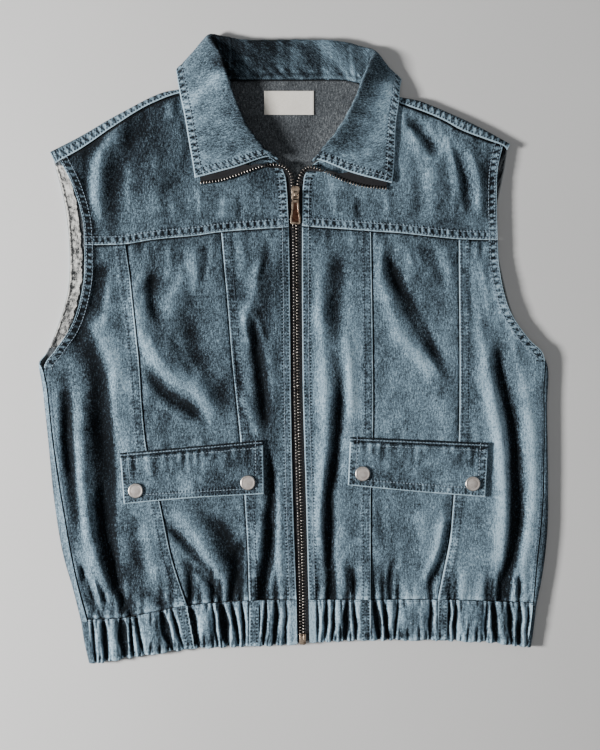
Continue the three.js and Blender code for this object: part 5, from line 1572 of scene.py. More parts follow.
@dataclass
class Waistband:
    """One half of the front's elastic casing.

    Attributes:
        side: The side of the vest.
    """

    side: Side

    HEIGHT = 43

    def __post_init__(self) -> None:
        """Lay out the casing's points."""
        side, waist = self.side, WAIST_SEAM[self.side]
        ends = [line.turned() for line in (BAND_END[side], BAND_ZIP_END[side])]
        patch = Patch(HEM[side], waist, *(ends if side is L else ends[::-1]))
        vs = shares_for(self.HEIGHT, 1.2)
        self.xy = patch.places(shares_for(waist.length, 0.75), vs)
        self.xy[:, 0, 0] += GAP / 2
        self.xy[:, -1, 0] -= GAP / 2
        self.xy[-1, :, 1] -= GAP / 2
        self.x = self.xy[..., 0]
        self.v = np.broadcast_to(vs[:, None], self.x.shape)
        self.up = self.v * float(self.HEIGHT)
        self.fell = np.zeros(self.x.shape)
        for beside in self._beside_fells():
            self.fell = np.maximum(self.fell, smooth(-0.8, 0.0, beside) * smooth(10.8, 10.0, beside))

    def _beside_fells(self) -> Iterable[Grid]:
        """Distances from the outer edge of each felled seam that runs down through the casing."""
        for foot, top, inward in FELLS_BELOW[self.side]:
            yield (self.x - (foot + (top - foot) * self.up / self.HEIGHT)) * inward

    def _puff(self) -> tuple[Grid, Grid, Grid]:
        """Rise between the gathers, share of the way into a puff, and distance from a wedge painted with shade."""
        x, v, up = self.x, self.v, self.up
        low, high = (np.full(x.shape, end) for end in BAND_REACH[self.side])
        low_deep, high_deep = np.full(x.shape, 1.5), np.full(x.shape, 1.5)
        bend = 1.3 * ripple(x * 0.2, up, 9, 15, 57) * np.sin(math.pi * v)
        lens = 0.35 + 0.75 * np.sin(math.pi * v) + 0.25 * ripple(x, up, 7, 12, 65)
        for (seam, hem, deep), wide in zip(GATHERS[self.side], WEDGES[self.side]):
            if wide < 0.6:
                continue
            place = seam + (hem - seam) * (1 - v) + bend
            start, end = place + wide * lens, place - wide * lens
            nearer = (place <= x) & (start > low)
            low, low_deep = np.where(nearer, start, low), np.where(nearer, deep, low_deep)
            nearer = (place > x) & (end < high)
            high, high_deep = np.where(nearer, end, high), np.where(nearer, deep, high_deep)
        gather = np.minimum(x - low, high - x)
        t = np.clip((x - low) / np.maximum(1, high - low), 0, 1)
        deep = low_deep + (high_deep - low_deep) * t
        arch = np.where(gather > 0, np.sin(math.pi * t) ** 0.6, 0.0)
        rise = 1.25 * deep * (arch - 0.42) - 1.2 * smooth(0.0, -1.6, gather)
        rise, arch = (one * (1 - self.fell) + flat * self.fell for one, flat in ((rise, 1.1), (arch, 0.5)))
        return rise, arch, np.where(self.fell > 0.5, 9.0, gather)

    def _short_pleats(self) -> Grid:
        """Strength of the short pleats that run up from the hem or down from the waist seam."""
        x, up = self.x, self.up
        total = np.zeros(x.shape)
        gathers = GATHERS[self.side]
        for i, (one, other) in enumerate(zip(gathers, gathers[1:])):
            step = np.array([float(i)])
            shift, longer = (float(lattice(step, step + k, 67)[0]) for k in (1, 2))
            for share in (0.5,) if other[1] - one[1] < 11 else (0.3, 0.7):
                foot = one[1] + (other[1] - one[1]) * (share + 0.12 * shift)
                reach = 17 + 9 * longer * (1 if share < 0.6 else -1)
                total += smooth(reach, 0.3 * reach, up) * bell(x, foot + 0.10 * up * shift, 1.15)
            head = one[0] + (other[0] - one[0]) * (0.5 - 0.2 * shift)
            reach = 12 - 6 * longer
            total += 0.8 * smooth(reach, 0.3 * reach, self.HEIGHT - up) * bell(x, head, 1.1)
        return np.minimum(total, 1.2) * (1 - 0.8 * self.fell)

    def cloth(self) -> Cloth:
        """Work out the casing's wall."""
        x, v, up = self.x, self.v, self.up
        puff, arch, gather = self._puff()
        y = self.xy[..., 1] + (0.6 - 1.3 * arch + 0.5 * ripple(x, up * 0, 2.2, 1, 62)) * bell(up, 0, 4)
        full = 0.86 + 0.26 * np.sin(math.pi * v) + 0.16 * ripple(x, up, 9, 25, 52)
        height = 8.3 + np.where(puff > 0, puff * full, puff) * (1 - 0.25 * smooth(0.16, 0.05, 1 - v))
        height = np.maximum(height, 5.4 + 0.3 * np.minimum(0, height - 5.4))
        off_zip = smooth(ZIP_FLAT, ZIP_FLAT + 5, np.abs(x - zip_centre(y)))
        z = ZIP_HEIGHT + 0.8 + (height - ZIP_HEIGHT - 0.8) * off_zip
        short = ripple(x, up, 2.0, 60, 58) * bell(up, 0, 11) * smooth(0, 3, up)
        tucks = ripple(x, up, 2.6, 60, 59) * bell(self.HEIGHT - up, 0, 7)
        pleats = self._short_pleats()
        crease = 0.34 * ripple(x, up, 2.4, 15, 53) + 0.30 * ripple(x + 0.3 * up, up, 4.5, 7, 54)
        crease += 0.5 * short + 0.4 * tucks - 1.7 * pleats
        edge = np.minimum(up, self.HEIGHT - up)
        outer_z = z + crease * off_zip - edge_round(up, 1.6) - 0.8 * edge_round(edge, 0.7)
        outer_z += 0.35 * ripple(x, up, 1.7, 3, 60) * bell(up, 0, 1.5)
        outer_z = np.maximum(outer_z - 0.5 * bell(edge, 0, 1.4) * smooth(0.5, 0.9, v), 3.4)
        inner_z = np.minimum(z - DOUBLE_CLOTH + 0.3 * edge_round(up, 1.0), outer_z - 0.25)
        # Painted shade in the short pleats.
        fade = self._tone(arch, gather, crease + 1.3 * pleats, short) - 0.42 * pleats
        near, along = self._sewn()
        # The tuck distance paints a shadow line along the casing's top, under the panels' edge.
        return Cloth(f"front_waistband_{self.side.value}", np.dstack([x, y, outer_z]),
                     np.dstack([x, y, inner_z]), self.xy * MM, np.clip(fade - 0.14 * self.fell, 0.0, 1.0),
                     {"near": near, "along": along, "tuck": 44.2 - up, "pucker": np.full(x.shape, 0.25)})

    def _sewn(self) -> tuple[Grid, Grid]:
        """Distance from the felled seams, and distance along them."""
        near, along = np.full(self.x.shape, FAR), self.x.copy()
        for beside in self._beside_fells():
            closer = (beside > -0.2) & (beside < 11)
            near = np.where(closer, np.minimum(near, np.maximum(0, beside)), near)
            along = np.where(closer & (near >= beside - 0.01), self.up, along)
        return near, along

    def _tone(self, arch: Grid, gather: Grid, crease: Grid, short: Grid) -> Grid:
        """How light the casing is: its wear, with painted shade in the wedges and pleats and painted highlights on the
        puffs.

        Args:
            arch: Share of the way into a puff.
            gather: Distance from a dark wedge.
            crease: Height of the small creases.
            short: Strength of the short ones above the hem.

        Returns:
            The wear and the painted light and shade of each point, from 0 to 1.
        """
        x, up = self.x, self.up
        # Painted light: paler over the middle of each puff and on the tops of the small creases.
        fade = 0.52 + 0.16 * arch ** 1.5 + 0.20 * crease + 0.15 * ripple(x, up, 9, 26, 55)
        fade += 0.07 if self.side is R else -0.02
        fade += 0.16 * bell(41.2 - up, 0, 1.5) + 0.14 * ripple(x, up, 3.2, 18, 61)
        # Painted shade: dark in the wedges between the puffs, with painted highlights on the puffs' rims beside them.
        fade += 0.28 * short + 0.16 * ripple(x, up, 26, 60, 63) - 0.62 * smooth(1.1, -0.4, gather)
        fade += (0.30 + 0.16 * ripple(x, up, 7, 14, 64)) * bell(gather, 2.0, 1.0)
        fade += (0.62 + 0.36 * ripple(x, up * 0, 2.6, 1, 56)) * bell(up, 0, 2.8) * (0.7 + 0.3 * arch)
        # Painted shadow: a dark line on the low side of each felled band, and a bright edge on the band.
        for beside in self._beside_fells():
            fade += 0.16 * bell(beside, 0.6, 0.9) - 0.30 * bell(beside, -0.9, 0.9)
        return np.clip(fade, 0.0, 1.0)


@dataclass(frozen=True)
class Roll:
    """Cloth that turns up from the surface round an edge.

    Attributes:
        turn: 1 for a full half turn and 0 where the edge lies flat.
        across: Reach of the turn sideways.
        height: Height of the turn.
        run: Length of the flat run after it.
    """

    turn: float
    across: float
    height: float
    run: float

    def place(self, step: float) -> tuple[float, float, Grid]:
        """Place on the roll.

        Args:
            step: 0 to 1 goes round the turn, and 1 to 2 along the run after it.

        Returns:
            How far out and how far up, and the outward direction.
        """
        share = max(0.02, self.turn)
        angle = math.pi * share
        rx, rz = self.across / math.sqrt(share), self.height / 2 / math.sqrt(share)
        arc = min(1.0, step) * angle
        past = max(0.0, step - 1) * self.run
        out = rx * math.sin(arc) + past * math.cos(angle)
        up = rz * (1 - math.cos(arc)) + past * math.sin(angle)
        furthest = rx if share > 0.5 else rx * math.sin(angle) + self.run * math.cos(angle)
        normal = np.array([math.sin(arc) / rx, -math.cos(arc) / rz])
        return out - furthest, up, normal / np.linalg.norm(normal)

    def reach(self) -> float:
        """Distance from the outermost point back to where the cloth leaves the surface."""
        return -self.place(0.0)[0]

    def cell(self, start: Grid, outward: Grid, step: float) -> tuple[Grid, Grid]:
        """Outer and inner points at a step.

        Args:
            start: Where the cloth leaves the surface.
            outward: Direction of the roll, as x and y.
            step: Place on the roll.

        Returns:
            The two points.
        """
        out, up, normal = self.place(step)
        reach = out + self.reach()
        outer = np.array([start[0] + outward[0] * reach, start[1] + outward[1] * reach, start[2] + up])
        inner = outer - CLOTH * np.array([outward[0] * normal[0], outward[1] * normal[0], normal[1]])
        return outer, inner


def fall_lift(x: float, y: float) -> float:
    """How far the back is lifted where the collar's fall lies under it."""
    return FALL_LIFT * float(smooth(228, 240, y) * smooth(136, 122, abs(x)))


def height_at(x: float, y: float) -> float:
    """Height of the front at one place."""
    return float(front_height(np.array([x]), np.array([y]))[0])


def side_roll(side: Side, y: float, edge_x: float) -> Roll:
    """The roll at one side of the back: a half turn below the armhole, flat along it.

    Args:
        side: The side of the vest.
        y: Height up the side.
        edge_x: X of the silhouette there.

    Returns:
        The roll.
    """
    opened = float(smooth(ARMPIT[side] - 8, ARMPIT[side] + 18, y))
    seam_y = min(y, ARMPIT[side] - 4)
    _, share = SIDE_SEAM[side].nearest(np.array([[edge_x, seam_y]]))
    seam_x = SIDE_SEAM[side].at(share)[0][0]
    room = max(2.4, abs(edge_x - seam_x) - EDGE_CLEARANCE)
    tight = min(ROLL_RADIUS, room - 0.4)
    across = tight + (ROLL_RADIUS - tight) * opened
    return Roll(1 - opened, across, height_at(seam_x, seam_y), 0.6 if opened > 0 else room - across)


def shoulder_roll(x: float, y: float) -> Roll:
    """The roll over one shoulder, flat again along the neck.

    Args:
        x: Place on the silhouette, across.
        y: Places up.

    Returns:
        The roll.
    """
    side = L if x < 0 else R
    _, share = SHOULDER_SEAM[side].nearest(np.array([[x, y]]))
    seam = SHOULDER_SEAM[side].at(share)[0]
    turn = float(smooth(-99, -111, x) if side is L else smooth(96, 106, x))
    room = max(2.4, math.hypot(x - seam[0], y - seam[1]) - EDGE_CLEARANCE)
    across = ROLL_RADIUS + (min(ROLL_RADIUS, room - 0.4) - ROLL_RADIUS) * turn
    height = height_at(seam[0], seam[1]) - fall_lift(x, y)
    return Roll(turn, across, height, room - across if turn > 0.98 else 0.6)


class Back(Maker):
    """The back, flat on the surface, with its sides and shoulders rolled up to the seams."""

    STEPS = tuple(np.concatenate([[2.0, 1.75, 1.5, 1.25], np.linspace(1, 0, 12)]))
    TOP_INSET = 0.006
    ACROSS = 84
    ROWS = 150

    def lay_out(self) -> None:
        """Find where the back leaves the surface."""
        self.left = self._side_line(L, 1)
        self.right = self._side_line(R, -1)
        start, end = self.left.points[0], self.right.points[0]
        self.bottom = Line(start, [-107, -257], [77, -252], end)

    @staticmethod
    def _side_share(side: Side, v: float) -> float:
        """Share of a side's length for a share of the way up, with the armpit half way."""
        armpit = 0.535 if side is L else 0.515
        return v / 0.5 * armpit if v < 0.5 else armpit + (v - 0.5) / 0.5 * (0.988 - armpit)

    def _edge(self, side: Side, v: float) -> Grid:
        """Place on the back's silhouette."""
        return BACK_SIDE[side].at(self._side_share(side, v))

    def _side_line(self, side: Side, inward: int) -> Line:
        """Where the back leaves the surface along one side, at even shares of the way up.

        Args:
            side: The side of the vest.
            inward: Direction into the back along x.

        Returns:
            The line.
        """
        points = []
        for v in np.linspace(0, 1, 161):
            edge = self._edge(side, v)
            points.append([edge[0] + inward * side_roll(side, edge[1], edge[0]).reach(), edge[1]])
        return Line.through(np.array(points))

    def _side_at(self, line: Line, v: float) -> Grid:
        """Place on a side line by the share of the way up, not by its length."""
        index = v * (len(line.points) - 1)
        low = min(int(index), len(line.points) - 2)
        return line.points[low] + (index - low) * (line.points[low + 1] - line.points[low])

    def _top(self, share: float) -> tuple[Grid, Grid, Roll]:
        """Where the back leaves the surface to roll over a shoulder, or ends at the neck.

        Args:
            share: Share of the top's length.

        Returns:
            The place, the outward direction and the roll.
        """
        edge = BACK_TOP.at(share)
        outward = BACK_TOP.outward(share)
        roll = shoulder_roll(edge[0], edge[1])
        return edge - outward * roll.reach(), outward, roll

    def _rows(self) -> list[list[tuple[Grid, Grid, float]]]:
        """Every row of cells, as outer point, inner point and step of the roll."""
        us = np.linspace(0, 1, self.ACROSS + 1)[1:-1]
        tops = [self._top(self.TOP_INSET + (1 - 2 * self.TOP_INSET) * u) for u in us]
        top_ends = [self._top(self.TOP_INSET)[0], self._top(1 - self.TOP_INSET)[0]]
        rows = []
        for v in np.linspace(0, 0.975, self.ROWS):
            row = []
            ends = [self._side_at(line, v) for line in (self.left, self.right)]
            for side, start, sign in ((L, ends[0], -1.0), (R, ends[1], 1.0)):
                edge = self._edge(side, v)
                roll = side_roll(side, edge[1], edge[0])
                place = np.array([start[0], start[1], 0.0])
                cells = [(*roll.cell(place, np.array([sign, 0.0]), step), step) for step in self.STEPS]
                row.append(cells)
            bottom = self.bottom.at(us)
            low_ends = self.bottom.at(0.0), self.bottom.at(1.0)
            middle = []
            for u, low, top in zip(us, bottom, tops):
                sides = (1 - u) * ends[0] + u * ends[1] + (1 - v) * low + v * top[0]
                corners = ((1 - v) * ((1 - u) * low_ends[0] + u * low_ends[1])
                           + v * ((1 - u) * top_ends[0] + u * top_ends[1]))
                x, y = sides - corners
                z = fall_lift(x, y)
                middle.append((np.array([x, y, z]), np.array([x, y, z + CLOTH]), 0.0))
            rows.append([*row[0], *middle, *row[1][::-1]])
        rows.extend(self._top_rows(us))
        return rows

    def _top_rows(self, us: Grid) -> list[list[tuple[Grid, Grid, float]]]:
        """The rows that roll over the shoulders.

        Args:
            us: Shares across the back.

        Returns:
            Rows of outer point, inner point and step.
        """
        ends = [self.TOP_INSET * (1 - min(1.0, step * 0.96)) for step in self.STEPS]
        ends[0] = 0.0
        middle = [self.TOP_INSET + (1 - 2 * self.TOP_INSET) * u for u in us]
        shares = [*ends, *middle, *[1 - share for share in reversed(ends)]]
        rows = []
        for step in reversed(self.STEPS):
            row = []
            for share in shares:
                start, outward, roll = self._top(share)
                place = np.array([start[0], start[1], fall_lift(start[0], start[1])])
                row.append((*roll.cell(place, outward, step), step))
            rows.append(row)
        return rows

    def build(self) -> None:
        rows = self._rows()
        outer = np.array([[cell[0] for cell in row] for row in rows])
        inner = np.array([[cell[1] for cell in row] for row in rows])
        step = np.array([[cell[2] for cell in row] for row in rows])
        x, y = outer[..., 0], outer[..., 1]
        along = np.where(y > 150, 0.89 * x - 0.44 * np.sign(x) * y, y)
        rung = ladder(along, 61)
        fade = 0.44 + 0.09 * ripple(x, y, 60, 60, 62) + 0.08 * ripple(x, y, 14, 26, 63)
        rolled = smooth(0.6, 1.2, step)
        shoulder = smooth(-6, 30, y)
        # Paler over the rolled edges from wear, with painted light on the left side's roll below the armhole, where
        # the light falls, and painted shade low on each roll, where it meets the surface.
        fade += rolled * (0.10 + 0.05 * rung + 0.32 * (x < -205) * (y < 0) + 0.04 * (y > 150))
        fade -= 0.10 * smooth(0.5, 0.0, step) * (step > 0)
        pieces = [np.linalg.norm(np.diff(outer, axis=axis), axis=-1) for axis in (1, 0)]
        across = np.pad(pieces[0].cumsum(axis=1), ((0, 0), (1, 0)))
        upward = np.pad(pieces[1].cumsum(axis=0), ((1, 0), (0, 0)))
        from_side = np.minimum(across, across[:, -1:] - across) + FAR * smooth(2, -16, y)
        from_top = upward[-1:] - upward + FAR * (np.abs(x) < 86)
        from_edge = np.minimum(from_side, from_top)
        inner[..., 2] += 0.16 * ripple(x, y, 26, 34, 64) * (inner[..., 2] < CLOTH + FALL_LIFT + 0.2)
        outer[..., 2] += PUCKER_DEPTH * 0.8 * rung * rolled
        cloth = Cloth("back_panel", outer, inner, np.dstack([x, y]) * MM, np.clip(fade, 0.02, 1),
                      {"near": from_edge, "along": along, "pucker": 0.15 + 0.8 * shoulder})
        self.sheets.add(cloth, "denim_inside")

    @staticmethod
    def _hem_below(x: Grid) -> Grid:
        """Y of the back's hem, just inside the front's hem."""
        places = np.vstack([HEM[L].points, HEM[R].points])
        return np.interp(x, places[:, 0], places[:, 1]) + BACK_HEM_INSET

    def build_waistband(self) -> None:
        waves = 34
        count = waves * 8
        rows = []
        heights = np.array([0, 0.02, 0.06, 0.15, 0.3, 0.5, 0.7, 0.85, 0.95, 1.0])
        for v in heights:
            ends = []
            for side, inward in ((L, 1.0), (R, -1.0)):
                edge = BACK_BAND_SIDE[side].at(1 - v)
                seam = BAND_END[side].at(1 - v)
                room = abs(edge[0] - seam[0]) - BAND_CLEARANCE
                across = min(ROLL_RADIUS, room - GAP)
                roll = Roll(1.0, across, 8.2, room - across)
                start = np.array([edge[0] + inward * roll.reach(), edge[1] - (GAP if v == 1 else 0), 0.0])
                cells = [roll.cell(start, np.array([-inward, 0.0]), step) for step in self.STEPS]
                ends.append((start, cells))
            (low, left), (high, right) = ends
            row = list(left)
            t = np.arange(1, count) / count
            x = low[0] + (high[0] - low[0]) * t
            seam_y = self.bottom.at(t)[:, 1] - GAP
            hem_y = self._hem_below(x)
            y = hem_y + (seam_y - hem_y) * v
            wave = 0.5 - 0.5 * np.cos(2 * math.pi * waves * t)
            z = (1.2 + 0.6 * np.sin(t * count * 0.85)) * wave * float(smooth(0.0, 0.12, v))
            for place in zip(x, y, z):
                point = np.array(place)
                row.append((point, point + [0, 0, DOUBLE_CLOTH - 0.6 * (v == 0)]))
            row.extend(right[::-1])
            rows.append(row)
        outer = np.array([[cell[0] for cell in row] for row in rows])
        inner = np.array([[cell[1] for cell in row] for row in rows])
        x, y = outer[..., 0], outer[..., 1]
        fade = np.clip(0.46 + 0.12 * ripple(x, y, 6, 30, 66), 0.02, 1)
        cloth = Cloth("back_waistband", outer, inner, np.dstack([x, y]) * MM, fade)
        self.sheets.add(cloth, held="gathered", fullness=1.25)


# The collar, from its left front end round the back to its right front end: its seam at the
# neck, the crest where it turns over, the middle of its leaf and the leaf's outer edge.
COLLAR = (
    ((-15, 190, 10.8), (-23, 193, 13), (-60, 182, 12.2), (-99, 171.5, 11.5)),
    ((-30, 198, 10.8), (-33, 204, 16), (-68, 195, 13), (-101, 185.5, 11.5)),
    ((-48, 212, 10.8), (-46, 221, 18), (-76, 215, 13.5), (-105, 208, 11.5)),
    ((-65, 233, 10.8), (-56, 242, 20), (-84, 238, 14), (-109, 232, 11.5)),
    ((-78, 256, 10.6), (-66, 270, 21), (-93, 264, 14), (-114, 256, 11)),
    ((-79, 266, 9.5), (-74, 294, 17), (-99, 284, 11), (-117, 273, 8)),
    ((-76, 269, 7.4), (-84, 314, 9.5), (-102, 297, 6.5), (-117, 282, 3.4)),
    ((-68, 270, 6.2), (-70, 314, 7), (-86, 290, 1), (-102, 275, 1)),
    ((-48, 270, 6), (-48, 310, 8), (-54, 282, 1), (-62, 250, 1)),
    ((0, 270, 6), (0, 310, 8.5), (0, 280, 1), (0, 246, 1)),
    ((48, 270, 6), (44, 309, 8), (52, 281, 1), (60, 249, 1)),
    ((66, 266, 6.2), (66, 304, 7), (80, 281, 1), (94, 266, 1)),
    ((74, 262, 7.4), (80, 298, 10), (94, 284, 6.5), (107, 272, 3.4)),
    ((78, 255, 9.5), (74, 282, 18), (92, 272, 12), (106, 262, 8)),
    ((76, 244, 10.8), (67, 264, 21), (88, 256, 14), (105, 247, 11.2)),
    ((62, 226, 10.8), (57, 240, 20), (82, 234, 14), (102, 226, 11.5)),
    ((46, 207, 10.8), (43, 217, 18), (73, 210, 13.5), (101, 204, 11.5)),
    ((30, 194, 10.8), (29, 200, 16), (66, 190.5, 13), (100, 182.5, 11.5)),
    ((17, 188, 10.8), (22, 190, 13), (58, 177, 12.2), (98, 166.5, 11.5)),
)


def spline(places: Grid, shares: Grid) -> Grid:
    """Points on a uniform cubic curve through places.

    Args:
        places: Rows of points.
        shares: Shares of the number of spans, from 0 to 1.

    Returns:
        One point for each share.
    """
    padded = np.vstack([2 * places[0] - places[1], places, 2 * places[-1] - places[-2]])
    spans = len(places) - 1
    index = np.minimum((shares * spans).astype(int), spans - 1)
    t = (shares * spans - index)[:, None]
    a, b, c, d = (padded[index + k] for k in range(4))
    return cubic(b, c, 0.5 * (c - a), 0.5 * (d - b), t)


class Collar(Maker):
    """The collar: one double wall from the neck seam over the crest and down the leaf."""

    STATIONS = 260

    def lay_out(self) -> None:
        """Lay out the shares along the collar and down its cross sections."""
        self.us = shares_for(560, 560 / self.STATIONS)
        self.ss = np.unique(np.concatenate([[0, 0.004, 0.01], np.linspace(0.02, 0.98, 66),
                                            [0.986, 0.993, 0.997, 1.0]]))

    def _section(self, across: Grid) -> Grid:
        """Points down one cross section, from the neck seam to the leaf's edge.

        Args:
            across: Places of one cross section.

        Returns:
            The points.
        """
        line = Line(*across)
        spans = self.ss * (len(across) - 1)
        return np.stack([np.interp(spans * Line.STEPS, np.arange(len(line.points)), column)
                         for column in line.points.T], axis=-1)

    def _middle(self) -> Grid:
        """The middle surface of the wall."""
        table = np.array(COLLAR, float)
        along = [spline(table[:, k], self.us) for k in range(4)]
        grid = np.array([self._section(np.array(cross)) for cross in zip(*along)])
        last = len(COLLAR) - 1
        index = (self.us * last)[:, None]
        end = np.minimum(index, last - index)
        on_front = smooth(5, 4, end)
        over_tape = 1.7 * smooth(1.6, 0.6, end) * smooth(0.36, 0.5, self.ss[None, :])
        floor = highest_near(grid[..., 0], grid[..., 1], 5) + LYING_GAP + DOUBLE_CLOTH / 2 + over_tape
        lift = np.maximum(0, floor - grid[..., 2]) * on_front
        grid[..., 2] = np.maximum(grid[..., 2] + lift, DOUBLE_CLOTH / 2)
        return grid

    def build(self) -> None:
        middle = self._middle()
        down = np.gradient(middle, axis=1)
        round_neck = np.gradient(middle, axis=0)
        normal = np.cross(down, round_neck)
        normal /= np.maximum(1e-9, np.linalg.norm(normal, axis=-1, keepdims=True))
        arc = np.cumsum(np.linalg.norm(np.diff(middle, axis=1, prepend=middle[:, :1]), axis=-1), axis=1)
        run = np.cumsum(np.linalg.norm(np.diff(middle, axis=0, prepend=middle[:1]), axis=-1), axis=0)
        from_edge = arc[:, -1:] - arc
        from_end = np.minimum(run, run[-1:] - run)
        edge = np.minimum(from_edge, from_end)
        half = DOUBLE_CLOTH / 2 - 0.75 * edge_round(edge, 1.0)
        leaf = smooth(0.30, 0.42, self.ss[None, :])
        along = np.broadcast_to(run, edge.shape)
        slanted = ladder(run[:, -1:] * 1.0 + 0.55 * from_edge, 71, 6.4)
        end_rungs = ladder(arc, 72, 6.4)
        near_edge = bell(from_edge, 5.2, 3.4) * leaf
        near_end = bell(from_end, 5.2, 3.4) * leaf
        rung = np.where(near_edge > near_end, slanted, end_rungs)
        hem = np.maximum(near_edge, near_end)
        stand = 1 - leaf
        even = np.broadcast_to(self.us[:, None] * 560, edge.shape)
        streak = ripple(even, arc, 4.6, 80, 73) * stand
        pleat = ripple(even, arc, 2.3, 40, 77) * stand
        relief = 0.36 * rung * hem + (0.55 * streak + 0.22 * pleat) * smooth(0, 4, arc)
        relief += 0.42 * ripple(along, arc, 20, 26, 74) * leaf * smooth(0, 12, edge)
        relief += 0.22 * ripple(along, arc, 7, 9, 78) * leaf * smooth(0, 6, edge)
        groove = -0.3 * bell(edge, 8, 0.8) * leaf
        offset = (half + relief + groove)[..., None]
        outer = middle - normal * offset
        inner = middle + normal * half[..., None]
        for grid in (outer, inner):
            grid[..., 2] = np.maximum(grid[..., 2], 0.02)
        fade = self._tone(along, arc, edge, hem, rung, streak + 0.5 * pleat, leaf)
        # Painted light and shade: the stand darker on the left, turned from the light, and paler on the right; the
        # right leaf darker, in shade.
        fade += (1 - leaf) * (0.38 * smooth(-75, 60, middle[..., 0]) - 0.24)
        fade += leaf * heights(COLLAR_WASH_LIGHT_AND_SHADE, middle[..., 0], middle[..., 1])
        fade = np.clip(fade - 0.07 * leaf * (middle[..., 0] > 0), 0, 1)
        uv = np.dstack([along, arc]) * MM
        at_end = from_end < from_edge
        sewn = np.where(leaf > 0.3, edge, FAR)
        # The tuck distance paints a shadow line along the neck seam.
        cloth = Cloth("collar", outer, inner, uv, fade,
                      {"near": sewn, "along": np.where(at_end, arc, run[:, -1:] + 0 * arc),
                       "pucker": 1.0 * leaf + 0 * arc, "tuck": arc + 0.2})
        denim = self.sheets.finishes.denim
        self.sheets.add(cloth, held="folded", rests_on=["front_yoke_left"], faces=(denim, denim), front=True)

    @staticmethod
    def _tone(along: Grid, arc: Grid, edge: Grid, hem: Grid, rung: Grid,
              streak: Grid, leaf: Grid) -> Grid:
        """How worn the collar is at each point.

        Args:
            along: Distance along the collar.
            arc: Distance from the neck seam.
            edge: Distance from the nearest edge.
            hem: Share of the band along the edges.
            rung: Height of the puckers.
            streak: Height of the stand's streaks.
            leaf: Share of the leaf, which is 0 on the stand.

        Returns:
            The wear of each point, from 0 to 1.
        """
        fade = 0.55 + 0.13 * ripple(along, arc, 36, 44, 75) + 0.12 * ripple(along, arc, 9, 16, 76)
        fade += 0.15 * ripple(along + 0.5 * arc, arc, 12, 60, 79) * leaf
        fade += 0.07 * ripple(along, arc, 4, 7, 80)
        fade += hem * (-0.08 + 0.10 * rung)
        fade += 0.10 * bell(edge, 0, 1.1) * leaf
        fade += (1 - leaf) * (0.16 * streak - 0.22)
        fade += (1 - leaf) * 0.30 * ripple(along, arc, 2.6, 60, 77) * bell(arc, 9, 6)
        fade += 0.22 * bell(arc, 3.4, 1.2) - 0.3 * bell(arc, 5.6, 1.0)
        return np.clip(fade, 0.0, 1.0)


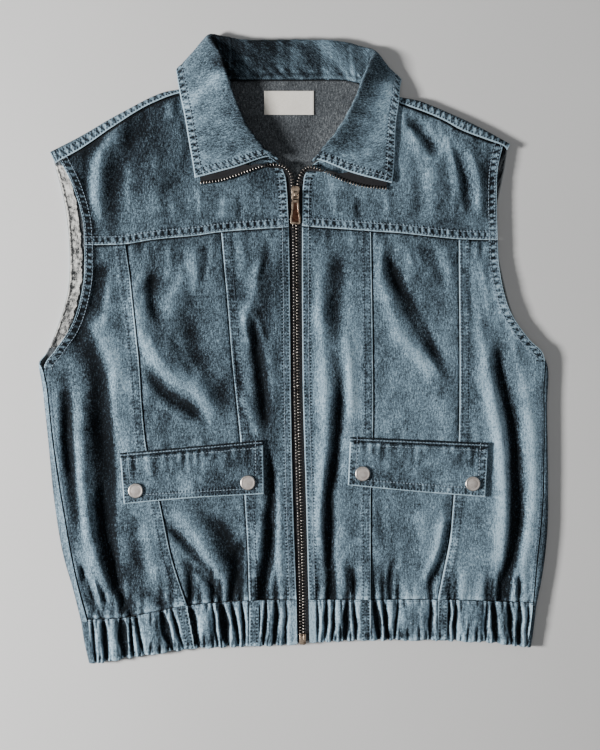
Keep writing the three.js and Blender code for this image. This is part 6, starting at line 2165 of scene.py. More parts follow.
class PocketFlaps(Maker):
    """The two flaps, each a double layer of denim over its pocket's mouth."""

    @staticmethod
    def under(x: Grid, y: Grid) -> Grid:
        """Height of a flap's underside."""
        return highest_near(x, y, 8) + FELL_RISE + LYING_GAP

    def _cloth(self, side: Side) -> Cloth:
        """Work out one flap.

        Args:
            side: The side of the vest.

        Returns:
            The flap's wall.
        """
        a, b, c, d = (np.array(corner, float) for corner in FLAP_CORNERS[side])
        us = shares_for(140, FINE_STEP)
        vs = shares_for(54, FINE_STEP)
        u, v = us[None, :, None], vs[:, None, None]
        xy = (1 - v) * ((1 - u) * a + u * b) + v * ((1 - u) * d + u * c)
        bow = 1.3 * np.sin(math.pi * us)[None, :] * (1 - vs)[:, None] ** 2
        xy[..., 1] += bow * (1.0 if side is L else -0.4)
        x, y = xy[..., 0], xy[..., 1]
        left, right = us[None, :] * 140 + 0 * x, (1 - us)[None, :] * 140 + 0 * x
        low, high = vs[:, None] * 54 + 0 * x, (1 - vs)[:, None] * 54 + 0 * x
        edge = np.minimum.reduce([left, right, low])
        rows = [(low, x, 81), (left, y, 82), (right, y, 83)]
        rung = np.zeros(x.shape)
        nearest = np.full(x.shape, 1e9)
        for distance, along, seed in rows:
            rung = np.where(distance < nearest, ladder(along, seed + len(side.value), 6.2), rung)
            nearest = np.minimum(nearest, distance)
        hem = bell(nearest, 4.2, 3.4)
        base = self.under(x, y)
        sag = 0.35 * ripple(x, y, 34, 22, 84) * smooth(0, 12, edge)
        length = 15 + 9 * ripple(x, x * 0, 12, 1, 90)
        bunched = 0.8 * ladder(x, 88, 9.0) + 0.7 * ripple(x, high, 5.4, 70, 88)
        bunched = bunched * bell(high, 0, length) * smooth(3.0, 6.5, high)
        calm = 0.15 if side is L else 0.45
        relief = 0.40 * calm * rung * hem + 0.35 * ripple(x, y, 6, 8, 85) + 0.9 * bunched
        creased = np.zeros(x.shape)
        for place in (-160.0, -139.0) if side is L else (88.0, 168.0):
            creased += bell(x, place, 2.6) * smooth(36, 16, high) * smooth(4, 7, high)
        relief -= 0.22 * bell(edge, 7.5, 0.8) + 0.9 * creased
        relief -= 0.6 * bell(high, 4.2, 1.0)
        rim = np.minimum(edge, high)
        outer_z = base + DOUBLE_CLOTH + np.maximum(sag, -0.2) + relief - edge_round(rim, 0.9)
        inner_z = base + 0.35 * edge_round(rim, 0.9)
        fade = 0.44 + 0.13 * ripple(x, y, 26, 34, 86) + 0.12 * ripple(x, y, 8, 14, 87)
        fade += 0.10 * ripple(x, y, 3.6, 7, 89) + 0.40 * bunched + (0.07 if side is R else -0.05)
        fade += hem * (0.10 * calm * rung - 0.04) + 0.12 * bell(edge, 0, 1.1)
        # Paler towards the left end; painted shade in the creases and in the groove below the sewn top, and a dark
        # line along the top edge.
        fade += 0.10 * smooth(-96, -132, x) - (0.50 if side is L else 0.20) * creased
        fade -= 0.60 * bell(high, 0.6, 1.3) + 0.60 * bell(high, 4.3, 1.2)
        fade += 0.20 * bell(high, 2.5, 0.7)
        near = np.where(high < 4, FAR, edge)
        across = edge > low - 0.01
        seams = {"near": near, "along": np.where(across, x, y), "pucker": np.full(x.shape, calm)}
        outer = np.dstack([x, y, outer_z])
        inner = np.dstack([x, y, np.minimum(inner_z, outer_z - 0.3)])
        return Cloth(f"pocket_flap_{side.value}", outer, inner, xy * MM, np.clip(fade, 0.02, 1),
                     seams)

    def build(self) -> None:
        """Make and declare both flaps."""
        for side in Side:
            self.sheets.add(self._cloth(side), rests_on=[f"front_middle_{side.value}"], front=True)


class NeckLabel(Maker):
    """A blank woven label below the collar seam."""

    X, Y, WIDTH, HEIGHT = -5.0, 248.5, 50.0, 24.0

    def build(self) -> None:
        us, vs = shares_for(self.WIDTH, 1.0), shares_for(self.HEIGHT, 1.0)
        x = np.broadcast_to(self.X + (us[None, :] - 0.5) * self.WIDTH, (len(vs), len(us))).copy()
        y = np.broadcast_to(self.Y + (vs[:, None] - 0.5) * self.HEIGHT, x.shape).copy()
        base = FALL_LIFT + CLOTH + GAP
        ends = np.minimum(us, 1 - us)[None, :] * self.WIDTH + 0 * y
        rim = np.minimum(ends, np.minimum(vs, 1 - vs)[:, None] * self.HEIGHT)
        fold = 0.18 * smooth(3.2, 2.6, ends)
        wave = 0.16 * ripple(x, y, 16, 30, 91) * smooth(0, 4, rim)
        outer_z = base + 0.55 + fold + wave - edge_round(rim, 0.4) * 0.7
        outer = np.dstack([x, y, outer_z])
        inner = np.dstack([x, y, np.full(x.shape, base)])
        cloth = Cloth("neck_label", outer, inner, np.dstack([x, y]) * MM, np.full(x.shape, 0.5))
        label = self.sheets.finishes.label
        self.sheets.add(cloth, "label", rests_on=["back_panel"], faces=(label, label))


class ArmholeFacing(Maker):
    """The pale facing that shows inside the back's left armhole."""

    START, END, ROWS = 0.585, 0.975, 150
    INSETS = (1.0, 1.3, 2.0, 3.2, 4.5, 6.0, 7.5, 9.0, 10.5, 12.0, 12.6, 13.0)

    def build(self) -> None:
        insets = np.array(self.INSETS)
        outer, inner, along = [], [], []
        for share in np.linspace(self.START, self.END, self.ROWS):
            edge = BACK_SIDE[L].at(share)
            roll = side_roll(L, edge[1], edge[0])
            lift = CLOTH + GAP + roll.place(1.0)[1]
            rim = np.minimum(insets - 1.0, 13.0 - insets)
            top = lift + 1.0 - edge_round(rim, 0.6)
            outer.append(np.stack([edge[0] + insets, edge[1] + 0 * insets, top], axis=-1))
            inner.append(np.stack([edge[0] + insets, edge[1] + 0 * insets, lift + 0 * insets], axis=-1))
            along.append(edge[1] + 0 * insets)
        outer, inner, along = np.array(outer), np.array(inner), np.array(along)
        rung = ladder(along, 95, 6.0)
        across = np.broadcast_to(insets, along.shape)
        hem = bell(across, 6.5, 3.5)
        outer[..., 2] += 0.25 * rung * hem
        outer[:, 9:, 0] += 1.2 * ripple(along, across, 2.6, 60, 97)[:, 9:]
        inner[:, 9:, 0] = outer[:, 9:, 0]
        fade = 0.52 + 0.12 * rung * hem + 0.44 * ripple(across + 0.5 * along, along, 2.0, 3.0, 96)
        fade += 0.12 * ripple(across, along, 5, 22, 98)
        fade += 0.35 * bell(across, 1.0, 0.9)
        # Painted shadow: a black line in the gap beside the armhole edge, and darker along the facing's inner edge,
        # where it lies under the back.
        fade -= (0.75 + 0.3 * ripple(along, along * 0, 6, 1, 99)) * bell(across, 3.1, 0.95)
        fade -= 0.60 * smooth(12.0, 12.8, across) - 0.14 * bell(across, 10.5, 1.5)
        fade -= 0.20 * smooth(70, 20, along) - 0.10 * smooth(110, 190, along)
        uv = np.dstack([across, along]) * MM
        cloth = Cloth("armhole_facing_left", outer, inner, uv, np.clip(fade, 0.02, 1))
        facing = self.sheets.finishes.facing
        self.sheets.add(cloth, "facing", rests_on=["back_panel"], faces=(facing, facing))


def tree_input(tree: bpy.types.NodeTree, name: str, kind: str) -> str:
    """Add a named input to a Geometry Nodes tree and give its identifier."""
    return tree.interface.new_socket(name=name, in_out="INPUT", socket_type=kind).identifier


def settle(carrier: Piece, name: str, material: bpy.types.Material) -> Piece:
    """Turn a carrier and its live modifier into one plain mesh piece.

    Args:
        carrier: The object with the Geometry Nodes modifier.
        name: Name of the new piece.
        material: Its finish.

    Returns:
        The new piece; the carrier is removed.
    """
    graph = bpy.context.evaluated_depsgraph_get()
    mesh = bpy.data.meshes.new_from_object(carrier.evaluated_get(graph), depsgraph=graph)
    carrier.modifiers.clear()
    mesh.name = name
    if not mesh.materials:
        mesh.materials.append(material)
    mesh.polygons.foreach_set("use_smooth", np.ones(len(mesh.polygons), bool))
    piece = bpy.data.objects.new(name, mesh)
    bpy.context.scene.collection.objects.link(piece)
    bpy.data.objects.remove(carrier)
    return piece


class StitchTree:
    """Geometry Nodes that lay one small part after another along paths on the cloth."""

    def __init__(self, name: str) -> None:
        """Build the tree, with its named inputs.

        Args:
            name: Its name.
        """
        self.tree = bpy.data.node_groups.new(name, "GeometryNodeTree")
        tree = self.tree
        tree.interface.new_socket(name="Geometry", in_out="INPUT", socket_type="NodeSocketGeometry")
        self.pitch = tree_input(tree, "Pitch", "NodeSocketFloat")
        self.part = tree_input(tree, "Part", "NodeSocketObject")
        self.wander = tree_input(tree, "Wander", "NodeSocketFloat")
        self.seed = tree_input(tree, "Seed", "NodeSocketInt")
        self.finish = tree_input(tree, "Finish", "NodeSocketMaterial")
        tree.interface.new_socket(name="Geometry", in_out="OUTPUT", socket_type="NodeSocketGeometry")
        self._wire()

    def _wire(self) -> None:
        """Add the nodes and link them."""
        nodes, links = self.tree.nodes, self.tree.links
        source = nodes.new("NodeGroupInput")
        result = nodes.new("NodeGroupOutput")
        curve = nodes.new("GeometryNodeMeshToCurve")
        even = nodes.new("GeometryNodeResampleCurve")
        even.mode = "LENGTH"
        tangent = nodes.new("GeometryNodeInputTangent")
        lift = nodes.new("GeometryNodeInputNamedAttribute")
        lift.data_type = "FLOAT_VECTOR"
        lift.inputs["Name"].default_value = "lift"
        along = nodes.new("FunctionNodeAlignEulerToVector")
        along.axis = "X"
        upright = nodes.new("FunctionNodeAlignEulerToVector")
        upright.axis = "Z"
        upright.pivot_axis = "X"
        drift = nodes.new("FunctionNodeRandomValue")
        drift.data_type = "FLOAT"
        turned = nodes.new("FunctionNodeRotateEuler")
        turned.space = "LOCAL"
        spin = nodes.new("ShaderNodeCombineXYZ")
        less = nodes.new("ShaderNodeMath")
        less.operation = "MULTIPLY"
        less.inputs[1].default_value = -1.0
        part = nodes.new("GeometryNodeObjectInfo")
        place = nodes.new("GeometryNodeInstanceOnPoints")
        real = nodes.new("GeometryNodeRealizeInstances")
        dress = nodes.new("GeometryNodeSetMaterial")
        links.new(source.outputs["Geometry"], curve.inputs["Mesh"])
        links.new(curve.outputs["Curve"], even.inputs["Curve"])
        links.new(source.outputs["Pitch"], even.inputs["Length"])
        links.new(tangent.outputs["Tangent"], along.inputs["Vector"])
        links.new(along.outputs["Rotation"], upright.inputs["Rotation"])
        links.new(lift.outputs["Attribute"], upright.inputs["Vector"])
        links.new(source.outputs["Wander"], drift.inputs[3])
        links.new(source.outputs["Wander"], less.inputs[0])
        links.new(less.outputs[0], drift.inputs[2])
        links.new(source.outputs["Seed"], drift.inputs["Seed"])
        links.new(drift.outputs[1], spin.inputs["Z"])
        links.new(upright.outputs["Rotation"], turned.inputs["Rotation"])
        links.new(spin.outputs["Vector"], turned.inputs["Rotate By"])
        links.new(source.outputs["Part"], part.inputs["Object"])
        links.new(even.outputs["Curve"], place.inputs["Points"])
        links.new(part.outputs["Geometry"], place.inputs["Instance"])
        links.new(turned.outputs["Rotation"], place.inputs["Rotation"])
        links.new(place.outputs["Instances"], real.inputs["Geometry"])
        links.new(real.outputs["Geometry"], dress.inputs["Geometry"])
        links.new(source.outputs["Finish"], dress.inputs["Material"])
        links.new(dress.outputs["Geometry"], result.inputs["Geometry"])

    def lay(self, name: str, paths: Sequence[tuple[Grid, Grid]], part: Piece,
            pitch: float, wander: float, seed: int, material: bpy.types.Material) -> Piece:
        """Lay parts along paths.

        Args:
            name: Name of the new piece.
            paths: Points and upward directions of each path, in metres.
            part: The small mesh that is repeated.
            pitch: Distance from one part to the next, in metres.
            wander: Largest turn out of line, in radians.
            seed: Number of the uneven pattern.
            material: The parts' finish.

        Returns:
            The new piece.
        """
        points = np.vstack([path[0] for path in paths])
        lifts = np.vstack([path[1] for path in paths])
        edges, start = [], 0
        for path, _ in paths:
            edges.extend((start + i, start + i + 1) for i in range(len(path) - 1))
            start += len(path)
        mesh = bpy.data.meshes.new(name + "_paths")
        mesh.from_pydata(points.tolist(), edges, [])
        attribute = mesh.attributes.new("lift", "FLOAT_VECTOR", "POINT")
        attribute.data.foreach_set("vector", lifts.astype(np.float32).ravel())
        carrier = bpy.data.objects.new(name + "_paths", mesh)
        bpy.context.scene.collection.objects.link(carrier)
        modifier = carrier.modifiers.new("laid", "NODES")
        modifier.node_group = self.tree
        for key, value in ((self.pitch, pitch), (self.part, part), (self.wander, wander),
                           (self.seed, seed), (self.finish, material)):
            modifier[key] = value
        return settle(carrier, name, material)


def small_mesh(name: str, build: Callable[[bmesh.types.BMesh], None]) -> Piece:
    """A small mesh that is repeated by nodes and removed afterwards.

    Args:
        name: Its name.
        build: Adds its faces to the mesh.

    Returns:
        The object that carries it.
    """
    made = bmesh.new()
    build(made)
    bmesh.ops.recalc_face_normals(made, faces=made.faces)
    mesh = bpy.data.meshes.new(name)
    made.to_mesh(mesh)
    made.free()
    part = bpy.data.objects.new(name, mesh)
    bpy.context.scene.collection.objects.link(part)
    return part


class Stitching:
    """Rows of machine stitches along the seams, laid on the finished cloth."""

    PITCH = 0.0032
    LENGTH = 0.0025
    RADIUS = 0.00034

    def __init__(self, sheets: Sheets, tree: StitchTree) -> None:
        """Keep the shared pieces, and gather the cloth that stitches lie on.

        Args:
            sheets: The shared pieces.
            tree: The nodes that repeat a part along paths.
        """
        self.sheets = sheets
        self.tree = tree
        self.part = small_mesh("stitch_part", self._stitch)
        panels = [piece for piece in sheets.fronts if piece.name.startswith("front_")]
        self.covers = {"panels": self._cover(panels), "all": self._cover(sheets.fronts)}

    @staticmethod
    def _cover(pieces: Sequence[Piece]) -> BVHTree:
        """A search tree over the faces of some pieces.

        Args:
            pieces: The pieces.

        Returns:
            The search tree.
        """
        points, faces, start = [], [], 0
        for piece in pieces:
            mesh = piece.data
            places = np.zeros(3 * len(mesh.vertices), np.float32)
            corners = np.zeros(4 * len(mesh.polygons), np.int32)
            mesh.vertices.foreach_get("co", places)
            mesh.polygons.foreach_get("vertices", corners)
            points.append(places.reshape(-1, 3))
            faces.append(corners.reshape(-1, 4) + start)
            start += len(mesh.vertices)
        return BVHTree.FromPolygons(np.vstack(points).tolist(), np.vstack(faces).tolist())

    def _stitch(self, made: bmesh.types.BMesh) -> None:
        """One stitch: a thread that rises out of the cloth and goes back in.

        Args:
            made: The mesh to add to.
        """
        rings = []
        for share in (0.0, 0.12, 0.35, 0.65, 0.88, 1.0):
            x = (share - 0.5) * self.LENGTH
            lift = 0.00022 * math.sin(math.pi * share) - 0.0001
            radius = self.RADIUS * (0.45 + 0.55 * math.sin(math.pi * min(1, max(0, share * 0.9 + 0.05))))
            ring = []
            for k in range(5):
                angle = 2 * math.pi * k / 5
                ring.append(made.verts.new((x, radius * math.cos(angle), lift + radius * math.sin(angle))))
            rings.append(ring)
        for low, high in zip(rings, rings[1:]):
            for k in range(5):
                made.faces.new((low[k], low[(k + 1) % 5], high[(k + 1) % 5], high[k]))
        made.faces.new(rings[0])
        made.faces.new(rings[-1][::-1])

    def _draped(self, line: Line, only_panels: bool) -> list[tuple[Grid, Grid]]:
        """A row's path on the cloth below it, split where it leaves the cloth or is covered.

        Args:
            line: The row in plan, in millimetres.
            only_panels: Whether the row is sewn to the panels, and hidden by what lies on them.

        Returns:
            Stretches of points and upward directions, in metres.
        """
        count = max(4, round(line.length / 1.6))
        stretches, points, lifts = [], [], []
        for x, y in line.at(np.linspace(0, 1, count)) * MM:
            above, down = Vector((x, y, 0.05)), Vector((0, 0, -1))
            place, normal, _, _ = self.covers["panels" if only_panels else "all"].ray_cast(above, down)
            if only_panels and place is not None:
                cover = self.covers["all"].ray_cast(above, down)[0]
                if cover is not None and cover.z > place.z + 0.0008:
                    place = None
            jump = bool(points) and place is not None and abs(place.z - points[-1][2]) > 0.0018
            if place is None or jump:
                if len(points) > 3:
                    stretches.append((np.array(points), np.array(lifts)))
                points, lifts = [], []
            if place is not None:
                points.append((place.x, place.y, place.z + 0.00008))
                lifts.append(tuple(normal if normal.z > 0 else -normal))
        if len(points) > 3:
            stretches.append((np.array(points), np.array(lifts)))
        return stretches

    def _rows(self) -> dict[str, list[Line]]:
        """Every row in plan, by the piece of stitching that it belongs to."""
        yoke, panels, armholes = [], [], []
        for inset in STITCH_INSETS:
            yoke += [YOKE_SEAM[side].beside(inset) for side in Side]
            panels += [LEFT_OUTER.beside(inset), LEFT_INNER.beside(-inset), RIGHT_INNER.beside(inset),
                       RIGHT_OUTER.beside(-inset)]
            for side, sign in ((L, -1.0), (R, 1.0)):
                armholes.append(SIDE_SEAM[side].part(0.66, 1.0).beside(sign * inset))
                armholes.append(YOKE_ARMHOLE[side].beside(sign * inset))
        placket = [ZIP_EDGE[L].beside(6.5), ZIP_EDGE[R].beside(-6.5)]
        placket += [NECK_AND_ZIP_EDGE[L].part(0.0, 0.3).beside(6.5),
                    NECK_AND_ZIP_EDGE[R].part(0.0, 0.3).beside(-6.5)]
        sides = [SIDE_SEAM[L].part(0.02, 0.62).beside(-2.4), SIDE_SEAM[R].part(0.02, 0.62).beside(2.4)]
        waist = [WAIST_SEAM[side].beside(-1.6) for side in Side]
        flaps = []
        for corners in FLAP_CORNERS.values():
            flaps += self._flap_rows(corners)
        return {"stitches_yoke": yoke, "stitches_panels": panels + sides, "stitches_armholes": armholes,
                "stitches_placket": placket, "stitches_waist": waist, "stitches_flaps": flaps,
                "stitches_collar": self._collar_rows()}

    @staticmethod
    def _flap_rows(corners: Sequence[Sequence[float]]) -> list[Line]:
        """Rows round three sides of a flap and along its sewn top.

        Args:
            corners: The flap's corners.

        Returns:
            The rows.
        """
        a, b, c, d = (np.array(corner, float) for corner in corners)
        centre = (a + b + c + d) / 4
        inset = [corner + (centre - corner) * np.array([7.5 / 70, 7.5 / 27]) for corner in (a, b, c, d)]
        a2, b2, c2, d2 = inset
        rows = [np.array([p + (q - p) * t for t in np.linspace(0, 1, 60)])
                for p, q in ((d2 + [0, 7], a2), (a2, b2), (b2, c2 + [0, 7]))]
        for drop in (2.2, 7.5):
            rows.append(np.array([d + (c - d) * t - [0, drop] for t in np.linspace(0.015, 0.985, 80)]))
        return [Line.through(row) for row in rows]

    @staticmethod
    def _collar_rows() -> list[Line]:
        """Rows along the collar's leaf edge and front ends."""
        table = np.array(COLLAR, float)
        shares = np.linspace(0, 1, 400)
        edge = spline(table[:, 3], shares)[:, :2]
        crest = spline(table[:, 1], shares)[:, :2]
        inward = crest - edge
        inward /= np.linalg.norm(inward, axis=1, keepdims=True)
        row = edge + 7.0 * inward
        rows = [row[10:118], row[-118:-10]]
        for end, onward in ((0, 12), (-1, -13)):
            near = np.array([table[end, 3][:2], table[end, 2][:2], table[end, 1][:2]])
            far = np.array([edge[onward], edge[onward] + (near[1] - near[0]), near[2]])
            start = near[0] + (far[0] - near[0]) * 0.55 + inward[end] * 7
            stop = near[2] + (far[0] - near[0]) * 0.55
            rows.append(np.array([start + (stop - start) * t for t in np.linspace(0, 1, 60)]))
        return [Line.through(points) for points in rows]

    def build(self) -> None:
        """Lay every row and tell the frame about it."""
        for seed, (name, rows) in enumerate(self._rows().items()):
            on_top = name in ("stitches_flaps", "stitches_collar")
            paths = [stretch for row in rows for stretch in self._draped(row, not on_top)]
            dark = name in ("stitches_waist", "stitches_panels")
            finishes = self.sheets.finishes
            piece = self.tree.lay(name, paths, self.part, self.PITCH, 0.12, seed,
                                  finishes.dark_thread if dark else finishes.thread)
            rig.ride(piece, ROOT)
            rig.slot(piece, "denim")
            LOG.info("%s: %d faces", piece.name, len(piece.data.polygons))
        bpy.data.objects.remove(self.part)


@dataclass(frozen=True)
class ChainStep:
    """A place on the open chain: where it is, its rise, the tape's width and the tape's turn."""

    at: tuple[float, float]
    over: float
    tape: float
    turned: float


OPEN_CHAIN = {
    L: (ChainStep((-1.7, 171), 0.5, 2, 0), ChainStep((-4, 178.5), 1.6, 2.4, 0),
        ChainStep((-10, 184), 3, 2, 0), ChainStep((-20, 185.5), 3.4, 2, 10),
        ChainStep((-28, 184.5), 3.6, 1.6, 60), ChainStep((-35, 182.5), 3.6, 1.6, 130),
        ChainStep((-42, 180.2), 3.6, 2.5, 180), ChainStep((-50, 177.2), 3.6, 8, 180),
        ChainStep((-72, 170), 3.6, 8, 180), ChainStep((-93, 167), 3.6, 8, 180)),
    R: (ChainStep((4.9, 171), 0.5, 2, 0), ChainStep((7.6, 177.5), 1.6, 2, 0),
        ChainStep((13, 182.5), 3, 2, 0), ChainStep((21, 182.5), 3.4, 2, 10),
        ChainStep((29, 179.5), 3.6, 1.6, 60), ChainStep((36, 176), 3.6, 1.6, 130),
        ChainStep((43, 172.5), 3.6, 2.5, 180), ChainStep((51, 169), 3.6, 8, 180),
        ChainStep((68, 164), 3.6, 8, 180), ChainStep((92, 161.5), 3.6, 8, 180)),
}


class Zip:
    """The zip: two tapes with teeth, the slider, its pull tab and the box at the foot."""

    TOOTH_PITCH = 3.0
    TOOTH_WIDTH = 2.6
    CHAIN_TOP = 9.0
    CHAIN_DEPTH = 2.6
    TAPE = 0.8
    TAPE_WIDTH = 9.0
    SLIDER_Y, SLIDER_LENGTH, SLIDER_WIDTH, SLIDER_PLATE = 157.5, 13.0, 8.8, 1.2
    BAIL_Y, BAIL_AXIS, BAIL_INNER, BAIL_WALL, BAIL_WIDTH, BAIL_TOP = 155.6, 11.8, 2.2, 1.0, 3.0, 13.1
    PULL_LENGTH, PULL_WIDTH, PULL_THICK, PULL_BAR = 30.0, 10.0, 1.4, 0.7
    PULL_EYE, PULL_EYE_WIDTH, PULL_TILT = 5.2, 4.4, 3.0
    BOX_Y, BOX_WIDTH, BOX_LENGTH, BOX_HEIGHT = -289.5, 6.4, 11.0, 3.4

    def __init__(self, sheets: Sheets, tree: StitchTree) -> None:
        """Keep the shared pieces."""
        self.sheets = sheets
        self.tree = tree

    def _places(self, side: Side) -> list[tuple[float, float, float, float, float]]:
        """Places along one half of the chain: x, y, rise, tape width and tape turn.

        Args:
            side: The side of the vest.

        Returns:
            The places.
        """
        sign = -1 if side is L else 1
        closed = self.TOOTH_WIDTH / 2 + GAP / 2
        rows = []
        y = self.BOX_Y + self.BOX_LENGTH / 2 + GAP
        while y < 150:
            rows.append((float(zip_centre(y)) + sign * closed, y, 0.0, self.TAPE_WIDTH, 0.0))
            y += 24
        rows.append((float(zip_centre(156)) + sign * closed, 156.0, 0.0, self.TAPE_WIDTH, 0.0))
        rows.append((float(zip_centre(160)) + sign * 2.7, 160.0, 0.0, self.TAPE_WIDTH - 1, 0.0))
        rows.append((float(zip_centre(165)) + sign * 2.8, 165.0, 0.0, self.TAPE_WIDTH - 1, 0.0))
        rows.append((float(zip_centre(168)) + sign * 2.8, 168.0, 0.1, 2.0, 0.0))
        rows.extend((*step.at, step.over, step.tape, step.turned) for step in OPEN_CHAIN[side])
        return rows

    def _frames(self, side: Side) -> dict[str, Grid]:
        """Close-set frames along one half of the chain.

        Args:
            side: The side of the vest.

        Returns:
            Arrays by name.
        """
        rows = np.array(self._places(side), float)
        middle = self.CHAIN_TOP - self.CHAIN_DEPTH / 2
        table = np.column_stack([rows[:, 0], rows[:, 1], middle + rows[:, 2], rows[:, 3], rows[:, 4]])
        line = Line(*table[:, :3])
        marks = np.arange(len(table)) * Line.STEPS
        even = np.linspace(0, 1, 420)
        centre = line.at(even)
        index = np.interp(even * line.length, line.lengths, np.arange(len(line.points)))
        tape, turned = (np.interp(index, marks, table[:, k]) for k in (3, 4))
        onward = np.gradient(centre, axis=0)
        onward /= np.linalg.norm(onward, axis=1, keepdims=True)
        level = np.column_stack([-onward[:, 1], onward[:, 0], np.zeros(len(onward))])
        level /= np.linalg.norm(level, axis=1, keepdims=True)
        outward = level if side is L else -level
        return {"centre": centre, "tape": tape, "turned": np.radians(turned), "outward": outward}

    def _tooth(self, sign: float) -> Callable[[bmesh.types.BMesh], None]:
        """A builder for one tooth, which reaches in from its tape to the middle.

        Args:
            sign: 1 or -1, for the half.

        Returns:
            The builder.
        """
        def build(made: bmesh.types.BMesh) -> None:
            """Two stepped blocks: the clamped leg and the rounded head.

            Args:
                made: The mesh to add to.
            """
            outline = ((-1.75, 0.42), (-0.5, 0.5), (0.4, 0.62), (1.2, 0.6), (1.55, 0.3))
            levels = ((-1.15, 0.8), (-0.7, 1.0), (0.7, 1.0), (1.15, 0.8))
            loops = []
            for z, size in levels:
                right = [(sign * y * (0.96 if size < 1 else 1.0), x * size) for y, x in outline]
                ring = [*right, *[(y, -x) for y, x in reversed(right)]]
                loops.append([made.verts.new((x * MM, y * MM, z * MM)) for y, x in ring])
            for low, high in zip(loops, loops[1:]):
                for k in range(len(low)):
                    n = (k + 1) % len(low)
                    made.faces.new((low[k], low[n], high[n], high[k]))
            made.faces.new(loops[0][::-1])
            made.faces.new(loops[-1])
        return build

    def _teeth(self, side: Side) -> None:
        """Lay the teeth of one half.

        Args:
            side: The side of the vest.
        """
        frames = self._frames(side)
        sign = -1.0 if side is L else 1.0
        part = small_mesh(f"tooth_{side.value}", self._tooth(sign))
        centre = frames["centre"] + [0, 0, 0.05]
        if side is R:
            along = np.linspace(0, 1, len(centre))
            length = Line.through(frames["centre"]).length
            offset = 0.5 * self.TOOTH_PITCH / length
            centre = np.stack([np.interp(np.clip(along + offset, 0, 1), along, column)
                               for column in centre.T], axis=-1)
        lifts = np.tile([0.0, 0.0, 1.0], (len(centre), 1))
        piece = self.tree.lay(f"zip_teeth_{side.value}", [(centre * MM, lifts)], part,
                              self.TOOTH_PITCH * MM, 0.0, 1, self.sheets.finishes.teeth)
        bpy.data.objects.remove(part)
        declare(piece, ROOT, "zip_metal", f"zip_chain_{side.value}")

    def _tape(self, side: Side) -> None:
        """Make and declare one tape with its corded edge.

        Args:
            side: The side of the vest.
        """
        frames = self._frames(side)
        cos, sin = np.cos(frames["turned"])[:, None], np.sin(frames["turned"])[:, None]
        up = np.array([0.0, 0.0, 1.0])
        across = frames["outward"] * cos + up * sin
        raised = up * cos - frames["outward"] * sin
        sink = (-0.6 + 1.1 * frames["turned"] / math.pi)[:, None]
        near = self.TOOTH_WIDTH / 2 - 1.0 + 0.8 * np.sin(frames["turned"])[:, None]
        shares = np.array([0.0, 0.04, 0.1, 0.22, 0.35, 0.5, 0.65, 0.8, 0.92, 1.0])
        cord = 0.45 * bell(shares, 0, 0.07)
        outer, inner = [], []
        for share, bead in zip(shares, cord):
            out = near + share * (frames["tape"][:, None] + 1.3)
            mid = frames["centre"] + across * out + raised * sink
            outer.append(mid + raised * (self.TAPE / 2 + bead * 0.3))
            inner.append(mid - raised * (self.TAPE / 2))
        outer, inner = np.stack(outer, axis=1), np.stack(inner, axis=1)
        run = np.linspace(0, Line.through(frames["centre"]).length, len(outer))[:, None]
        uv = np.dstack([np.broadcast_to(shares * 9.0, outer.shape[:2]),
                        np.broadcast_to(run, outer.shape[:2])]) * MM
        cloth = Cloth(f"zip_tape_{side.value}", outer, inner, uv, np.full(outer.shape[:2], 0.5))
        tape = self.sheets.finishes.tape
        self.sheets.add(cloth, "zip_tape", rests_on=[f"front_centre_{side.value}"], faces=(tape, tape))

    def _solid(self, name: str, build: Callable[[bmesh.types.BMesh], None], materials: Sequence,
               bevel: float, segments: int = 2) -> Piece:
        """A hard piece with softened edges.

        Args:
            name: The piece's name.
            build: Adds its faces to the mesh.
            materials: Its materials.
            bevel: Width of the softened edges, in millimetres.
            segments: Steps of each softened edge.

        Returns:
            The piece.
        """
        made = bmesh.new()
        build(made)
        bmesh.ops.remove_doubles(made, verts=made.verts, dist=1e-7)
        bmesh.ops.recalc_face_normals(made, faces=made.faces)
        mesh = bpy.data.meshes.new(name)
        made.to_mesh(mesh)
        made.free()
        for material in materials:
            mesh.materials.append(material)
        mesh.polygons.foreach_set("use_smooth", np.ones(len(mesh.polygons), bool))
        mesh.set_sharp_from_angle(angle=math.radians(40))
        piece = bpy.data.objects.new(name, mesh)
        bpy.context.scene.collection.objects.link(piece)
        modifier = piece.modifiers.new("softened", "BEVEL")
        modifier.width = bevel * MM
        modifier.segments = segments
        modifier.limit_method = "ANGLE"
        modifier.angle_limit = math.radians(35)
        return piece

    @staticmethod
    def _prism(made: bmesh.types.BMesh, outline: Sequence[Sequence[float]], low: float, high: float,
               slot: int = 0) -> None:
        """Add an upright prism over an outline, in millimetres.

        Args:
            made: The mesh to add to.
            outline: Places round it, as x and y.
            low: Height of its foot.
            high: Height of its top.
            slot: Number of its material.
        """
        rings = [[made.verts.new((x * MM, y * MM, z * MM)) for x, y in outline] for z in (low, high)]
        faces = [made.faces.new(rings[0][::-1]), made.faces.new(rings[1])]
        for k in range(len(outline)):
            n = (k + 1) % len(outline)
            faces.append(made.faces.new((rings[0][k], rings[0][n], rings[1][n], rings[1][k])))
        for face in faces:
            face.material_index = slot

